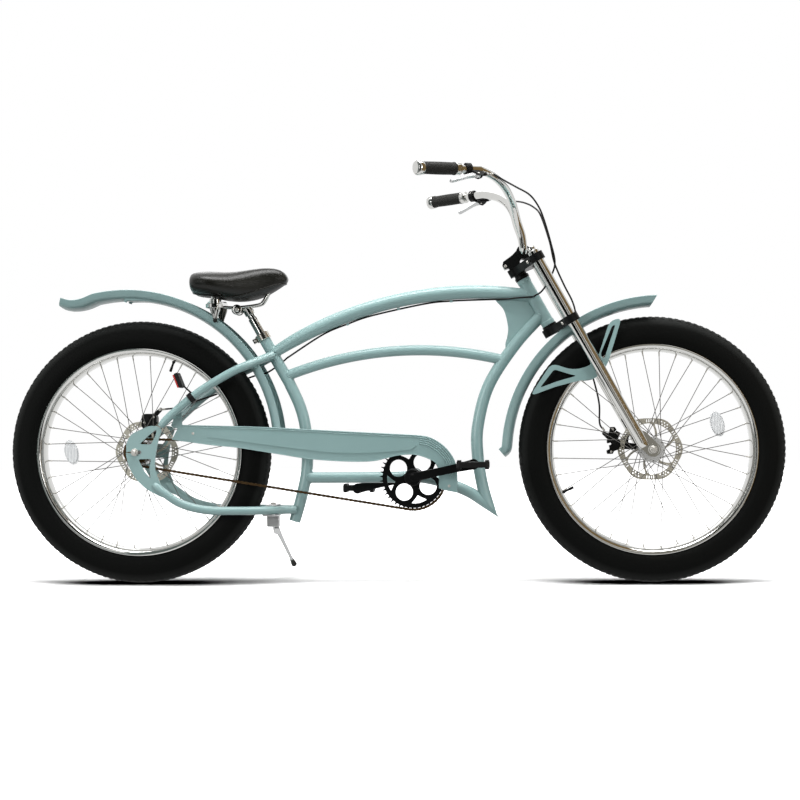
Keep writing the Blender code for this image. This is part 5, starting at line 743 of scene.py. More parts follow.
ring_tree = bpy.data.node_groups.new("ring_of_copies", "GeometryNodeTree")
for label, kind in (("Count", "Int"), ("Radius", "Float"), ("Start", "Float"), ("Side", "Float"),
                    ("Copy", "Object"), ("Finish", "Material")):
    ring_tree.interface.new_socket(label, in_out="INPUT", socket_type="NodeSocket" + kind)
ring_tree.interface.new_socket("Geometry", in_out="OUTPUT", socket_type="NodeSocketGeometry")
given = node(ring_tree, "NodeGroupInput").outputs
share = node(ring_tree, "ShaderNodeMath", {0: node(ring_tree, "GeometryNodeInputIndex").outputs[0],
                                           1: given["Count"]}, operation="DIVIDE")
angle = node(ring_tree, "ShaderNodeMath", {0: share.outputs[0], 1: 2 * pi, 2: given["Start"]},
             operation="MULTIPLY_ADD")
cosine = node(ring_tree, "ShaderNodeMath", {0: angle.outputs[0]}, operation="COSINE")
sine = node(ring_tree, "ShaderNodeMath", {0: angle.outputs[0]}, operation="SINE")
ahead_part = node(ring_tree, "ShaderNodeMath", {0: cosine.outputs[0], 1: given["Radius"]},
                  operation="MULTIPLY")
side_part = node(ring_tree, "ShaderNodeMath", {0: sine.outputs[0], 1: given["Radius"]}, operation="MULTIPLY")
spot = node(ring_tree, "ShaderNodeCombineXYZ",
            {0: ahead_part.outputs[0], 1: side_part.outputs[0], 2: given["Side"]})
spots = node(ring_tree, "GeometryNodePoints", {"Count": given["Count"], "Position": spot.outputs[0]})
source = node(ring_tree, "GeometryNodeObjectInfo", {"Object": given["Copy"]})
turn = node(ring_tree, "ShaderNodeCombineXYZ", {2: angle.outputs[0]})
copies = node(ring_tree, "GeometryNodeInstanceOnPoints", {
    "Points": spots.outputs[0], "Instance": source.outputs["Geometry"], "Rotation": turn.outputs[0]})
solid = node(ring_tree, "GeometryNodeRealizeInstances", {"Geometry": copies.outputs[0]})
coated = node(ring_tree, "GeometryNodeSetMaterial",
              {"Geometry": solid.outputs[0], "Material": given["Finish"]})
node(ring_tree, "NodeGroupOutput", {"Geometry": coated.outputs[0]})


def grow(tree, host, values):
    """Plain mesh of what a Geometry Nodes tree makes of a host mesh and the values of its inputs."""
    obj = bpy.data.objects.new("host", host)
    scene.collection.objects.link(obj)
    modifier = obj.modifiers.new("grow", "NODES")
    modifier.node_group = tree
    for item in tree.interface.items_tree:
        if item.name in values:
            modifier[item.identifier] = values[item.name]
    bpy.context.view_layer.update()
    mesh = bpy.data.meshes.new_from_object(obj.evaluated_get(bpy.context.evaluated_depsgraph_get()))
    modifier.node_group = None
    bpy.data.objects.remove(obj, do_unlink=True)
    return mesh


def ring_of(copy, count, radius, start, height, origin, axis, material):
    """Copies of a mesh evenly round an axis, each with its X outward."""
    source = bpy.data.objects.new("copy", copy)
    scene.collection.objects.link(source)
    mesh = grow(ring_tree, bpy.data.meshes.new("spots"), {
        "Count": count, "Radius": radius, "Start": start, "Side": height, "Copy": source, "Finish": material})
    bpy.data.objects.remove(source, do_unlink=True)
    mesh.transform(placing(origin, axis))
    return mesh


def chip(outline, low, high):
    """Small prism whose outline lies in Y and Z and whose thickness runs outward along X, for copying."""
    bm = bmesh.new()
    base = [bm.verts.new((low, y, z)) for y, z in outline]
    face = [bm.verts.new((high, y * 0.86, z * 0.94)) for y, z in outline]
    bm.faces.new(base)
    bm.faces.new(face[::-1])
    for k in range(len(base)):
        after = (k + 1) % len(base)
        bm.faces.new((base[k], base[after], face[after], face[k]))
    return mesh_from(bm, "chip", True)


tire_side = smooth_line([(0.2790, 0.0290, 0), (0.2868, 0.0352, 0), (0.3000, 0.0436, 0), (0.3150, 0.0460, 0),
                         (0.3320, 0.0440, 0), (0.3460, 0.0378, 0), (0.3560, 0.0285, 0), (0.3615, 0.0170, 0),
                         (0.3636, 0.0060, 0), (0.3640, 0, 0)], 5)
tire_profile = [(p.x, p.y) for p in tire_side] + [(p.x, -p.y) for p in tire_side[-2::-1]]
for end, centre in (("rear", REAR), ("front", FRONT)):
    shapes = [(lathe(tire_profile, centre, SIDEWAYS, 192, True), tire_rubber)]
    block = chip([(-0.0062, -0.0085), (0.0050, -0.0085), (0.0062, 0.0), (0.0050, 0.0085), (-0.0062, 0.0085),
                  (-0.0048, 0.0)], -0.002, 0.0008)
    shapes.append((ring_of(block, 128, 0.3637, 0.0, 0.0, centre, SIDEWAYS, tire_rubber), tire_rubber))
    for sign in (1, -1):
        wedge = chip([(-0.0060, -0.0040), (0.0, 0.0005), (0.0060, -0.0040), (0.0050, 0.0035), (0.0, 0.0065),
                      (-0.0050, 0.0035)], -0.0010, 0.0011)
        wedge.transform(Matrix.Rotation(radians(-sign * 26), 4, "Y"))
        shapes.append((ring_of(wedge, 96, 0.3580, 0.02, sign * 0.0250, centre, SIDEWAYS, tire_rubber),
                       tire_rubber))
    piece(end + "_tire_moulded", shapes, end + "_wheel", [end + "_tire"])

# Rims: rolled steel, chrome plated, 78 mm wide with rounded walls and a shallow bed, with
# a black rubber-covered tube valve.
chrome, tree, shader = new_finish("chrome_plate", "CFCFCC", 0.07, 1.0)
uneven(tree, shader, noise(tree, 38.0, 4.0), 0.035, 0.13)

# Black anodised alloy and cast parts: blasted matt before the anodising.
black_alloy, tree, shader = new_finish("black_anodised_alloy", "070808", 0.36)
shader.inputs["Specular IOR Level"].default_value = 0.16
blasted = noise(tree, 1200.0)
uneven(tree, shader, blasted, 0.26, 0.42)
embossed(tree, shader, blasted, 0.15, 0.0002)

rim_half = [(0.2872, 0.0372), (0.2876, 0.0386), (0.2864, 0.0390), (0.2820, 0.0376), (0.2770, 0.0338),
            (0.2728, 0.0278), (0.2700, 0.0205), (0.2684, 0.0110)]
bed_half = [(0.2700, 0.0110), (0.2716, 0.0205), (0.2744, 0.0278), (0.2788, 0.0332)]
rim_profile = rim_half + [(r, -h) for r, h in rim_half[::-1]] + [(r, -h) for r,
                                                                 h in bed_half[::-1]] + bed_half
for end, centre, valve_angle in (("rear", REAR, 70.0), ("front", FRONT, 205.8)):
    outward = Vector((cos(radians(valve_angle)), 0, sin(radians(valve_angle))))
    valve = [(0, 0.2685), (0.0048, 0.2685), (0.0048, 0.266), (0.0031, 0.262), (0.0031, 0.252),
             (0.0038, 0.251), (0.0038, 0.2385), (0.0031, 0.238), (0, 0.238)]
    shapes = [(lathe(rim_profile, centre, SIDEWAYS, 192, True), chrome),
              (lathe(valve, centre, outward, 20), black_alloy)]
    piece(end + "_rim_rolled", shapes, end + "_wheel", [end + "_rim"])

# Hubs and spokes: turned alloy hubs, 36 stainless spokes crossed three times with a bent
# head at the flange and a nickel nipple at the rim, and an oval clip-on reflector.
# Stainless spoke wire, drawn and a little dull.
spoke_steel, tree, shader = new_finish("stainless_spoke_wire", "6A6865", 0.34, 0.3)
shader.inputs["Specular IOR Level"].default_value = 0.2
uneven(tree, shader, noise(tree, 240.0), 0.16, 0.34)
# Turned hub alloy, polished.
hub_alloy, tree, shader = new_finish("polished_hub_alloy", "CFD0D0", 0.26, 0.6)
uneven(tree, shader, noise(tree, 500.0), 0.14, 0.30)
# Zinc-plated steel of nuts, bolts, nipples and ferrules.
plated_steel, tree, shader = new_finish("zinc_plated_steel", "C4C2BC", 0.34, 0.6)
uneven(tree, shader, noise(tree, 320.0), 0.20, 0.42)
# Clear acrylic lens with ribs moulded in its back.
clear_lens, tree, shader = new_finish("moulded_clear_lens", "DDDFE0", 0.18)
stripes = node(tree, "ShaderNodeTexWave", {"Vector": own_place(tree), "Scale": 75.0},
               bands_direction="X").outputs["Fac"]
tinted(tree, shader, stripes, "BCC0C3", "F4F5F5")
embossed(tree, shader, stripes, 0.6, 0.0006)
shader.inputs["Coat Weight"].default_value = 0.8

row_tree = bpy.data.node_groups.new("row_of_copies", "GeometryNodeTree")
for label, kind in (("Spots", "Geometry"), ("Copy", "Object"), ("Finish", "Material")):
    row_tree.interface.new_socket(label, in_out="INPUT", socket_type="NodeSocket" + kind)
row_tree.interface.new_socket("Geometry", in_out="OUTPUT", socket_type="NodeSocketGeometry")
given = node(row_tree, "NodeGroupInput").outputs
source = node(row_tree, "GeometryNodeObjectInfo", {"Object": given["Copy"]})
ahead_way, up_way, growth = (node(row_tree, "GeometryNodeInputNamedAttribute", {"Name": name},
                                  data_type="FLOAT_VECTOR").outputs[0] for name in ("ahead", "up", "grow"))
turn = node(row_tree, "FunctionNodeAxesToRotation", {0: ahead_way, 1: up_way}, primary_axis="X",
            secondary_axis="Z")
copies = node(row_tree, "GeometryNodeInstanceOnPoints", {
    "Points": given["Spots"], "Instance": source.outputs["Geometry"], "Rotation": turn.outputs[0],
    "Scale": growth})
solid = node(row_tree, "GeometryNodeRealizeInstances", {"Geometry": copies.outputs[0]})
coated = node(row_tree, "GeometryNodeSetMaterial",
              {"Geometry": solid.outputs[0], "Material": given["Finish"]})
node(row_tree, "NodeGroupOutput", {"Geometry": coated.outputs[0]})


def row_of(copy, spots, material):
    """Copies of a mesh, each given by its place, the ways its X and Z point, and its scale."""
    host = bpy.data.meshes.new("spots")
    host.from_pydata([tuple(spot[0]) for spot in spots], [], [])
    for column, name in enumerate(("ahead", "up", "grow"), 1):
        values = host.attributes.new(name, "FLOAT_VECTOR", "POINT")
        for spot, target in zip(spots, values.data):
            target.vector = spot[column]
    source = bpy.data.objects.new("copy", copy)
    scene.collection.objects.link(source)
    mesh = grow(row_tree, host, {"Copy": source, "Finish": material})
    bpy.data.objects.remove(source, do_unlink=True)
    return mesh


def chamfered(profile, size):
    """Profile with each corner between two long sides cut by a small chamfer."""
    result = []
    for before, here, after in zip(profile[-1:] + profile[:-1], profile, profile[1:] + profile[:1]):
        here_v, before_v, after_v = Vector(here), Vector(before), Vector(after)
        if min((here_v - before_v).length, (after_v - here_v).length) > 2.5 * size:
            result.append(tuple(here_v + (before_v - here_v).normalized() * size))
            result.append(tuple(here_v + (after_v - here_v).normalized() * size))
        else:
            result.append(here)
    return result


FLANGE_SPOKES, CROSSES = 18, 3
SPOKE_RADIUS, HEAD_CIRCLE, NIPPLE_SEAT = 0.0010, 0.032, 0.2685
for end, centre, left_end, left_flange, rotor_y, right_flange, right_steps, lens in (
        ("rear", REAR, 0.0945, 0.034, 0.075, -0.034,
         [(0.013, -0.0364), (0.013, -0.050), (0.015, -0.050), (0.015, -0.066), (0.010, -0.066),
          (0.010, -0.0945)],
         (0.1977, 180.0)),
        ("front", FRONT, 0.0655, 0.032, 0.052, -0.035,
         [(0.013, -0.0374), (0.010, -0.0535), (0.010, -0.0655)], (0.1924, 20.7))):
    profile = [(0.0053, left_end), (0.010, left_end), (0.010, rotor_y + 0.002), (0.0170, rotor_y + 0.002),
               (0.0170, rotor_y - 0.0013), (0.0225, rotor_y - 0.0013), (0.0225, left_flange + 0.0024),
               (0.035, left_flange + 0.0024), (0.035, left_flange - 0.0024), (0.0195, left_flange - 0.0060),
               (0.018, left_flange - 0.012), (0.018, right_flange + 0.012), (0.0195, right_flange + 0.0060),
               (0.035, right_flange + 0.0024), (0.035, right_flange - 0.0024)] + right_steps
    profile += [(0.0053, right_steps[-1][1])]
    shapes = [(lathe(chamfered(profile, 0.0005), centre, SIDEWAYS, 72, True), hub_alloy)]
    wires, ends, heads = [], [], []
    step = 2 * pi / FLANGE_SPOKES
    for flange, first, rim_y in ((left_flange, pi / 36, 0.006), (right_flange, pi / 36 + step / 2, -0.006)):
        for index in range(FLANGE_SPOKES):
            way = 1 if index % 2 else -1
            at_rim = first + step * index
            at_hub = at_rim + step * CROSSES * way
            inner = centre + Vector((HEAD_CIRCLE * cos(at_hub), flange + 0.00125 * way,
                                     HEAD_CIRCLE * sin(at_hub)))
            outer = centre + Vector((NIPPLE_SEAT * cos(at_rim), rim_y, NIPPLE_SEAT * sin(at_rim)))
            along = (outer - inner).normalized()
            wires.append((inner, along, SIDEWAYS,
                          (outer - inner).length * Vector((1, 0, 0)) + Vector((0, 1, 1))))
            ends.append((outer, -along, SIDEWAYS, (1, 1, 1)))
            heads.append((centre + Vector((HEAD_CIRCLE * cos(at_hub), flange + 0.0024 * way,
                                           HEAD_CIRCLE * sin(at_hub))),
                          SIDEWAYS * way, along, (1, 1, 1)))
    wire = lathe([(SPOKE_RADIUS, 1.0), (SPOKE_RADIUS, 0.0)], (0, 0, 0), Vector((1, 0, 0)), 8)
    nipple = lathe([(0, 0.0125), (0.0013, 0.0125), (0.0019, 0.0112), (0.0020, 0.001), (0.0026, 0), (0, 0)],
                   (0, 0, 0), Vector((1, 0, 0)), 10)
    head = lathe([(0, 0.0012), (0.0015, 0.0009), (0.0021, 0), (0, 0)], (0, 0, 0), Vector((1, 0, 0)), 8)
    shapes += [(row_of(wire, wires, spoke_steel), spoke_steel),
               (row_of(nipple, ends, plated_steel), plated_steel),
               (row_of(head, heads, spoke_steel), spoke_steel)]
    piece(end + "_hub_turned", shapes, end + "_wheel", [end + "_hub"])
    far, turned_to = lens[0], radians(lens[1])
    middle = centre + Vector((far * cos(turned_to), 0, far * sin(turned_to)))
    oval = [Vector((0.0195 * cos(2 * pi * k / 40) - 0.0060 * sin(2 * pi * k / 40),
                    0.0340 * sin(2 * pi * k / 40)))
            for k in range(40)]
    inner_oval = [0.86 * p for p in oval]
    lens_frame = upright(middle)
    piece(end + "_wheel_reflector", [
        (plate([oval], 0.0005, 0.0065, lens_frame), clear_lens),
        (plate([inner_oval], 0.0060, 0.0085, lens_frame), clear_lens),
        (plate([inner_oval], -0.0045, 0.0010, lens_frame), clear_lens)], end + "_wheel", (), 0.0008)

# Disc rotors: stamped from 2 mm stainless sheet, wavy on the outside, drilled and slotted
# in the band, on six thin curved arms, each held on its hub by six button-head bolts.
rotor_steel, tree, shader = new_finish("brushed_rotor_steel", "BDB9AB", 0.34, 0.55)
uneven(tree, shader, noise(tree, 700.0, 3.0), 0.22, 0.44)
wavy = [Vector(((0.0875 + 0.0025 * cos(6 * a)) * cos(a), (0.0875 + 0.0025 * cos(6 * a)) * sin(a)))
        for a in (2 * pi * k / 144 for k in range(144))]
rotor_edges = [wavy, arc((0, 0), 0.0172, 0, 355, 71)]
for arm in range(6):
    sides = ([], [])
    for k in range(13):
        t = k / 12
        radius = 0.0712 - 0.0440 * t
        widened = 0.0040 * max(0.0, 1 - t / 0.15) ** 2 + 0.0035 * max(0.0, (t - 0.82) / 0.18) ** 2
        width = (0.0033 + widened) / radius
        twist = 0.42 * (1 - t) ** 1.2
        for row_side, base in ((0, arm * pi / 3 + twist + width), (1, (arm + 1) * pi / 3 + twist - width)):
            sides[row_side].append((radius, base))
    first, last = sides[0][0][1], sides[1][0][1]
    crown = [(0.0712, first + (last - first) * k / 10) for k in range(1, 10)]
    foot_first, foot_last = sides[0][-1][1], sides[1][-1][1]
    foot = [(0.0272, foot_first + (foot_last - foot_first) * k / 4) for k in range(1, 4)]
    loop = sides[0] + foot + sides[1][::-1] + crown[::-1]
    rotor_edges.append([Vector((r * cos(a), r * sin(a))) for r, a in loop])
    lobe = arm * pi / 3
    for k, (r, offset) in enumerate(((0.0755, -0.155), (0.0822, -0.100), (0.0758, -0.045), (0.0826, 0.010),
                                     (0.0758, 0.065), (0.0822, 0.120))):
        hole = Vector((r * cos(lobe + offset), r * sin(lobe + offset)))
        rotor_edges.append(arc(hole, 0.0021, 0, 330, 11))
    for offset in (0.400, 0.480, 0.560, 0.640):
        a = lobe + offset
        out, beside = Vector((cos(a), sin(a))), Vector((-sin(a), cos(a)))
        rotor_edges.append([0.0785 * out + x * out + y * beside for x, y in softened(
            [(-0.0042, -0.0013), (0.0042, -0.0013), (0.0042, 0.0013), (-0.0042, 0.0013)], 0.0012, 3)])
for end, centre, y in (("rear", REAR, 0.075), ("front", FRONT, 0.052)):
    bolt = lathe([(0, 0.0024), (0.0024, 0.0024), (0.0036, 0.0012), (0.0038, 0), (0, 0)], (0, 0, 0),
                 Vector((0, 0, 1)), 16)
    piece(end + "_rotor_stamped", [
        (across(rotor_edges, y - 0.001, y + 0.001, centre), rotor_steel),
        (ring_of(bolt, 6, 0.0222, 0.2, y + 0.001, centre, SIDEWAYS, plated_steel), plated_steel)],
        end + "_wheel", [end + "_rotor"])

# Axles: threaded steel with a washer and a domed hexagon nut outside each frame plate.
for end, centre, plate_out in (("rear", REAR, 0.101), ("front", FRONT, 0.074)):
    tip = plate_out + (0.014 if end == "rear" else 0.012)
    shapes = [(rod(centre - tip * SIDEWAYS, centre + tip * SIDEWAYS, 0.005, 32, 0.001), plated_steel)]
    for side, sign in SIDES:
        face = centre + sign * plate_out * SIDEWAYS
        way = sign * SIDEWAYS
        shapes.append((lathe([(0, 0.0022), (0.0100, 0.0022), (0.0104, 0.0018), (0.0104, 0.0003), (0, 0.0003)],
                             face, way, 40), plated_steel))
        shapes.append((lathe([(0, 0.0088), (0.0070, 0.0088), (0.0094, 0.0074), (0.0095, 0.0022), (0, 0.0022)],
                             face, way, 6), plated_steel))
        for k in range(3):
            shapes.append((rod(face + way * (0.0095 + 0.0013 * k), face + way * (0.0101 + 0.0013 * k),
                               0.00515, 24),
                           plated_steel))
    piece(end + "_axle_and_nuts", shapes, "frame" if end == "rear" else "steering", [end + "_axle"],
          0, 32)

# Chain: half-inch roller chain in oiled brown steel, inner and outer links in turn on
# hard pins, closed round the two sprockets under a slight pull.
brown_steel, tree, shader = new_finish("oiled_brown_chain_steel", "6A4B28", 0.36, 0.75)
oil = noise(tree, 160.0, 3.0)
tinted(tree, shader, oil, "2C2116", "5E4728")
uneven(tree, shader, oil, 0.26, 0.50)

PITCH, CHAIN_Y = 0.0127, -0.060
RING_TEETH, COG_TEETH = 44, 18
RING_PATH, COG_PATH = RING_TEETH * PITCH / (2 * pi), COG_TEETH * PITCH / (2 * pi)
REACH = (CRANK - REAR).length
LEAN = atan2(RING_PATH - COG_PATH, sqrt(REACH ** 2 - (RING_PATH - COG_PATH) ** 2))
STRAIGHT = sqrt(REACH ** 2 - (RING_PATH - COG_PATH) ** 2)
LINKS = round((2 * STRAIGHT + RING_PATH * (pi + 2 * LEAN) + COG_PATH * (pi - 2 * LEAN)) / PITCH)


def chain_path(distance):
    """Point and outward direction at a distance along the chain, from the top of the front ring."""
    along = (CRANK - REAR).normalized()
    up = Vector((-along.z, 0, along.x))
    distance %= LINKS * PITCH

    def out(angle):
        return cos(angle) * along + sin(angle) * up

    ring_arc, cog_arc = RING_PATH * (pi + 2 * LEAN), COG_PATH * (pi - 2 * LEAN)
    upper, lower = pi / 2 + LEAN, -pi / 2 - LEAN
    if distance < ring_arc:
        way = out(upper - distance / RING_PATH)
        return CRANK + RING_PATH * way, way
    distance -= ring_arc
    if distance < STRAIGHT:
        way = out(lower)
        return (CRANK + RING_PATH * way).lerp(REAR + COG_PATH * way, distance / STRAIGHT), way
    distance -= STRAIGHT
    if distance < cog_arc:
        way = out(lower - distance / COG_PATH)
        return REAR + COG_PATH * way, way
    way = out(upper)
    return (REAR + COG_PATH * way).lerp(CRANK + RING_PATH * way, (distance - cog_arc) / STRAIGHT), way


def merged(shapes):
    """One mesh from several."""
    bm = bmesh.new()
    for shape in shapes:
        bm.from_mesh(shape)
        bpy.data.meshes.remove(shape)
    return mesh_from(bm, "merged")


ORIGIN = Vector((0, 0, 0))
LINK_END, LINK_WAIST = 0.0039, 0.0026
link_edge = arc((PITCH / 2, 0), LINK_END, -115, 115, 5) + [Vector((0, LINK_WAIST))]
link_edge += arc((-PITCH / 2, 0), LINK_END, 65, 295, 5) + [Vector((0, -LINK_WAIST))]
outer_link = merged([across([link_edge], 0.0030, 0.0040, ORIGIN),
                     across([link_edge], -0.0040, -0.0030, ORIGIN)]
                    + [rod((x, -0.0043, 0), (x, 0.0043, 0), 0.0018, 8) for x in (-PITCH / 2, PITCH / 2)])
inner_link = merged([across([link_edge], 0.0018, 0.0028, ORIGIN),
                     across([link_edge], -0.0028, -0.0018, ORIGIN)]
                    + [rod((x, -0.0018, 0), (x, 0.0018, 0), 0.0037, 10) for x in (-PITCH / 2, PITCH / 2)])
link_spots = ([], [])
for number in range(LINKS):
    start, start_out = chain_path((number + 0.5) * PITCH)
    end, end_out = chain_path((number + 1.5) * PITCH)
    link_spots[number % 2].append(((start + end) / 2 + CHAIN_Y * SIDEWAYS, (end - start).normalized(),
                                   (start_out + end_out).normalized(), (1, 1, 1)))
piece("roller_chain", [(row_of(outer_link, link_spots[0], brown_steel), brown_steel),
                       (row_of(inner_link, link_spots[1], brown_steel), brown_steel)], "frame", ["chain"])


# Sprockets: a stamped 44-tooth ring in black with four round holes and four windows, and
# an 18-tooth cog of brown hardened steel screwed on the freewheel.
def toothed(teeth, path_radius, first):
    """Sprocket outline with hollow roots and rounded tips, from the angle of one tooth."""
    root = (path_radius - 0.004) * cos(pi / teeth) - 0.0003
    tip = path_radius + 0.0041
    outline = []
    for tooth in range(teeth):
        for radius, side in ((root, -1.0), (root + 0.0030, -0.66), (tip - 0.0008, -0.26), (tip, 0.0),
                             (tip - 0.0008, 0.26), (root + 0.0030, 0.66), (root, 1.0)):
            angle = first + 2 * pi * tooth / teeth + side * 0.0028 / radius
            outline.append(Vector((radius * cos(angle), radius * sin(angle))))
    return outline


def tooth_phase(centre, distance):
    """Angle of the tooth midway between two pins that lie near a distance along the chain."""
    offset = chain_path(round(distance / PITCH) * PITCH)[0] - centre
    return atan2(offset.z, offset.x)


ring_holes = []
for quarter in range(4):
    turn = radians(58.5 + 90 * quarter)
    ring_holes.append(arc((0.0475 * cos(turn), 0.0475 * sin(turn)), 0.0235, 0, 352, 44))
    middle = turn + pi / 4
    window = [(0.0715, -0.31), (0.0720, -0.15), (0.0722, 0.0), (0.0720, 0.15), (0.0715, 0.31), (0.0570, 0.11),
              (0.0500, 0.0), (0.0570, -0.11)]
    ring_holes.append(softened([(r * cos(middle + a), r * sin(middle + a)) for r, a in window], 0.0030))
ring_edge = toothed(RING_TEETH, RING_PATH, tooth_phase(CRANK, RING_PATH * pi / 2))
piece("chainring_stamped", [
    (across([ring_edge] + ring_holes, CHAIN_Y - 0.0011, CHAIN_Y + 0.0011, CRANK), black_alloy),
    (lathe(chamfered([(0.0088, 0.0757), (0.022, 0.0757), (0.024, 0.0735), (0.024, 0.0596), (0.0088, 0.0596)],
                     0.0006),
           CRANK, -SIDEWAYS, 64, True), black_alloy)], "crank", ["chainring"], 0.0003)
cog_edge = toothed(COG_TEETH, COG_PATH, tooth_phase(REAR, LINKS * PITCH - STRAIGHT - COG_PATH * pi / 2))
piece("rear_cog_cut", [
    (across([cog_edge, arc((0, 0), 0.0155, 0, 350, 35)], CHAIN_Y - 0.0011, CHAIN_Y + 0.0011, REAR),
     brown_steel),
    (lathe(chamfered([(0.0155, 0.064), (0.0215, 0.064), (0.0230, 0.0625), (0.0230, 0.054), (0.0155, 0.054)],
                     0.0005),
           REAR, -SIDEWAYS, 48, True), brown_steel)], "cog", ["rear_cog"], 0.0002)

# Cranks: black forged arms on a through spindle, splayed out to the pedals, with a bright
# bolt in the middle of each; resin block pedals with amber reflectors at both ends.
crank_shapes = [(rod(CRANK - 0.094 * SIDEWAYS, CRANK + 0.094 * SIDEWAYS, 0.0084, 40, 0.0006), black_alloy)]
ARM_LENGTH, CRANK_TURN = 0.170, radians(12)
arm_edge = arc((0, 0), 0.021, 35, 325, 28)
arm_edge += flat([(0.034, -0.0122), (0.06, -0.0112), (0.09, -0.0108), (0.12, -0.0112)])
arm_edge += arc((ARM_LENGTH, 0), 0.0145, -110, 110, 22)
arm_edge += flat([(0.12, 0.0112), (0.09, 0.0108), (0.06, 0.0112), (0.034, 0.0122)])


def arm_turn(sign):
    return CRANK_TURN + (pi if sign > 0 else 0)


def pedal_spot(sign):
    turn = arm_turn(sign)
    return CRANK + Vector((ARM_LENGTH * cos(turn), 0, ARM_LENGTH * sin(turn)))


for side, sign in SIDES:
    turn = arm_turn(sign)
    low, high = (0.076, 0.092) if sign < 0 else (-0.092, -0.076)
    arm = plate([arm_edge], low, high, Matrix.Identity(4))
    for vertex in arm.vertices:
        share = min(max((vertex.co.x - 0.022) / 0.126, 0.0), 1.0)
        vertex.co.z -= sign * 0.014 * share
    arm.transform(Matrix.Translation(CRANK) @ Matrix.Rotation(-turn, 4, "Y") @ Matrix.Rotation(pi / 2, 4,
                                                                                               "X"))
    crank_shapes.append((arm, black_alloy))
    hub_face = CRANK + sign * 0.0918 * SIDEWAYS
    crank_shapes.append((lathe([(0, 0.0021), (0.0052, 0.0021), (0.0066, 0.0012), (0.0066, 0), (0, 0)],
                               hub_face,
                               sign * SIDEWAYS, 32), plated_steel))
    middle = pedal_spot(sign)
    crank_shapes.append((rod(middle + sign * 0.094 * SIDEWAYS, middle + sign * 0.188 * SIDEWAYS, 0.0049, 24,
                             0.0006),
                         plated_steel))
piece("crankset_forged", crank_shapes, "crank", ["crankset"], 0.0012)

# Amber acrylic lens, moulded in small cells.
amber_lens, tree, shader = new_finish("amber_reflector_lens", "D98A1E", 0.16)
cells = node(tree, "ShaderNodeTexVoronoi", {"Vector": own_place(tree), "Scale": 420.0})
embossed(tree, shader, cells.outputs["Distance"], 0.7, 0.0005)
shader.inputs["Coat Weight"].default_value = 0.7
# Black moulded resin with a sparked surface.
pedal_resin, tree, shader = new_finish("black_pedal_resin", "0D0D0D", 0.5)
shader.inputs["Specular IOR Level"].default_value = 0.2
embossed(tree, shader, noise(tree, 1400.0), 0.3, 0.0003)


def block_of(size, place, turn=None):
    """Rectangular block by its middle."""
    bm = bmesh.new()
    bmesh.ops.create_cube(bm, size=1.0)
    bmesh.ops.scale(bm, vec=Vector(size), verts=bm.verts)
    bm.transform(Matrix.Translation(place) @ (turn if turn is not None else Matrix.Identity(4)))
    return mesh_from(bm, "block")


for side, sign in SIDES:
    middle = pedal_spot(sign) + sign * 0.151 * SIDEWAYS
    shapes = []
    edge = softened([(0.044, -0.039), (0.044, 0.039), (-0.044, 0.039), (-0.044, -0.039)], 0.009)
    holes = [softened([(end * 0.013, -0.029), (end * 0.033, -0.029), (end * 0.033, 0.029),
                       (end * 0.013, 0.029)], 0.004)
             for end in (1, -1)]
    shapes.append((plate([edge] + holes, -0.0075, 0.0075, Matrix.Translation(middle)), pedal_resin))
    for end in (1, -1):
        for level in (1, -1):
            shapes.append((block_of((0.010, 0.074, 0.0045),
                                    middle + Vector((end * 0.0375, 0, level * 0.0095))),
                           pedal_resin))
        shapes.append((block_of((0.0018, 0.040, 0.011), middle + Vector((end * 0.0430, 0, 0))), amber_lens))
        for rib in range(9):
            shapes.append((block_of((0.0100, 0.0036, 0.0006),
                                    middle + Vector((end * 0.0375, -0.032 + 0.008 * rib,
                                                     0.0117))), pedal_resin))
    barrel = lathe(chamfered([(0.0054, 0.0388), (0.0085, 0.0388), (0.0085, -0.0388), (0.0054, -0.0388)],
                             0.0006),
                   middle, SIDEWAYS, 32, True)
    shapes.append((barrel, pedal_resin))
    piece("pedal_block_" + side, shapes, side + "_pedal", ["pedal_" + side], 0.0008)


# Chain guard: one sheet of steel pressed with a long raised panel and ribs, its upper
# edge folded in over the chain, on a tab at the dropout and a small bracket in front.
def beside_chain(share, up):
    """Point at a share of the way from the rear axle to the crank, and a height above that line."""
    middle = REAR.lerp(CRANK, share)
    return Vector((middle.x, middle.z + up))


def beside_crank(points):
    return [Vector((CRANK.x + x, CRANK.z + z)) for x, z in points]


def grown(outline, distance):
    """Outline moved outward by a distance on every side."""
    ring = list(zip(outline[-1:] + outline[:-1], outline, outline[1:] + outline[:1]))
    area = sum(here.x * after.y - after.x * here.y for before, here, after in ring)
    sign = 1 if area > 0 else -1
    result = []
    for before, here, after in ring:
        first, second = (here - before).normalized(), (after - here).normalized()
        first, second = Vector((first.y, -first.x)), Vector((second.y, -second.x))
        result.append(here + (first + second) * (sign * distance / max(0.25, 1 + first.dot(second))))
    return result


guard_upper = [beside_chain(*p) for p in ((0.156, 0.0863), (0.4548, 0.1010), (0.7235, 0.1085),
                                          (0.9292, 0.1144))]
guard_upper += beside_crank([(0.021, 0.1145), (0.055, 0.1055), (0.089, 0.0815), (0.113, 0.0475),
                             (0.121, 0.0105), (0.121, -0.0425)])
guard_lower = [beside_chain(*p) for p in ((0.1284, 0.0433), (0.2739, 0.0379), (0.3643, 0.0374),
                                          (0.5256, 0.0291),
                                          (0.6330, 0.0239), (0.7680, 0.0267), (0.8571, 0.0341),
                                          (0.9109, 0.0470))]
guard_lower += beside_crank([(-0.040, 0.0595), (0.004, 0.0615), (0.041, 0.0505), (0.062, 0.0375),
                             (0.071, 0.012), (0.070, -0.0305), (0.095, -0.0375)])
upper_edge = smooth_flat(guard_upper, 8)
lower_edge = smooth_flat(guard_lower[:-1], 6) + guard_lower[-1:]
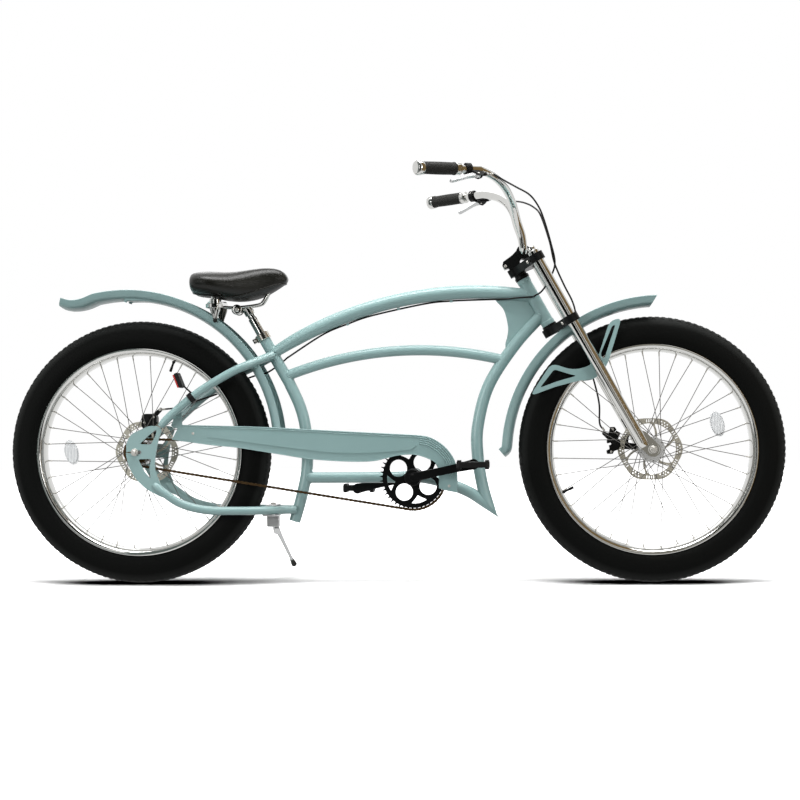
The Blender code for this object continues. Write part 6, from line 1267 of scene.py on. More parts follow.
guard_edge = upper_edge + lower_edge[::-1]
panel_top = smooth_flat([beside_chain(*p) for p in ((0.26, 0.076), (0.55, 0.087), (0.80, 0.096))]
                        + beside_crank([(-0.020, 0.1000), (0.002, 0.0945), (0.0095, 0.0880)]), 6)
panel_low = smooth_flat(beside_crank([(0.0095, 0.0880), (0.002, 0.0810), (-0.02, 0.0740)])
                        + [beside_chain(*p) for p in ((0.84, 0.0560), (0.70, 0.0480), (0.50, 0.0520),
                                                      (0.26, 0.0600))], 6)
panel = panel_top + panel_low[1:]


def ridge(line, level, radius):
    """Rounded ridge along a line of the guard."""
    return tube([Vector((p.x, level, p.y)) for p in line], radius, None, 12), powder_coat


shapes = [(across([guard_edge], -0.0697, -0.0683, ORIGIN), powder_coat),
          (across([panel], -0.0716, -0.0690, ORIGIN), powder_coat),
          (across([grown(panel, 0.0014)], -0.0706, -0.0690, ORIGIN), powder_coat)]
for inset in (0.0065, 0.0120, 0.0175, 0.0230):
    line = grown(guard_edge, -inset)[:len(upper_edge)][32:-6]
    shapes.append(ridge(line, -0.0697, 0.0019))
shapes.append(ridge(grown(guard_edge, -0.0065)[:len(upper_edge)][2:33], -0.0698, 0.0014))
shapes.append(ridge(grown(guard_edge, -0.0012)[len(upper_edge):-1], -0.0693, 0.0012))
turned_in, folded = grown(guard_edge, -0.0002)[:len(upper_edge)], grown(guard_edge, -0.0016)[:len(upper_edge)]
shapes.append((across([turned_in + folded[::-1]], -0.0703, -0.0582, ORIGIN), powder_coat))
shapes.append(ridge(grown(guard_edge, -0.0018)[:len(upper_edge)], -0.0696, 0.0018))
tab = softened([(0.098, 0.070), (0.128, 0.060), (0.124, 0.124), (0.108, 0.124)], 0.006)
shapes.append((across([tab], -0.0705, -0.0694, REAR), powder_coat))
tab_at, bracket_at = from_rear(0.116, 0, 0.1165), from_crank(0.0985, 0, -0.024)
shapes.append((rod(tab_at - 0.0702 * SIDEWAYS, tab_at - 0.0838 * SIDEWAYS, 0.0060, 28, 0.0004), powder_coat))
shapes.append((rod(bracket_at - 0.0702 * SIDEWAYS, bracket_at - 0.0165 * SIDEWAYS, 0.0040, 24), powder_coat))
bracket_edge = softened([(0.082, -0.036), (0.112, -0.036), (0.116, -0.018), (0.086, -0.014)], 0.004)
shapes.append((across([bracket_edge], -0.0690, -0.0675, CRANK), powder_coat))


def screw_head(place, way, radius=0.0038, height=0.0016):
    """Button-head screw with a hexagon socket."""
    return lathe([(0.0, 0.35 * height), (0.42 * radius, 0.35 * height), (0.46 * radius, height),
                  (0.70 * radius, 0.92 * height), (radius, 0.3 * height), (radius, 0), (0, 0)], place, way,
                 24)


for spot in (beside_chain(0.205, 0.066), Vector((bracket_at.x, bracket_at.z))):
    shapes.append((screw_head(Vector((spot.x, -0.0697, spot.y)), -SIDEWAYS), plated_steel))
piece("chain_guard_pressed", shapes, "frame", ["chain_guard"], 0, 40)

# Head tube: a thick steel tube with a ring at each end, holding black headset cups, and a
# flat gusset plate welded between it and the two tubes behind it.
head_side = [(0.0192, 0.5815), (0.0192, 0.571), (0.0180, 0.569), (0.0180, 0.450), (0.0192, 0.448),
             (0.0192, 0.4375)]
head_profile = [(0.0150, 0.5820), (0.0187, 0.5820)] + head_side + [(0.0187, 0.4370), (0.0150, 0.4370)]
piece("head_tube_turned", [(lathe(head_profile, STEER_BASE, STEER_AXIS, 72, True), powder_coat)], "frame",
      ["head_tube"], 0, 30)
cup = [(0.0131, 0.5923), (0.0180, 0.5923), (0.0196, 0.5917), (0.0205, 0.5893), (0.0205, 0.5858),
       (0.0200, 0.5852),
       (0.0205, 0.5846), (0.0205, 0.5823), (0.0131, 0.5823)]
piece("headset_cup_turned", [(lathe(cup, STEER_BASE, STEER_AXIS, 72, True), black_alloy)], "frame",
      ["headset_cup"],
      0, 30)
gusset = [on_steering(ahead, 0, up) for ahead, up in (
    (-0.0956, 0.5822), (-0.0930, 0.5624), (-0.0880, 0.5400), (-0.0905, 0.5180), (-0.1020, 0.4850),
    (-0.1170, 0.4640),
    (-0.1318, 0.4478), (-0.1430, 0.4190))]
inner_side = smooth_flat([(p.x, p.z) for p in gusset], 6)
outer_side = [on_steering(ahead, 0, up) for ahead,
              up in ((-0.1091, 0.4351), (-0.0155, 0.4670), (-0.0150, 0.5320),
                                                         (-0.0200, 0.5434))]
gusset_edge = inner_side + [Vector((p.x, p.z)) for p in outer_side]
gusset_shapes = [(across([gusset_edge], -0.004, 0.004, ORIGIN), powder_coat)]
for side, sign in SIDES:
    seam = [on_steering(-0.0198, sign * 0.0042, 0.474 + 0.004 * k) for k in range(12)]
    gusset_shapes.append((tube(seam, 0.0018, [0.0018 + 0.0003 * (k % 2) for k in range(12)], 10),
                          powder_coat))
piece("gusset_plate_cut", gusset_shapes, "frame", ["gusset_plate"], 0.0005)

# Fork: chromed steel legs in two black cast crowns, each clamped by bolts from behind,
# with forged lugs at the axle and a turned cap post above each leg.
STEER_FRAME = Matrix.Translation(STEER_BASE) @ Matrix((STEER_FORWARD, SIDEWAYS,
                                                       STEER_AXIS)).transposed().to_4x4()
SIDE_FRAME = STEER_FRAME @ Matrix.Rotation(pi / 2, 4, "X")
LEG_FORWARD, LEG_SIDE = 0.058, 0.078


def crown_outline(lead):
    """Fork crown seen along the steering axis: a bridge that widens to a ring round each leg."""
    left = arc((LEG_FORWARD, LEG_SIDE), 0.022, -60, 170, 24)
    front = smooth_flat([(LEG_FORWARD - 0.018, 0.0), (LEG_FORWARD - 0.016, 0.022),
                         (LEG_FORWARD - 0.006, LEG_SIDE - 0.030),
                         left[0]], 5)[:-1]
    back = smooth_flat([left[-1], (LEG_FORWARD - 0.040, LEG_SIDE - 0.024), (-0.002, 0.024), (-0.018, 0.018),
                        (-lead, 0.010)], 5)[1:]
    half = front + left + back
    return half + [Vector((p.x, -p.y)) for p in reversed(half[1:])]


leg_holes = [arc((LEG_FORWARD, sign * LEG_SIDE), 0.0161, 0, 355, 71) for side, sign in SIDES]
steel_bolt = [(0, 0.0046), (0.0018, 0.0046), (0.0021, 0.0024), (0.0021, 0.0046), (0.0034, 0.0046),
              (0.0042, 0.0038), (0.0042, 0), (0, 0)]
shapes = [(plate([crown_outline(0.026)] + leg_holes, 0.4077, 0.4297, STEER_FRAME), black_alloy),
          (lathe([(0, 0.6466), (0.0127, 0.6466), (0.0127, 0.4367), (0.0205, 0.4367), (0.0208, 0.4340),
                  (0.0208, 0.4290), (0, 0.4290)], STEER_BASE, STEER_AXIS, 64), black_alloy)]
for side, sign in SIDES:
    start = on_steering(0.0325, sign * (LEG_SIDE + 0.006), 0.4187)
    shapes.append((lathe(steel_bolt, start, -STEER_FORWARD, 24), plated_steel))
    shapes.append((tube([on_steering(LEG_FORWARD + 0.0160 * cos(a), sign * LEG_SIDE + 0.0160 * sin(a), 0.4079)
                         for a in (2 * pi * k / 60 for k in range(60))], 0.0005, None, 6, True), black_alloy))
shapes.append((lathe(steel_bolt, on_steering(-0.016, -0.0112, 0.4187), -SIDEWAYS, 24), plated_steel))
piece("lower_crown_cast", shapes, "steering", ["lower_crown"], 0.0016)
shapes = [(plate([crown_outline(0.027), arc((0, 0), 0.0129, 0, 355, 71)] + leg_holes, 0.5993, 0.6213,
                 STEER_FRAME),
           black_alloy),
          (lathe([(0.0129, 0.6010), (0.0175, 0.6010), (0.0175, 0.5926), (0.0129, 0.5926)], STEER_BASE,
                 STEER_AXIS, 64,
                 True), black_alloy)]
for side, sign in SIDES:
    start = on_steering(0.0325, sign * (LEG_SIDE + 0.006), 0.6103)
    shapes.append((lathe(steel_bolt, start, -STEER_FORWARD, 24), plated_steel))
shapes.append((lathe(steel_bolt, on_steering(-0.018, -0.0106, 0.6103), -SIDEWAYS, 24), plated_steel))
piece("upper_crown_cast", shapes, "steering", ["upper_crown"], 0.0016)

leg_profile = [(0, 0.6443), (0.0040, 0.6443), (0.0050, 0.6425), (0.0100, 0.6425), (0.0108, 0.6410),
               (0.0112, 0.6330),
               (0.0140, 0.6315), (0.0160, 0.6300), (0.0160, 0.0330), (0.0152, 0.0270), (0.0135, 0.0215),
               (0.0118, 0.0185), (0, 0.0180)]
lug_edge = softened([(LEG_FORWARD - 0.013, 0.064), (LEG_FORWARD + 0.013, 0.064), (0.081, 0.052),
                     (0.089, 0.024)]
                    + arc((0.075, 0), 0.020, 25, -160, 18) + [(LEG_FORWARD - 0.012, 0.020)], 0.004, 3)
for side, sign in SIDES:
    foot = on_steering(LEG_FORWARD, sign * LEG_SIDE, 0)
    low, high = (-0.074, -0.066) if sign > 0 else (0.066, 0.074)
    shapes = [(lathe(leg_profile, foot, STEER_AXIS, 64), chrome),
              (plate([lug_edge, arc((0.075, 0), 0.0053, 0, 350, 35)], low, high, SIDE_FRAME), chrome)]
    ring_face = FRONT + sign * 0.0738 * SIDEWAYS
    shapes.append((lathe([(0.0106, 0.0), (0.0165, 0.0), (0.0172, 0.0007), (0.0172, 0.0012), (0.0125, 0.0016),
                          (0.0106, 0.0010)], ring_face, sign * SIDEWAYS, 48, True), chrome))
    piece("fork_leg_drawn_" + side, shapes, "steering", ["fork_leg_" + side], 0.0012, 30)

# Stem: one black machined block that clamps the steerer with two bolts behind and the bar
# with a four-bolt cap in front.
clamp = arc((0.038, 0.6456), 0.020, 140, -75, 28)
stem_side = flat([(-0.019, 0.6216), (-0.020, 0.6276), (-0.030, 0.6296), (-0.031, 0.6416), (-0.024, 0.6496),
                  (-0.006, 0.6516), (0.008, 0.6536)]) + clamp + flat([(0.0290, 0.6330), (0.0200, 0.6315),
                                                                      (0.0160, 0.6280), (0.0150, 0.6216)])
BAR_CENTRE = on_steering(0.038, 0, 0.6456)
shapes = [(plate([stem_side], -0.020, 0.020, SIDE_FRAME), black_alloy),
          (lathe(chamfered([(0.0113, 0.025), (0.0196, 0.025), (0.0196, -0.025), (0.0113, -0.025)], 0.0012),
                 BAR_CENTRE,
                 SIDEWAYS, 56, True), black_alloy)]
for side, sign in SIDES:
    for level in (0.6328, 0.6390):
        shapes.append((lathe(steel_bolt, on_steering(-0.0268, sign * 0.0112, level), -STEER_FORWARD, 24),
                       plated_steel))
    for level, ahead in ((0.6600, 0.0500), (0.6318, 0.0525)):
        way = (STEER_FORWARD * 0.9 + STEER_AXIS * (0.25 if level > 0.64 else -0.15)).normalized()
        shapes.append((lathe([(r * 0.72, h * 0.5) for r, h in steel_bolt],
                             on_steering(ahead, sign * 0.0170, level), way,
                             20), plated_steel))
shapes.append((lathe([(r, 0.5 * h) for r, h in steel_bolt], on_steering(-0.0245, -0.0199, 0.6356), -SIDEWAYS,
                     24),
               plated_steel))
shapes.append((lathe([(0, 0.0012), (0.0060, 0.0012), (0.0120, 0.0006), (0.0128, 0), (0, 0)],
                     on_steering(-0.002, 0, 0.6515), STEER_AXIS, 40), black_alloy))
piece("stem_machined", shapes, "steering", ["stem"], 0.0011)

# Handlebar: chromed steel tube bent up, out and back, its ends closed by plated caps with
# a plated collar at the inner end of each rubber grip.
BAR_BENDS = [(0, 0.031, 0), (-0.0007, 0.0395, 0.011), (-0.0045, 0.0485, 0.042), (-0.0165, 0.066, 0.079),
             (-0.0285, 0.105, 0.122), (-0.0475, 0.170, 0.157), (-0.0755, 0.225, 0.181)]
BAR_TURN = Vector((-0.1155, 0.2735, 0.195))
GRIP_WAY = Vector((-0.818, 0.573, -0.040)).normalized()


def on_grip(sign, along):
    """Point on the straight end of the bar, from where it starts."""
    point = BAR_CENTRE + BAR_TURN + along * GRIP_WAY
    return Vector((point.x, sign * point.y, point.z))


def grip_axis(sign):
    return Vector((GRIP_WAY.x, sign * GRIP_WAY.y, GRIP_WAY.z))


bends = [BAR_CENTRE + Vector(p) for p in BAR_BENDS] + [on_grip(1, 0), on_grip(1, 0.03)]
half_bar = smooth_line(bends, 9)[:-9] + [on_grip(1, 0.195)]
whole_bar = [Vector((p.x, -p.y, p.z)) for p in reversed(half_bar)] + half_bar
shapes = [(tube(whole_bar, 0.0111, None, 36), chrome)]
for side, sign in SIDES:
    shapes.append((lathe([(0, 0.197), (0.0120, 0.197), (0.0165, 0.1962), (0.0192, 0.1940), (0.0202, 0.1910),
                          (0.0200, 0.1850), (0.0190, 0.1784), (0.0186, 0.1773), (0, 0.1773)],
                         on_grip(sign, 0),
                         grip_axis(sign), 56), chrome))
    shapes.append((lathe([(0, 0.0767), (0.0160, 0.0767), (0.0168, 0.0760), (0.0168, 0.0740), (0.0162, 0.0735),
                          (0.0162, 0.0650), (0.0168, 0.0645), (0.0166, 0.0615), (0.0158, 0.0607),
                          (0, 0.0607)],
                         on_grip(sign, 0), grip_axis(sign), 56), chrome))
piece("handlebar_bent", shapes, "steering", ["handlebar"])

# Grips: black rubber sleeves, thicker at both ends, moulded with fine rings all along.
grip_rubber, tree, shader = new_finish("moulded_grip_rubber", "181815", 0.68)
shader.inputs["Specular IOR Level"].default_value = 0.3
matt_grain = noise(tree, 1500.0)
uneven(tree, shader, matt_grain, 0.56, 0.80)
embossed(tree, shader, matt_grain, 0.3, 0.0002)
grip_profile = [(0.0113, 0.1770), (0.0166, 0.1770), (0.0172, 0.1762), (0.0172, 0.1722), (0.0160, 0.1700)]
for rib in range(29):
    at = 0.1685 - rib * 0.0030
    swell = 0.0162 + 0.0006 * sin(pi * (rib + 0.5) / 29)
    grip_profile += [(swell - 0.0004, at), (swell, at - 0.0006), (swell, at - 0.0018),
                     (swell - 0.0004, at - 0.0024)]
grip_profile += [(0.0160, 0.0812), (0.0172, 0.0802), (0.0172, 0.0777), (0.0166, 0.0770), (0.0113, 0.0770)]
for side, sign in SIDES:
    piece("grip_moulded_" + side, [(lathe(grip_profile, on_grip(sign, 0), grip_axis(sign), 56, True),
                                    grip_rubber)],
          "steering", ["grip_" + side], 0, 45)

# Brake levers: a black cast perch clamped round the bar inboard of each grip, with a
# polished two-finger lever on a cross pin and a bright barrel where the cable leaves.
PIVOT_AT, PERCH_AT, LEVER_OFFSET = 0.016, 0.036, 0.024


def lever_frame(sign):
    """Frame at the bar: X along the grip, Y outward and down, Z along the lever's pin."""
    along = grip_axis(sign)
    sideways = Vector((-along.y * sign, along.x * sign, 0)).normalized() * -1
    drop = Vector((0, 0, -1)) * cos(radians(45)) + sideways * sin(radians(45))
    drop = (drop - drop.dot(along) * along).normalized()
    return Matrix.Translation(on_grip(sign, 0)) @ Matrix((along, drop,
                                                          along.cross(drop))).transposed().to_4x4()


for side, sign in SIDES:
    frame_here = lever_frame(sign)
    cheek = softened([(PERCH_AT + 0.006, 0.013), (PIVOT_AT + 0.009, LEVER_OFFSET - 0.004),
                      (PIVOT_AT + 0.008, LEVER_OFFSET + 0.005), (PIVOT_AT, LEVER_OFFSET + 0.009),
                      (PIVOT_AT - 0.016, LEVER_OFFSET + 0.002), (PIVOT_AT - 0.018, LEVER_OFFSET - 0.007),
                      (PERCH_AT - 0.007, 0.013)], 0.003)
    web = softened([(PIVOT_AT - 0.0098, LEVER_OFFSET - 0.0098), (PIVOT_AT - 0.0098, LEVER_OFFSET + 0.003),
                    (PIVOT_AT - 0.016, LEVER_OFFSET + 0.002), (PIVOT_AT - 0.018, LEVER_OFFSET - 0.007),
                    (PERCH_AT - 0.007, 0.0122), (PERCH_AT + 0.005, 0.0122),
                    (PERCH_AT - 0.006, LEVER_OFFSET - 0.0110)],
                   0.0006, 2)
    at, way = on_grip(sign, 0), grip_axis(sign)
    shapes = [(plate([cheek], 0.0044, 0.0074, frame_here), black_alloy),
              (plate([cheek], -0.0074, -0.0044, frame_here), black_alloy),
              (plate([web], -0.0046, 0.0046, frame_here), black_alloy),
              (lathe(chamfered([(0.0113, 0.0072), (0.0162, 0.0072), (0.0162, -0.0072), (0.0113, -0.0072)],
                               0.0008),
                     at + PERCH_AT * way, way, 48, True), black_alloy)]
    bolt_at = frame_here @ Vector((PERCH_AT, -0.0135, 0.0))
    shapes.append((rod(bolt_at - 0.0060 * frame_here.col[2].xyz, bolt_at + 0.0060 * frame_here.col[2].xyz,
                       0.0026, 20, 0.0004), plated_steel))
    barrel_axis = frame_here.to_3x3() @ Vector((-0.024, -0.002, 0)).normalized()
    barrel_at = frame_here @ Vector((PIVOT_AT - 0.014, LEVER_OFFSET - 0.003, 0))
    shapes.append((lathe([(0, 0.0135), (0.0042, 0.0135), (0.0047, 0.0125), (0.0047, 0.0030), (0.0040, 0.0022),
                          (0.0046, 0.0012), (0.0046, 0), (0, 0)], barrel_at, barrel_axis, 24), black_alloy))
    shapes.append((lathe([(0, 0.0239), (0.0026, 0.0239), (0.0032, 0.0232), (0.0032, 0.0185), (0.0043, 0.0180),
                          (0.0043, 0.0145), (0.0032, 0.0140), (0.0032, 0.0130), (0, 0.0130)], barrel_at,
                         barrel_axis, 24),
                   hub_alloy))
    shapes.append((rod(frame_here @ Vector((PIVOT_AT, LEVER_OFFSET, -0.0078)),
                       frame_here @ Vector((PIVOT_AT, LEVER_OFFSET, 0.0078)), 0.0024, 20, 0.0004),
                   plated_steel))
    piece("brake_perch_cast_" + side, shapes, "steering", ["brake_perch_" + side], 0.0007)
    eye = Vector((PIVOT_AT, LEVER_OFFSET))
    tip = Vector((PIVOT_AT + 0.095, LEVER_OFFSET + 0.026))
    inner_edge = smooth_flat([eye + Vector((0.006, -0.0056)), eye + Vector((0.014, -0.0050)),
                              eye + Vector((0.035, 0.0015)),
                              eye + Vector((0.070, 0.0145)), tip + Vector((0.0018, -0.0047))], 5)
    outer_edge = smooth_flat([tip + Vector((-0.0018, 0.0047)), eye + Vector((0.068, 0.0225)),
                              eye + Vector((0.033, 0.0110)),
                              eye + Vector((0.010, 0.0074)), eye + Vector((0.002, 0.0076))], 5)
    lever_edge = arc(eye, 0.0078, 110, 250, 14) + inner_edge + arc(tip, 0.0050, -60, 95, 10) + outer_edge
    piece("brake_lever_forged_" + side, [
        (plate([lever_edge, arc(eye, 0.0027, 0, 340, 17)], -0.004, 0.004, frame_here), hub_alloy)],
        side + "_lever", ["brake_lever_" + side], 0.0014)

# Disc calipers: black cast bodies slotted over the rotors, bolted to their mounts, each
# with a stamped cable arm that a steel anchor bolt pulls.
for end, centre, body_edge, y_low, y_high, rotor_y, mount, mount_low, mount_high, dial in (
        ("rear", REAR, [(-0.013, 0.072), (-0.012, 0.103), (-0.004, 0.107), (0.024, 0.107), (0.031, 0.099),
                        (0.031, 0.080), (0.012, 0.066), (-0.006, 0.062)], 0.060, 0.0918, 0.075,
         [(-0.006, 0.064), (0.010, 0.069), (0.030, 0.079), (0.030, 0.055), (0.012, 0.040), (0.000, 0.040)],
         0.0800, 0.0947, (0.006, 0.090)),
        ("front", FRONT, [(-0.1097, 0.0615), (-0.0979, 0.0620), (-0.0925, 0.0543), (-0.0990, 0.0464),
                          (-0.0925, 0.0345),
                          (-0.0840, 0.0246), (-0.0820, 0.0107), (-0.0880, -0.0012), (-0.0998, -0.0052),
                          (-0.1038, -0.0131), (-0.1190, -0.0131), (-0.1205, -0.0032), (-0.1117, 0.0000),
                          (-0.1137, 0.0107), (-0.1070, 0.0127), (-0.1075, 0.0186), (-0.1190, 0.0160),
                          (-0.1197, 0.0256), (-0.1137, 0.0300), (-0.1160, 0.0325), (-0.1225, 0.0310),
                          (-0.1228, 0.0470), (-0.1137, 0.0440)], 0.040, 0.068, 0.052,
         [(-0.085, 0.000), (-0.030, -0.002), (-0.034, 0.014), (-0.060, 0.018), (-0.058, 0.034),
          (-0.046, 0.055), (-0.056, 0.052), (-0.086, 0.020)], 0.0570, 0.0655, (-0.102, 0.024))):
    body_edge = softened(body_edge, 0.005 if end == "rear" else 0.002)
    shapes = [(across([body_edge], rotor_y + 0.0026, y_high, centre), black_alloy),
              (across([body_edge], y_low, rotor_y - 0.0026, centre), black_alloy)]
    first, last, reach = (74.0, 96.0, 0.1050) if end == "rear" else (151.0, 173.0, 0.1065)
    bridge = arc((0, 0), 0.0925, last, first, 8) + arc((0, 0), reach, first, last, 8)
    shapes.append((across([bridge], rotor_y - 0.0028, rotor_y + 0.0028, centre), black_alloy))
    shapes.append((across([softened(mount, 0.003)], mount_low, mount_high, centre), black_alloy))
    for k in range(2):
        spot = (((-0.004, 0.082), (0.022, 0.098)) if end == "rear" else ((-0.108, -0.007),
                                                                         (-0.104, 0.056)))[k]
        middle = centre + Vector((spot[0], 0, spot[1]))
        shapes.append((lathe([(0, 0.0022), (0.0018, 0.0022), (0.0022, 0.0010), (0.0022, 0.0022),
                              (0.0034, 0.0018),
                              (0.0038, 0), (0, 0)], middle + y_low * SIDEWAYS, -SIDEWAYS, 20), plated_steel))
    pad_knob = centre + Vector((dial[0], y_low, dial[1]))
    shapes.append((lathe([(0, 0.0), (0.0100, 0.0), (0.0100, -0.0012), (0.0085, -0.0018), (0, -0.0018)][::-1],
                         pad_knob,
                         SIDEWAYS, 32), black_alloy))
    piece(end + "_caliper_cast", shapes, "frame" if end == "rear" else "steering", [end + "_caliper"],
          0.0007)

for end, centre, pivot, tip, y_low in (("rear", REAR, (0.006, 0.090), (0.036, 0.119), 0.0921),
                                       ("front", FRONT, (-0.102, 0.024), (-0.126, 0.044), 0.0683)):
    pivot, tip = Vector(pivot), Vector(tip)
    turn = atan2((tip - pivot).y, (tip - pivot).x) * 180 / pi
    arm_outline = arc(pivot, 0.0085, turn + 60, turn + 300, 24) + arc(tip, 0.0055, turn - 80, turn + 80, 14)
    shapes = [(across([arm_outline], y_low, y_low + 0.0030, centre), black_alloy)]
    hub_at = centre + Vector((pivot.x, y_low + 0.0028, pivot.y))
    shapes.append((lathe([(0, 0.0007), (0.0038, 0.0007), (0.0042, 0.0003), (0.0042, 0), (0, 0)], hub_at,
                         SIDEWAYS, 6),
                   plated_steel))
    first, last = (0.080, 0.0940) if end == "rear" else (y_low + 0.0005, y_low + 0.010)
    shapes.append((rod(centre + Vector((tip.x, first, tip.y)), centre + Vector((tip.x, last, tip.y)), 0.0040,
                       20, 0.0005),
                   plated_steel))
    piece(end + "_caliper_arm_stamped", shapes, end + "_arm", [end + "_caliper_arm"], 0.0005)

# Cables: steel cable in a black plastic housing 5 mm thick, held by clips under the top
# tube, with a metal ferrule where a housing ends.
HOUSING_RADIUS = 0.0025
cable_plastic, tree, shader = new_finish("cable_housing_plastic", "0B0B0B", 0.34)
shader.inputs["Specular IOR Level"].default_value = 0.25
uneven(tree, shader, noise(tree, 90.0), 0.26, 0.44)


def cable_start(sign, lead):
    return lever_frame(sign) @ Vector((PIVOT_AT - 0.038 - lead, LEVER_OFFSET - 0.005, 0))


def cable_line(points):
    line = smooth_line(points, 10)
    return line[:1] + line[10:]


front_cable = [cable_start(1, 0.0003), cable_start(1, 0.014), on_steering(0.0735, 0.215, 0.820),
               on_steering(0.0953, 0.160, 0.7986), on_steering(0.1152, 0.110, 0.7749),
               on_steering(0.1292, 0.070, 0.7465),
               on_steering(0.1330, 0.047, 0.7150), on_steering(0.1180, 0.037, 0.640),
               on_steering(0.1000, 0.036, 0.580),
               on_steering(0.0935, 0.048, 0.515), on_steering(0.0930, 0.074, 0.470),
               on_steering(0.0880, 0.098, 0.440),
               on_steering(0.0740, 0.1075, 0.405), on_steering(0.0560, 0.1060, 0.330),
               on_steering(0.0380, 0.100, 0.250),
               on_steering(0.0170, 0.090, 0.180), on_steering(-0.0100, 0.0800, 0.130),
               from_front(-0.1245, 0.0758, 0.0513)]
front_line = cable_line(front_cable)
ferrule = lathe([(0, 0.012), (0.0029, 0.012), (0.0031, 0.0115), (0.0031, 0.0003), (0, 0.0003)], (0, 0, 0),
                Vector((0, 0, 1)), 20)


def ferrule_at(point, way):
    made = ferrule.copy()
    made.transform(placing(point, way))
    return made


piece("front_brake_hose", [
    (tube(front_line, HOUSING_RADIUS, None, 14), cable_plastic),
    (ferrule_at(front_line[0], (front_line[1] - front_line[0]).normalized()), plated_steel),
    (ferrule_at(front_line[-1], (front_line[-2] - front_line[-1]).normalized()), plated_steel)],
    "steering", ["front_brake_cable"])
bar_cable = [cable_start(-1, 0.0003), cable_start(-1, 0.014), on_steering(0.0800, -0.215, 0.818),
             on_steering(0.1010, -0.155, 0.7960), on_steering(0.1247, -0.100, 0.7672),
             on_steering(0.1330, -0.060, 0.7360),
             on_steering(0.1310, -0.038, 0.7000), on_steering(0.1150, -0.031, 0.630),
             on_steering(0.0970, -0.030, 0.575),
             on_steering(0.0640, -0.030, 0.5450), on_steering(0.0280, -0.0290, 0.5260),
             on_steering(0.0010, -0.0240, 0.5245)]
bar_line = cable_line(bar_cable)
hose = piece("rear_brake_hose_at_bar", [
    (tube(bar_line, HOUSING_RADIUS, None, 14), cable_plastic),
    (ferrule_at(bar_line[0], (bar_line[1] - bar_line[0]).normalized()), plated_steel)], None,
             ["handlebar_cable"])
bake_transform(hose)


def under_top_tube(index, side):
    """Point just below the top tube at a tenth of its length, where the clips hold the cable."""
    along = (top_line[6 * index + 6] - top_line[6 * index - 6]).normalized()
    return top_line[6 * index] + Vector((along.z, 0, -along.x)) * 0.0221 + side * SIDEWAYS


rear_cable = [on_steering(-0.0002, -0.0240, 0.5245), on_steering(-0.0180, -0.0235, 0.5330),
              on_steering(-0.0400, -0.0215, 0.5440), on_steering(-0.0660, -0.0155, 0.5560)]
rear_cable += [under_top_tube(index, -0.0085 if index > 7 else 0.0) for index in (8, 7, 6, 4, 3, 2)]
rear_cable += [from_rear(*p) for p in (
    (0.418, 0.012, 0.266), (0.400, 0.024, 0.254), (0.372, 0.0275, 0.2330), (0.343, 0.044, 0.2180),
    (0.308, 0.0735, 0.2120), (0.261, 0.087, 0.1950), (0.208, 0.080, 0.1650), (0.148, 0.0690, 0.1440),
    (0.108, 0.0720, 0.1290), (0.077, 0.0790, 0.1225), (0.055, 0.0850, 0.1205), (0.0404, 0.0875, 0.1194))]
rear_line = cable_line(rear_cable)
shapes = [(tube(rear_line, HOUSING_RADIUS, None, 14), cable_plastic),
          (ferrule_at(rear_line[-1], (rear_line[-2] - rear_line[-1]).normalized()), plated_steel)]
for index in (7, 5, 3):
    middle = under_top_tube(index, 0.0) - Vector((0, 0, 0.0006))
    heading = (top_line[6 * index + 6] - top_line[6 * index - 6]).normalized()
    shapes.append((rod(middle - 0.004 * heading, middle + 0.004 * heading, 0.0034, 24, 0.0006), powder_coat))
piece("rear_brake_hose_on_frame", shapes, "frame", ["rear_brake_cable"])

# Kickstand: a bright cast bracket clamped across the chainstays by one long bolt, and a
# slim alloy leg on a slanted pin with a small rubber foot.
kick_x = REAR.x + 0.369
stay_low, stay_high = REAR.z - 0.162 - 0.0118, REAR.z - 0.162 + 0.0118
KICK_PIVOT = from_rear(0.372, 0.034, -0.211)
KICK_AXIS = Vector((-0.21, 0.891, 0.402)).normalized()
KICK_DOWN = Vector((0.143, 0.81, -0.56)).normalized()
shapes = [(block_of((0.044, 0.124, 0.004), (kick_x, 0, stay_low - 0.002)), hub_alloy),
          (block_of((0.030, 0.110, 0.003), (kick_x, 0, stay_high + 0.0015)), hub_alloy),
          (rod((kick_x, 0, stay_low - 0.02), (kick_x, 0, stay_high + 0.003), 0.0048, 24), plated_steel),
          (lathe([(0, 0.0048), (0.0064, 0.0048), (0.0074, 0.0040), (0.0075, 0), (0, 0)],
                 (kick_x, 0, stay_high + 0.003), Vector((0, 0, 1)), 6), plated_steel),
          (block_of((0.034, 0.036, 0.033), (kick_x + 0.001, 0.001, stay_low - 0.0195)), hub_alloy),
          (rod(KICK_PIVOT - 0.032 * KICK_AXIS, KICK_PIVOT - 0.0083 * KICK_AXIS, 0.010, 40, 0.001), hub_alloy),
          (rod(KICK_PIVOT - 0.02 * KICK_AXIS, KICK_PIVOT + 0.0095 * KICK_AXIS, 0.0037, 20), plated_steel),
          (lathe([(0, 0.0024), (0.0046, 0.0024), (0.0054, 0.0012), (0.0054, 0), (0, 0)],
                 KICK_PIVOT + 0.0085 * KICK_AXIS,
                 KICK_AXIS, 24), plated_steel)]
piece("kickstand_clamp", shapes, "frame", ["kickstand_bracket"], 0.0010)
kick_foot = KICK_PIVOT + 0.210 * KICK_DOWN
leg_line = [KICK_PIVOT + s * KICK_DOWN for s in (0.008, 0.03, 0.06, 0.10, 0.14, 0.18)] + [
    kick_foot - 0.012 * KICK_DOWN + Vector((0, 0, 0.001))]
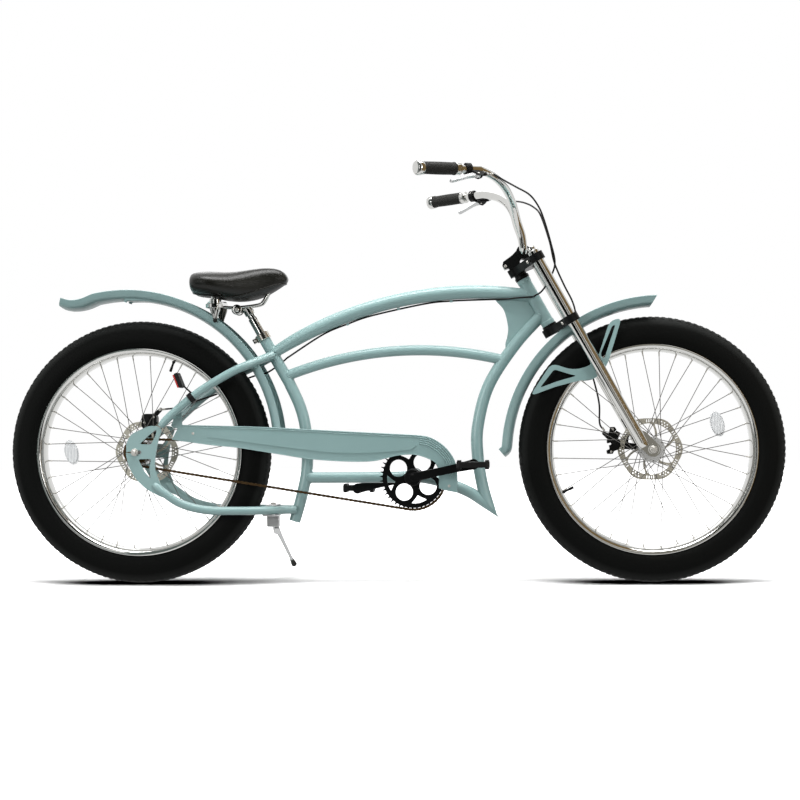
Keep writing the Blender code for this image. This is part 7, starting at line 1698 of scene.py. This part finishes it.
shapes = [(lathe(chamfered([(0.0042, 0.008), (0.0100, 0.008), (0.0100, -0.008), (0.0042, -0.008)], 0.0008),
                 KICK_PIVOT,
                 KICK_AXIS, 40, True), hub_alloy),
          (tube(leg_line, 0.0075, [0.0078, 0.0070, 0.0060, 0.0054, 0.0050, 0.0048, 0.0050], 28), hub_alloy),
          (tube([kick_foot - 0.030 * KICK_DOWN, kick_foot - 0.020 * KICK_DOWN, kick_foot - 0.008 * KICK_DOWN,
                 kick_foot - 0.0005 * KICK_DOWN], 0.0085, [0.0058, 0.0064, 0.0076, 0.0082], 28), grip_rubber)]
piece("kickstand_leg_cast", shapes, "kickstand", ["kickstand_leg"], 0.0008)

# Stay reflector: a red moulded lens in a slim black case, on a black plastic strap round
# the right seatstay.
red_lens, tree, shader = new_finish("red_reflector_lens", "C8201A", 0.16)
cells = node(tree, "ShaderNodeTexVoronoi", {"Vector": own_place(tree), "Scale": 380.0})
tinted(tree, shader, cells.outputs["Distance"], "D92A20", "9C120E")
embossed(tree, shader, cells.outputs["Distance"], 0.7, 0.0005)
shader.inputs["Coat Weight"].default_value = 0.8
stay_line = smooth_line([from_rear(x, -y, z) for x, y, z in SEATSTAY], 4)
clamp_at, clamp_way = stay_line[17], (stay_line[18] - stay_line[16]).normalized()
lens_at, lens_turn = from_rear(0.121, -0.088, 0.196), Matrix.Rotation(radians(-22), 4, "Y")
strap_start, strap_end = clamp_at + Vector((0.002, 0, 0.012)), lens_at + Vector((0.004, 0, -0.006))
strap_way = strap_end - strap_start
strap_turn = Matrix.Rotation(-atan2(strap_way.z, strap_way.x), 4, "Y")
piece("stay_reflector_on_strap", [
    (lathe(chamfered([(0.0118, 0.007), (0.0145, 0.007), (0.0145, -0.007), (0.0118, -0.007)], 0.0006),
           clamp_at,
           clamp_way, 48, True), pedal_resin),
    (block_of((0.0105, 0.050, 0.042), lens_at + lens_turn @ Vector((0.0026, 0, 0)), lens_turn), pedal_resin),
    (block_of((0.0056, 0.046, 0.038), lens_at - lens_turn @ Vector((0.0047, 0, 0)), lens_turn), red_lens),
    (block_of((strap_way.length, 0.012, 0.004), (strap_start + strap_end) / 2, strap_turn), pedal_resin)],
    "frame", ["stay_reflector"], 0.0016)

# Seat post and its clamp ring: a chromed post with a stepped neck, held in the seat tube by
# a polished alloy ring with one bolt through the lug behind it.
polished_alloy, tree, shader = new_finish("polished_clamp_alloy", "D3D0C8", 0.16, 1.0)
uneven(tree, shader, noise(tree, 260.0), 0.10, 0.24)
ring_side = chamfered([(0.0163, 0.003), (0.0205, 0.003), (0.0205, -0.017), (0.0163, -0.017)], 0.0012)
lug_at = SEAT_TOP + 0.007 * SEAT_AXIS + Vector((-cos(SEAT_ANGLE), 0, -sin(SEAT_ANGLE))) * 0.024
seat_turn = Matrix.Rotation(-SEAT_ANGLE, 4, "Y")
shapes = [(lathe(ring_side, SEAT_TOP, -SEAT_AXIS, 64, True), polished_alloy)]
for side, sign in SIDES:
    shapes.append((block_of((0.013, 0.0080, 0.013), lug_at + sign * 0.0050 * SIDEWAYS, seat_turn),
                   polished_alloy))
    shapes.append((lathe([(0.0, 0.0012), (0.0016, 0.0012), (0.0018, 0.0036), (0.0030, 0.0034),
                          (0.0038, 0.0026),
                          (0.0038, 0), (0, 0)], lug_at + sign * 0.009 * SIDEWAYS, sign * SIDEWAYS, 20),
                   plated_steel))
shapes.append((rod(lug_at - 0.009 * SIDEWAYS, lug_at + 0.009 * SIDEWAYS, 0.0026, 20), plated_steel))
piece("seat_collar_turned", shapes, "frame", ["seat_collar"], 0.0008)

post_top = on_seat_axis(-0.084)
post_side = [(0, 0), (0.0100, 0), (0.0110, -0.001), (0.0110, -0.029), (0.0116, -0.0305), (0.0130, -0.0315),
             (0.0136, -0.0330), (0.0136, -0.177), (0.0116, -0.179), (0, -0.179)]
piece("seat_post_drawn", [(lathe(post_side, post_top, -SEAT_AXIS, 64), chrome)], "seat", ["seat_post"],
      0, 30)

# Saddle frame: two chromed steel rails, a clamp with one cross bolt on the post, a strap
# across the back and two fluted cone springs with black tips.
clamp_centre = from_rear(0.273, 0, 0.394)
sleeve = chamfered([(0.0113, 0.002), (0.0145, 0.002), (0.0145, -0.020), (0.0113, -0.020)], 0.0007)
shapes = [(lathe(sleeve, post_top, -SEAT_AXIS, 48, True), chrome),
          (rod(clamp_centre - 0.028 * SIDEWAYS, clamp_centre + 0.028 * SIDEWAYS, 0.0125, 48, 0.001), chrome)]
link_at = (post_top + clamp_centre) / 2 + 0.004 * SEAT_AXIS
shapes.append((block_of((0.024, 0.018, 0.014), link_at), chrome))
for side, sign in SIDES:
    face = clamp_centre + sign * 0.024 * SIDEWAYS
    way = sign * SIDEWAYS
    shapes.append((lathe([(0, 0.0085), (0.0035, 0.0085), (0.0060, 0.0078), (0.0074, 0.0062), (0.0076, 0.0052),
                          (0.0108, 0.0050), (0.0128, 0.0042), (0.0142, 0.0026), (0.0145, 0),
                          (0.0138, -0.0030), (0, -0.0030)],
                         face, way, 56), chrome))
    shapes.append((lathe([(0, 0.0120), (0.0040, 0.0120), (0.0048, 0.0112), (0.0050, 0.0080), (0, 0.0080)],
                         face, way, 6),
                   plated_steel))
rail_points = [(0.366, 0.012, 0.446), (0.358, 0.016, 0.436), (0.346, 0.022, 0.4165), (0.334, 0.022, 0.4080),
               (0.300, 0.022, 0.4030), (0.262, 0.022, 0.4005), (0.226, 0.022, 0.4030), (0.205, 0.022, 0.4040)]
band_at = from_rear(0.216, 0, 0.4045)
band_edge = softened([(-0.024, -0.062), (-0.012, -0.082), (0.012, -0.082), (0.024, -0.062), (0.024, 0.062),
                      (0.012, 0.082), (-0.012, 0.082), (-0.024, 0.062)], 0.004)
shapes.append((plate([band_edge], -0.0065, 0.0035, Matrix.Translation(band_at)), chrome))
shapes.append((plate([[0.84 * p for p in band_edge]], 0.0030, 0.0100, Matrix.Translation(band_at)), chrome))
# Painted shade: a darker copy of the chrome for the left cone, which stands in shade.
chrome_in_painted_shade, tree, shader = new_finish("chrome_with_painted_shade", "55534E", 0.22, 1.0)
uneven(tree, shader, noise(tree, 300.0), 0.16, 0.32)
for side, sign in SIDES:
    shapes.append((tube(smooth_line([from_rear(x, sign * y, z) for x, y, z in rail_points], 6), 0.0034, None,
                        20), chrome))
    cone_top = band_at + Vector((0.002, sign * 0.060, -0.006))
    bm = bmesh.new()
    rows = []
    for level, radius in ((0, 0.0150), (-0.002, 0.0155), (-0.010, 0.0132), (-0.020, 0.0096), (-0.028, 0.0068),
                          (-0.031, 0.0062)):
        ring = []
        for k in range(56):
            a = 2 * pi * k / 56
            depth = 0.22 * (0.5 + 0.5 * cos(7 * a)) ** 3 * min(1.0, -level / 0.004)
            ring.append(bm.verts.new(cone_top + Vector((radius * (1 - depth) * cos(a),
                                                        radius * (1 - depth) * sin(a),
                                                        level))))
        rows.append(ring)
    for upper, lower in zip(rows, rows[1:]):
        for k in range(56):
            bm.faces.new((upper[k], upper[(k + 1) % 56], lower[(k + 1) % 56], lower[k]))
    bm.faces.new(rows[0])
    bm.faces.new(rows[-1])
    # The left cone takes the darker chrome copy as painted shade.
    shapes.append((mesh_from(bm, "cone", True), chrome if sign < 0 else chrome_in_painted_shade))
    tip = [(0, -0.029), (0.0056, -0.029), (0.0056, -0.036), (0.0048, -0.040), (0.0026, -0.0418), (0, -0.042)]
    shapes.append((lathe(tip, cone_top, Vector((0, 0, 1)), 28), grip_rubber))
    shapes.append((lathe(chamfered([(0.0040, 0.0175), (0.0150, 0.0165), (0.0160, 0.0060), (0.0150, 0.0030),
                                    (0.0040, 0.0030)],
                                   0.0008), cone_top + Vector((0, 0, 0.006)), Vector((0, 0, 1)), 48, True),
                   chrome))
    stud_low = band_at + Vector((-0.004, sign * 0.048, 0.008))
    shapes.append((rod(stud_low, stud_low + Vector((0, 0, 0.030)), 0.0068, 28, 0.0005), chrome))
    shapes.append((screw_head(band_at + Vector((-0.016, sign * 0.066, 0.0035)), Vector((0, 0, 1)), 0.0042,
                              0.002),
                   plated_steel))
piece("saddle_frame_plated", shapes, "seat", ["saddle_frame"], 0.0006, 35)

# Saddle: soft foam on a black plastic base under one skin of grained black vinyl, drawn
# over the edge and finished with a bead; two small screws hold the base behind.
vinyl, tree, shader = new_finish("grained_saddle_vinyl", "12120E", 0.30)
shader.inputs["Specular IOR Level"].default_value = 0.3
pores = node(tree, "ShaderNodeTexVoronoi", {"Vector": own_place(tree), "Scale": 620.0},
             feature="DISTANCE_TO_EDGE")
crease = node(tree, "ShaderNodeMapRange", {"Value": pores.outputs["Distance"], 1: 0.0, 2: 0.18})
slow = noise(tree, 26.0, 3.0)
tinted(tree, shader, slow, "0D0D0A", "171712")
uneven(tree, shader, slow, 0.22, 0.36)
embossed(tree, shader, crease.outputs[0], 0.28, 0.00025)
# Moulded plastic of the base, stippled.
base_plastic, tree, shader = new_finish("saddle_base_plastic", "0E0E0D", 0.5)
embossed(tree, shader, noise(tree, 1100.0), 0.4, 0.0003)

stations = [(0.149, 0.4910, 0.4400, 0.088), (0.155, 0.4985, 0.4330, 0.114), (0.200, 0.5030, 0.4280, 0.138),
            (0.262, 0.4970, 0.4115, 0.104),
            (0.338, 0.5140, 0.4165, 0.052), (0.397, 0.5105, 0.4550, 0.037), (0.414, 0.4860, 0.4680, 0.019)]
bm = bmesh.new()
rows = []
for x, top, bottom, half in stations:
    deep = top - bottom
    half_ring = [(0, top - 0.004), (0.60 * half, top), (half, top - 0.36 * deep),
                 (0.84 * half, bottom + 0.10 * deep),
                 (0, bottom)]
    ring = half_ring + [(-y, z) for y, z in half_ring[-2:0:-1]]
    rows.append([bm.verts.new(from_rear(x, y, z)) for y, z in ring])
for before, after in zip(rows, rows[1:]):
    for k in range(8):
        bm.faces.new((before[k], before[(k + 1) % 8], after[(k + 1) % 8], after[k]))
for ring in (rows[0], rows[-1]):
    for corners in ((0, 1, 3, 4), (1, 2, 3), (4, 5, 7, 0), (5, 6, 7)):
        bm.faces.new([ring[k] for k in corners])
cushion = bpy.data.objects.new("saddle_form", mesh_from(bm, "saddle_cage", True))
scene.collection.objects.link(cushion)
soft = cushion.modifiers.new("soft", "SUBSURF")
soft.levels = soft.render_levels = 5
bpy.context.view_layer.update()
skin = bpy.data.meshes.new_from_object(cushion.evaluated_get(bpy.context.evaluated_depsgraph_get()))
bpy.data.objects.remove(cushion, do_unlink=True)

bm = bmesh.new()
bm.from_mesh(skin)
hull = BVHTree.FromBMesh(bm)
bm.free()


SPINE_REAR, SPINE_LENGTH = 0.185, 0.200
SPINE_FRONT = SPINE_REAR + SPINE_LENGTH


def spine(x):
    """Point on the saddle's inner axis at a distance ahead of the rear axle, kept inside both ends."""
    x = min(max(x, SPINE_REAR), SPINE_FRONT)
    share = (x - SPINE_REAR) / SPINE_LENGTH
    return from_rear(x, 0, 0.470 + 0.012 * share * share)


def edge_point(x, around_way, drop, outside=0.0):
    """Point of the skin seen from the axis, in a direction level round the saddle and dropped by an angle."""
    from_here = spine(x)
    way = Vector((around_way[0] * cos(drop), around_way[1] * cos(drop), -sin(drop))).normalized()
    hit = hull.ray_cast(from_here, way)[0]
    return hit + way * outside


def round_saddle(drop, outside, count=26):
    """Closed line round the saddle at an angle below its axis, on its skin."""
    line = []
    for k in range(count):
        line.append(edge_point(SPINE_REAR + SPINE_LENGTH * k / count, (0, 1), drop, outside))
    for k in range(12):
        a = pi / 2 - pi * k / 12
        line.append(edge_point(SPINE_FRONT, (cos(a), sin(a)), drop, outside))
    for k in range(count):
        line.append(edge_point(SPINE_FRONT - SPINE_LENGTH * k / count, (0, -1), drop, outside))
    for k in range(14):
        a = -pi / 2 - pi * k / 14
        line.append(edge_point(SPINE_REAR, (cos(a), sin(a)), drop, outside))
    return line


EDGE_DROP = radians(33)
base_faces = []
for polygon in skin.polygons:
    middle = Vector(polygon.center)
    inner = spine(middle.x - REAR.x)
    offset = middle - inner
    if atan2(-offset.z, hypot(offset.x, offset.y)) > EDGE_DROP:
        base_faces.append(polygon.index)


def part_of(mesh, chosen):
    """The chosen faces of a mesh as one of its own."""
    bm = bmesh.new()
    bm.from_mesh(mesh)
    bm.faces.ensure_lookup_table()
    wanted = set(chosen)
    bmesh.ops.delete(bm, geom=[face for face in bm.faces if face.index not in wanted], context="FACES")
    return mesh_from(bm, "part")


top_faces = sorted(set(range(len(skin.polygons))) - set(base_faces))
bead_line = round_saddle(EDGE_DROP, 0.0002)
saddle_shapes = [(part_of(skin, top_faces), vinyl), (part_of(skin, base_faces), base_plastic),
                 (tube(bead_line, 0.0021, None, 12, True), vinyl)]
for side, sign in SIDES:
    screw_spot = edge_point(SPINE_REAR, (-0.42, sign * 0.90), radians(44), -0.0004)
    saddle_shapes.append((screw_head(screw_spot, Vector((-0.25, sign * 0.35, -0.9)).normalized(), 0.0040,
                                     0.0020),
                          plated_steel))
saddle = piece("saddle_padded", saddle_shapes, "seat", ["saddle"], 0, 60)
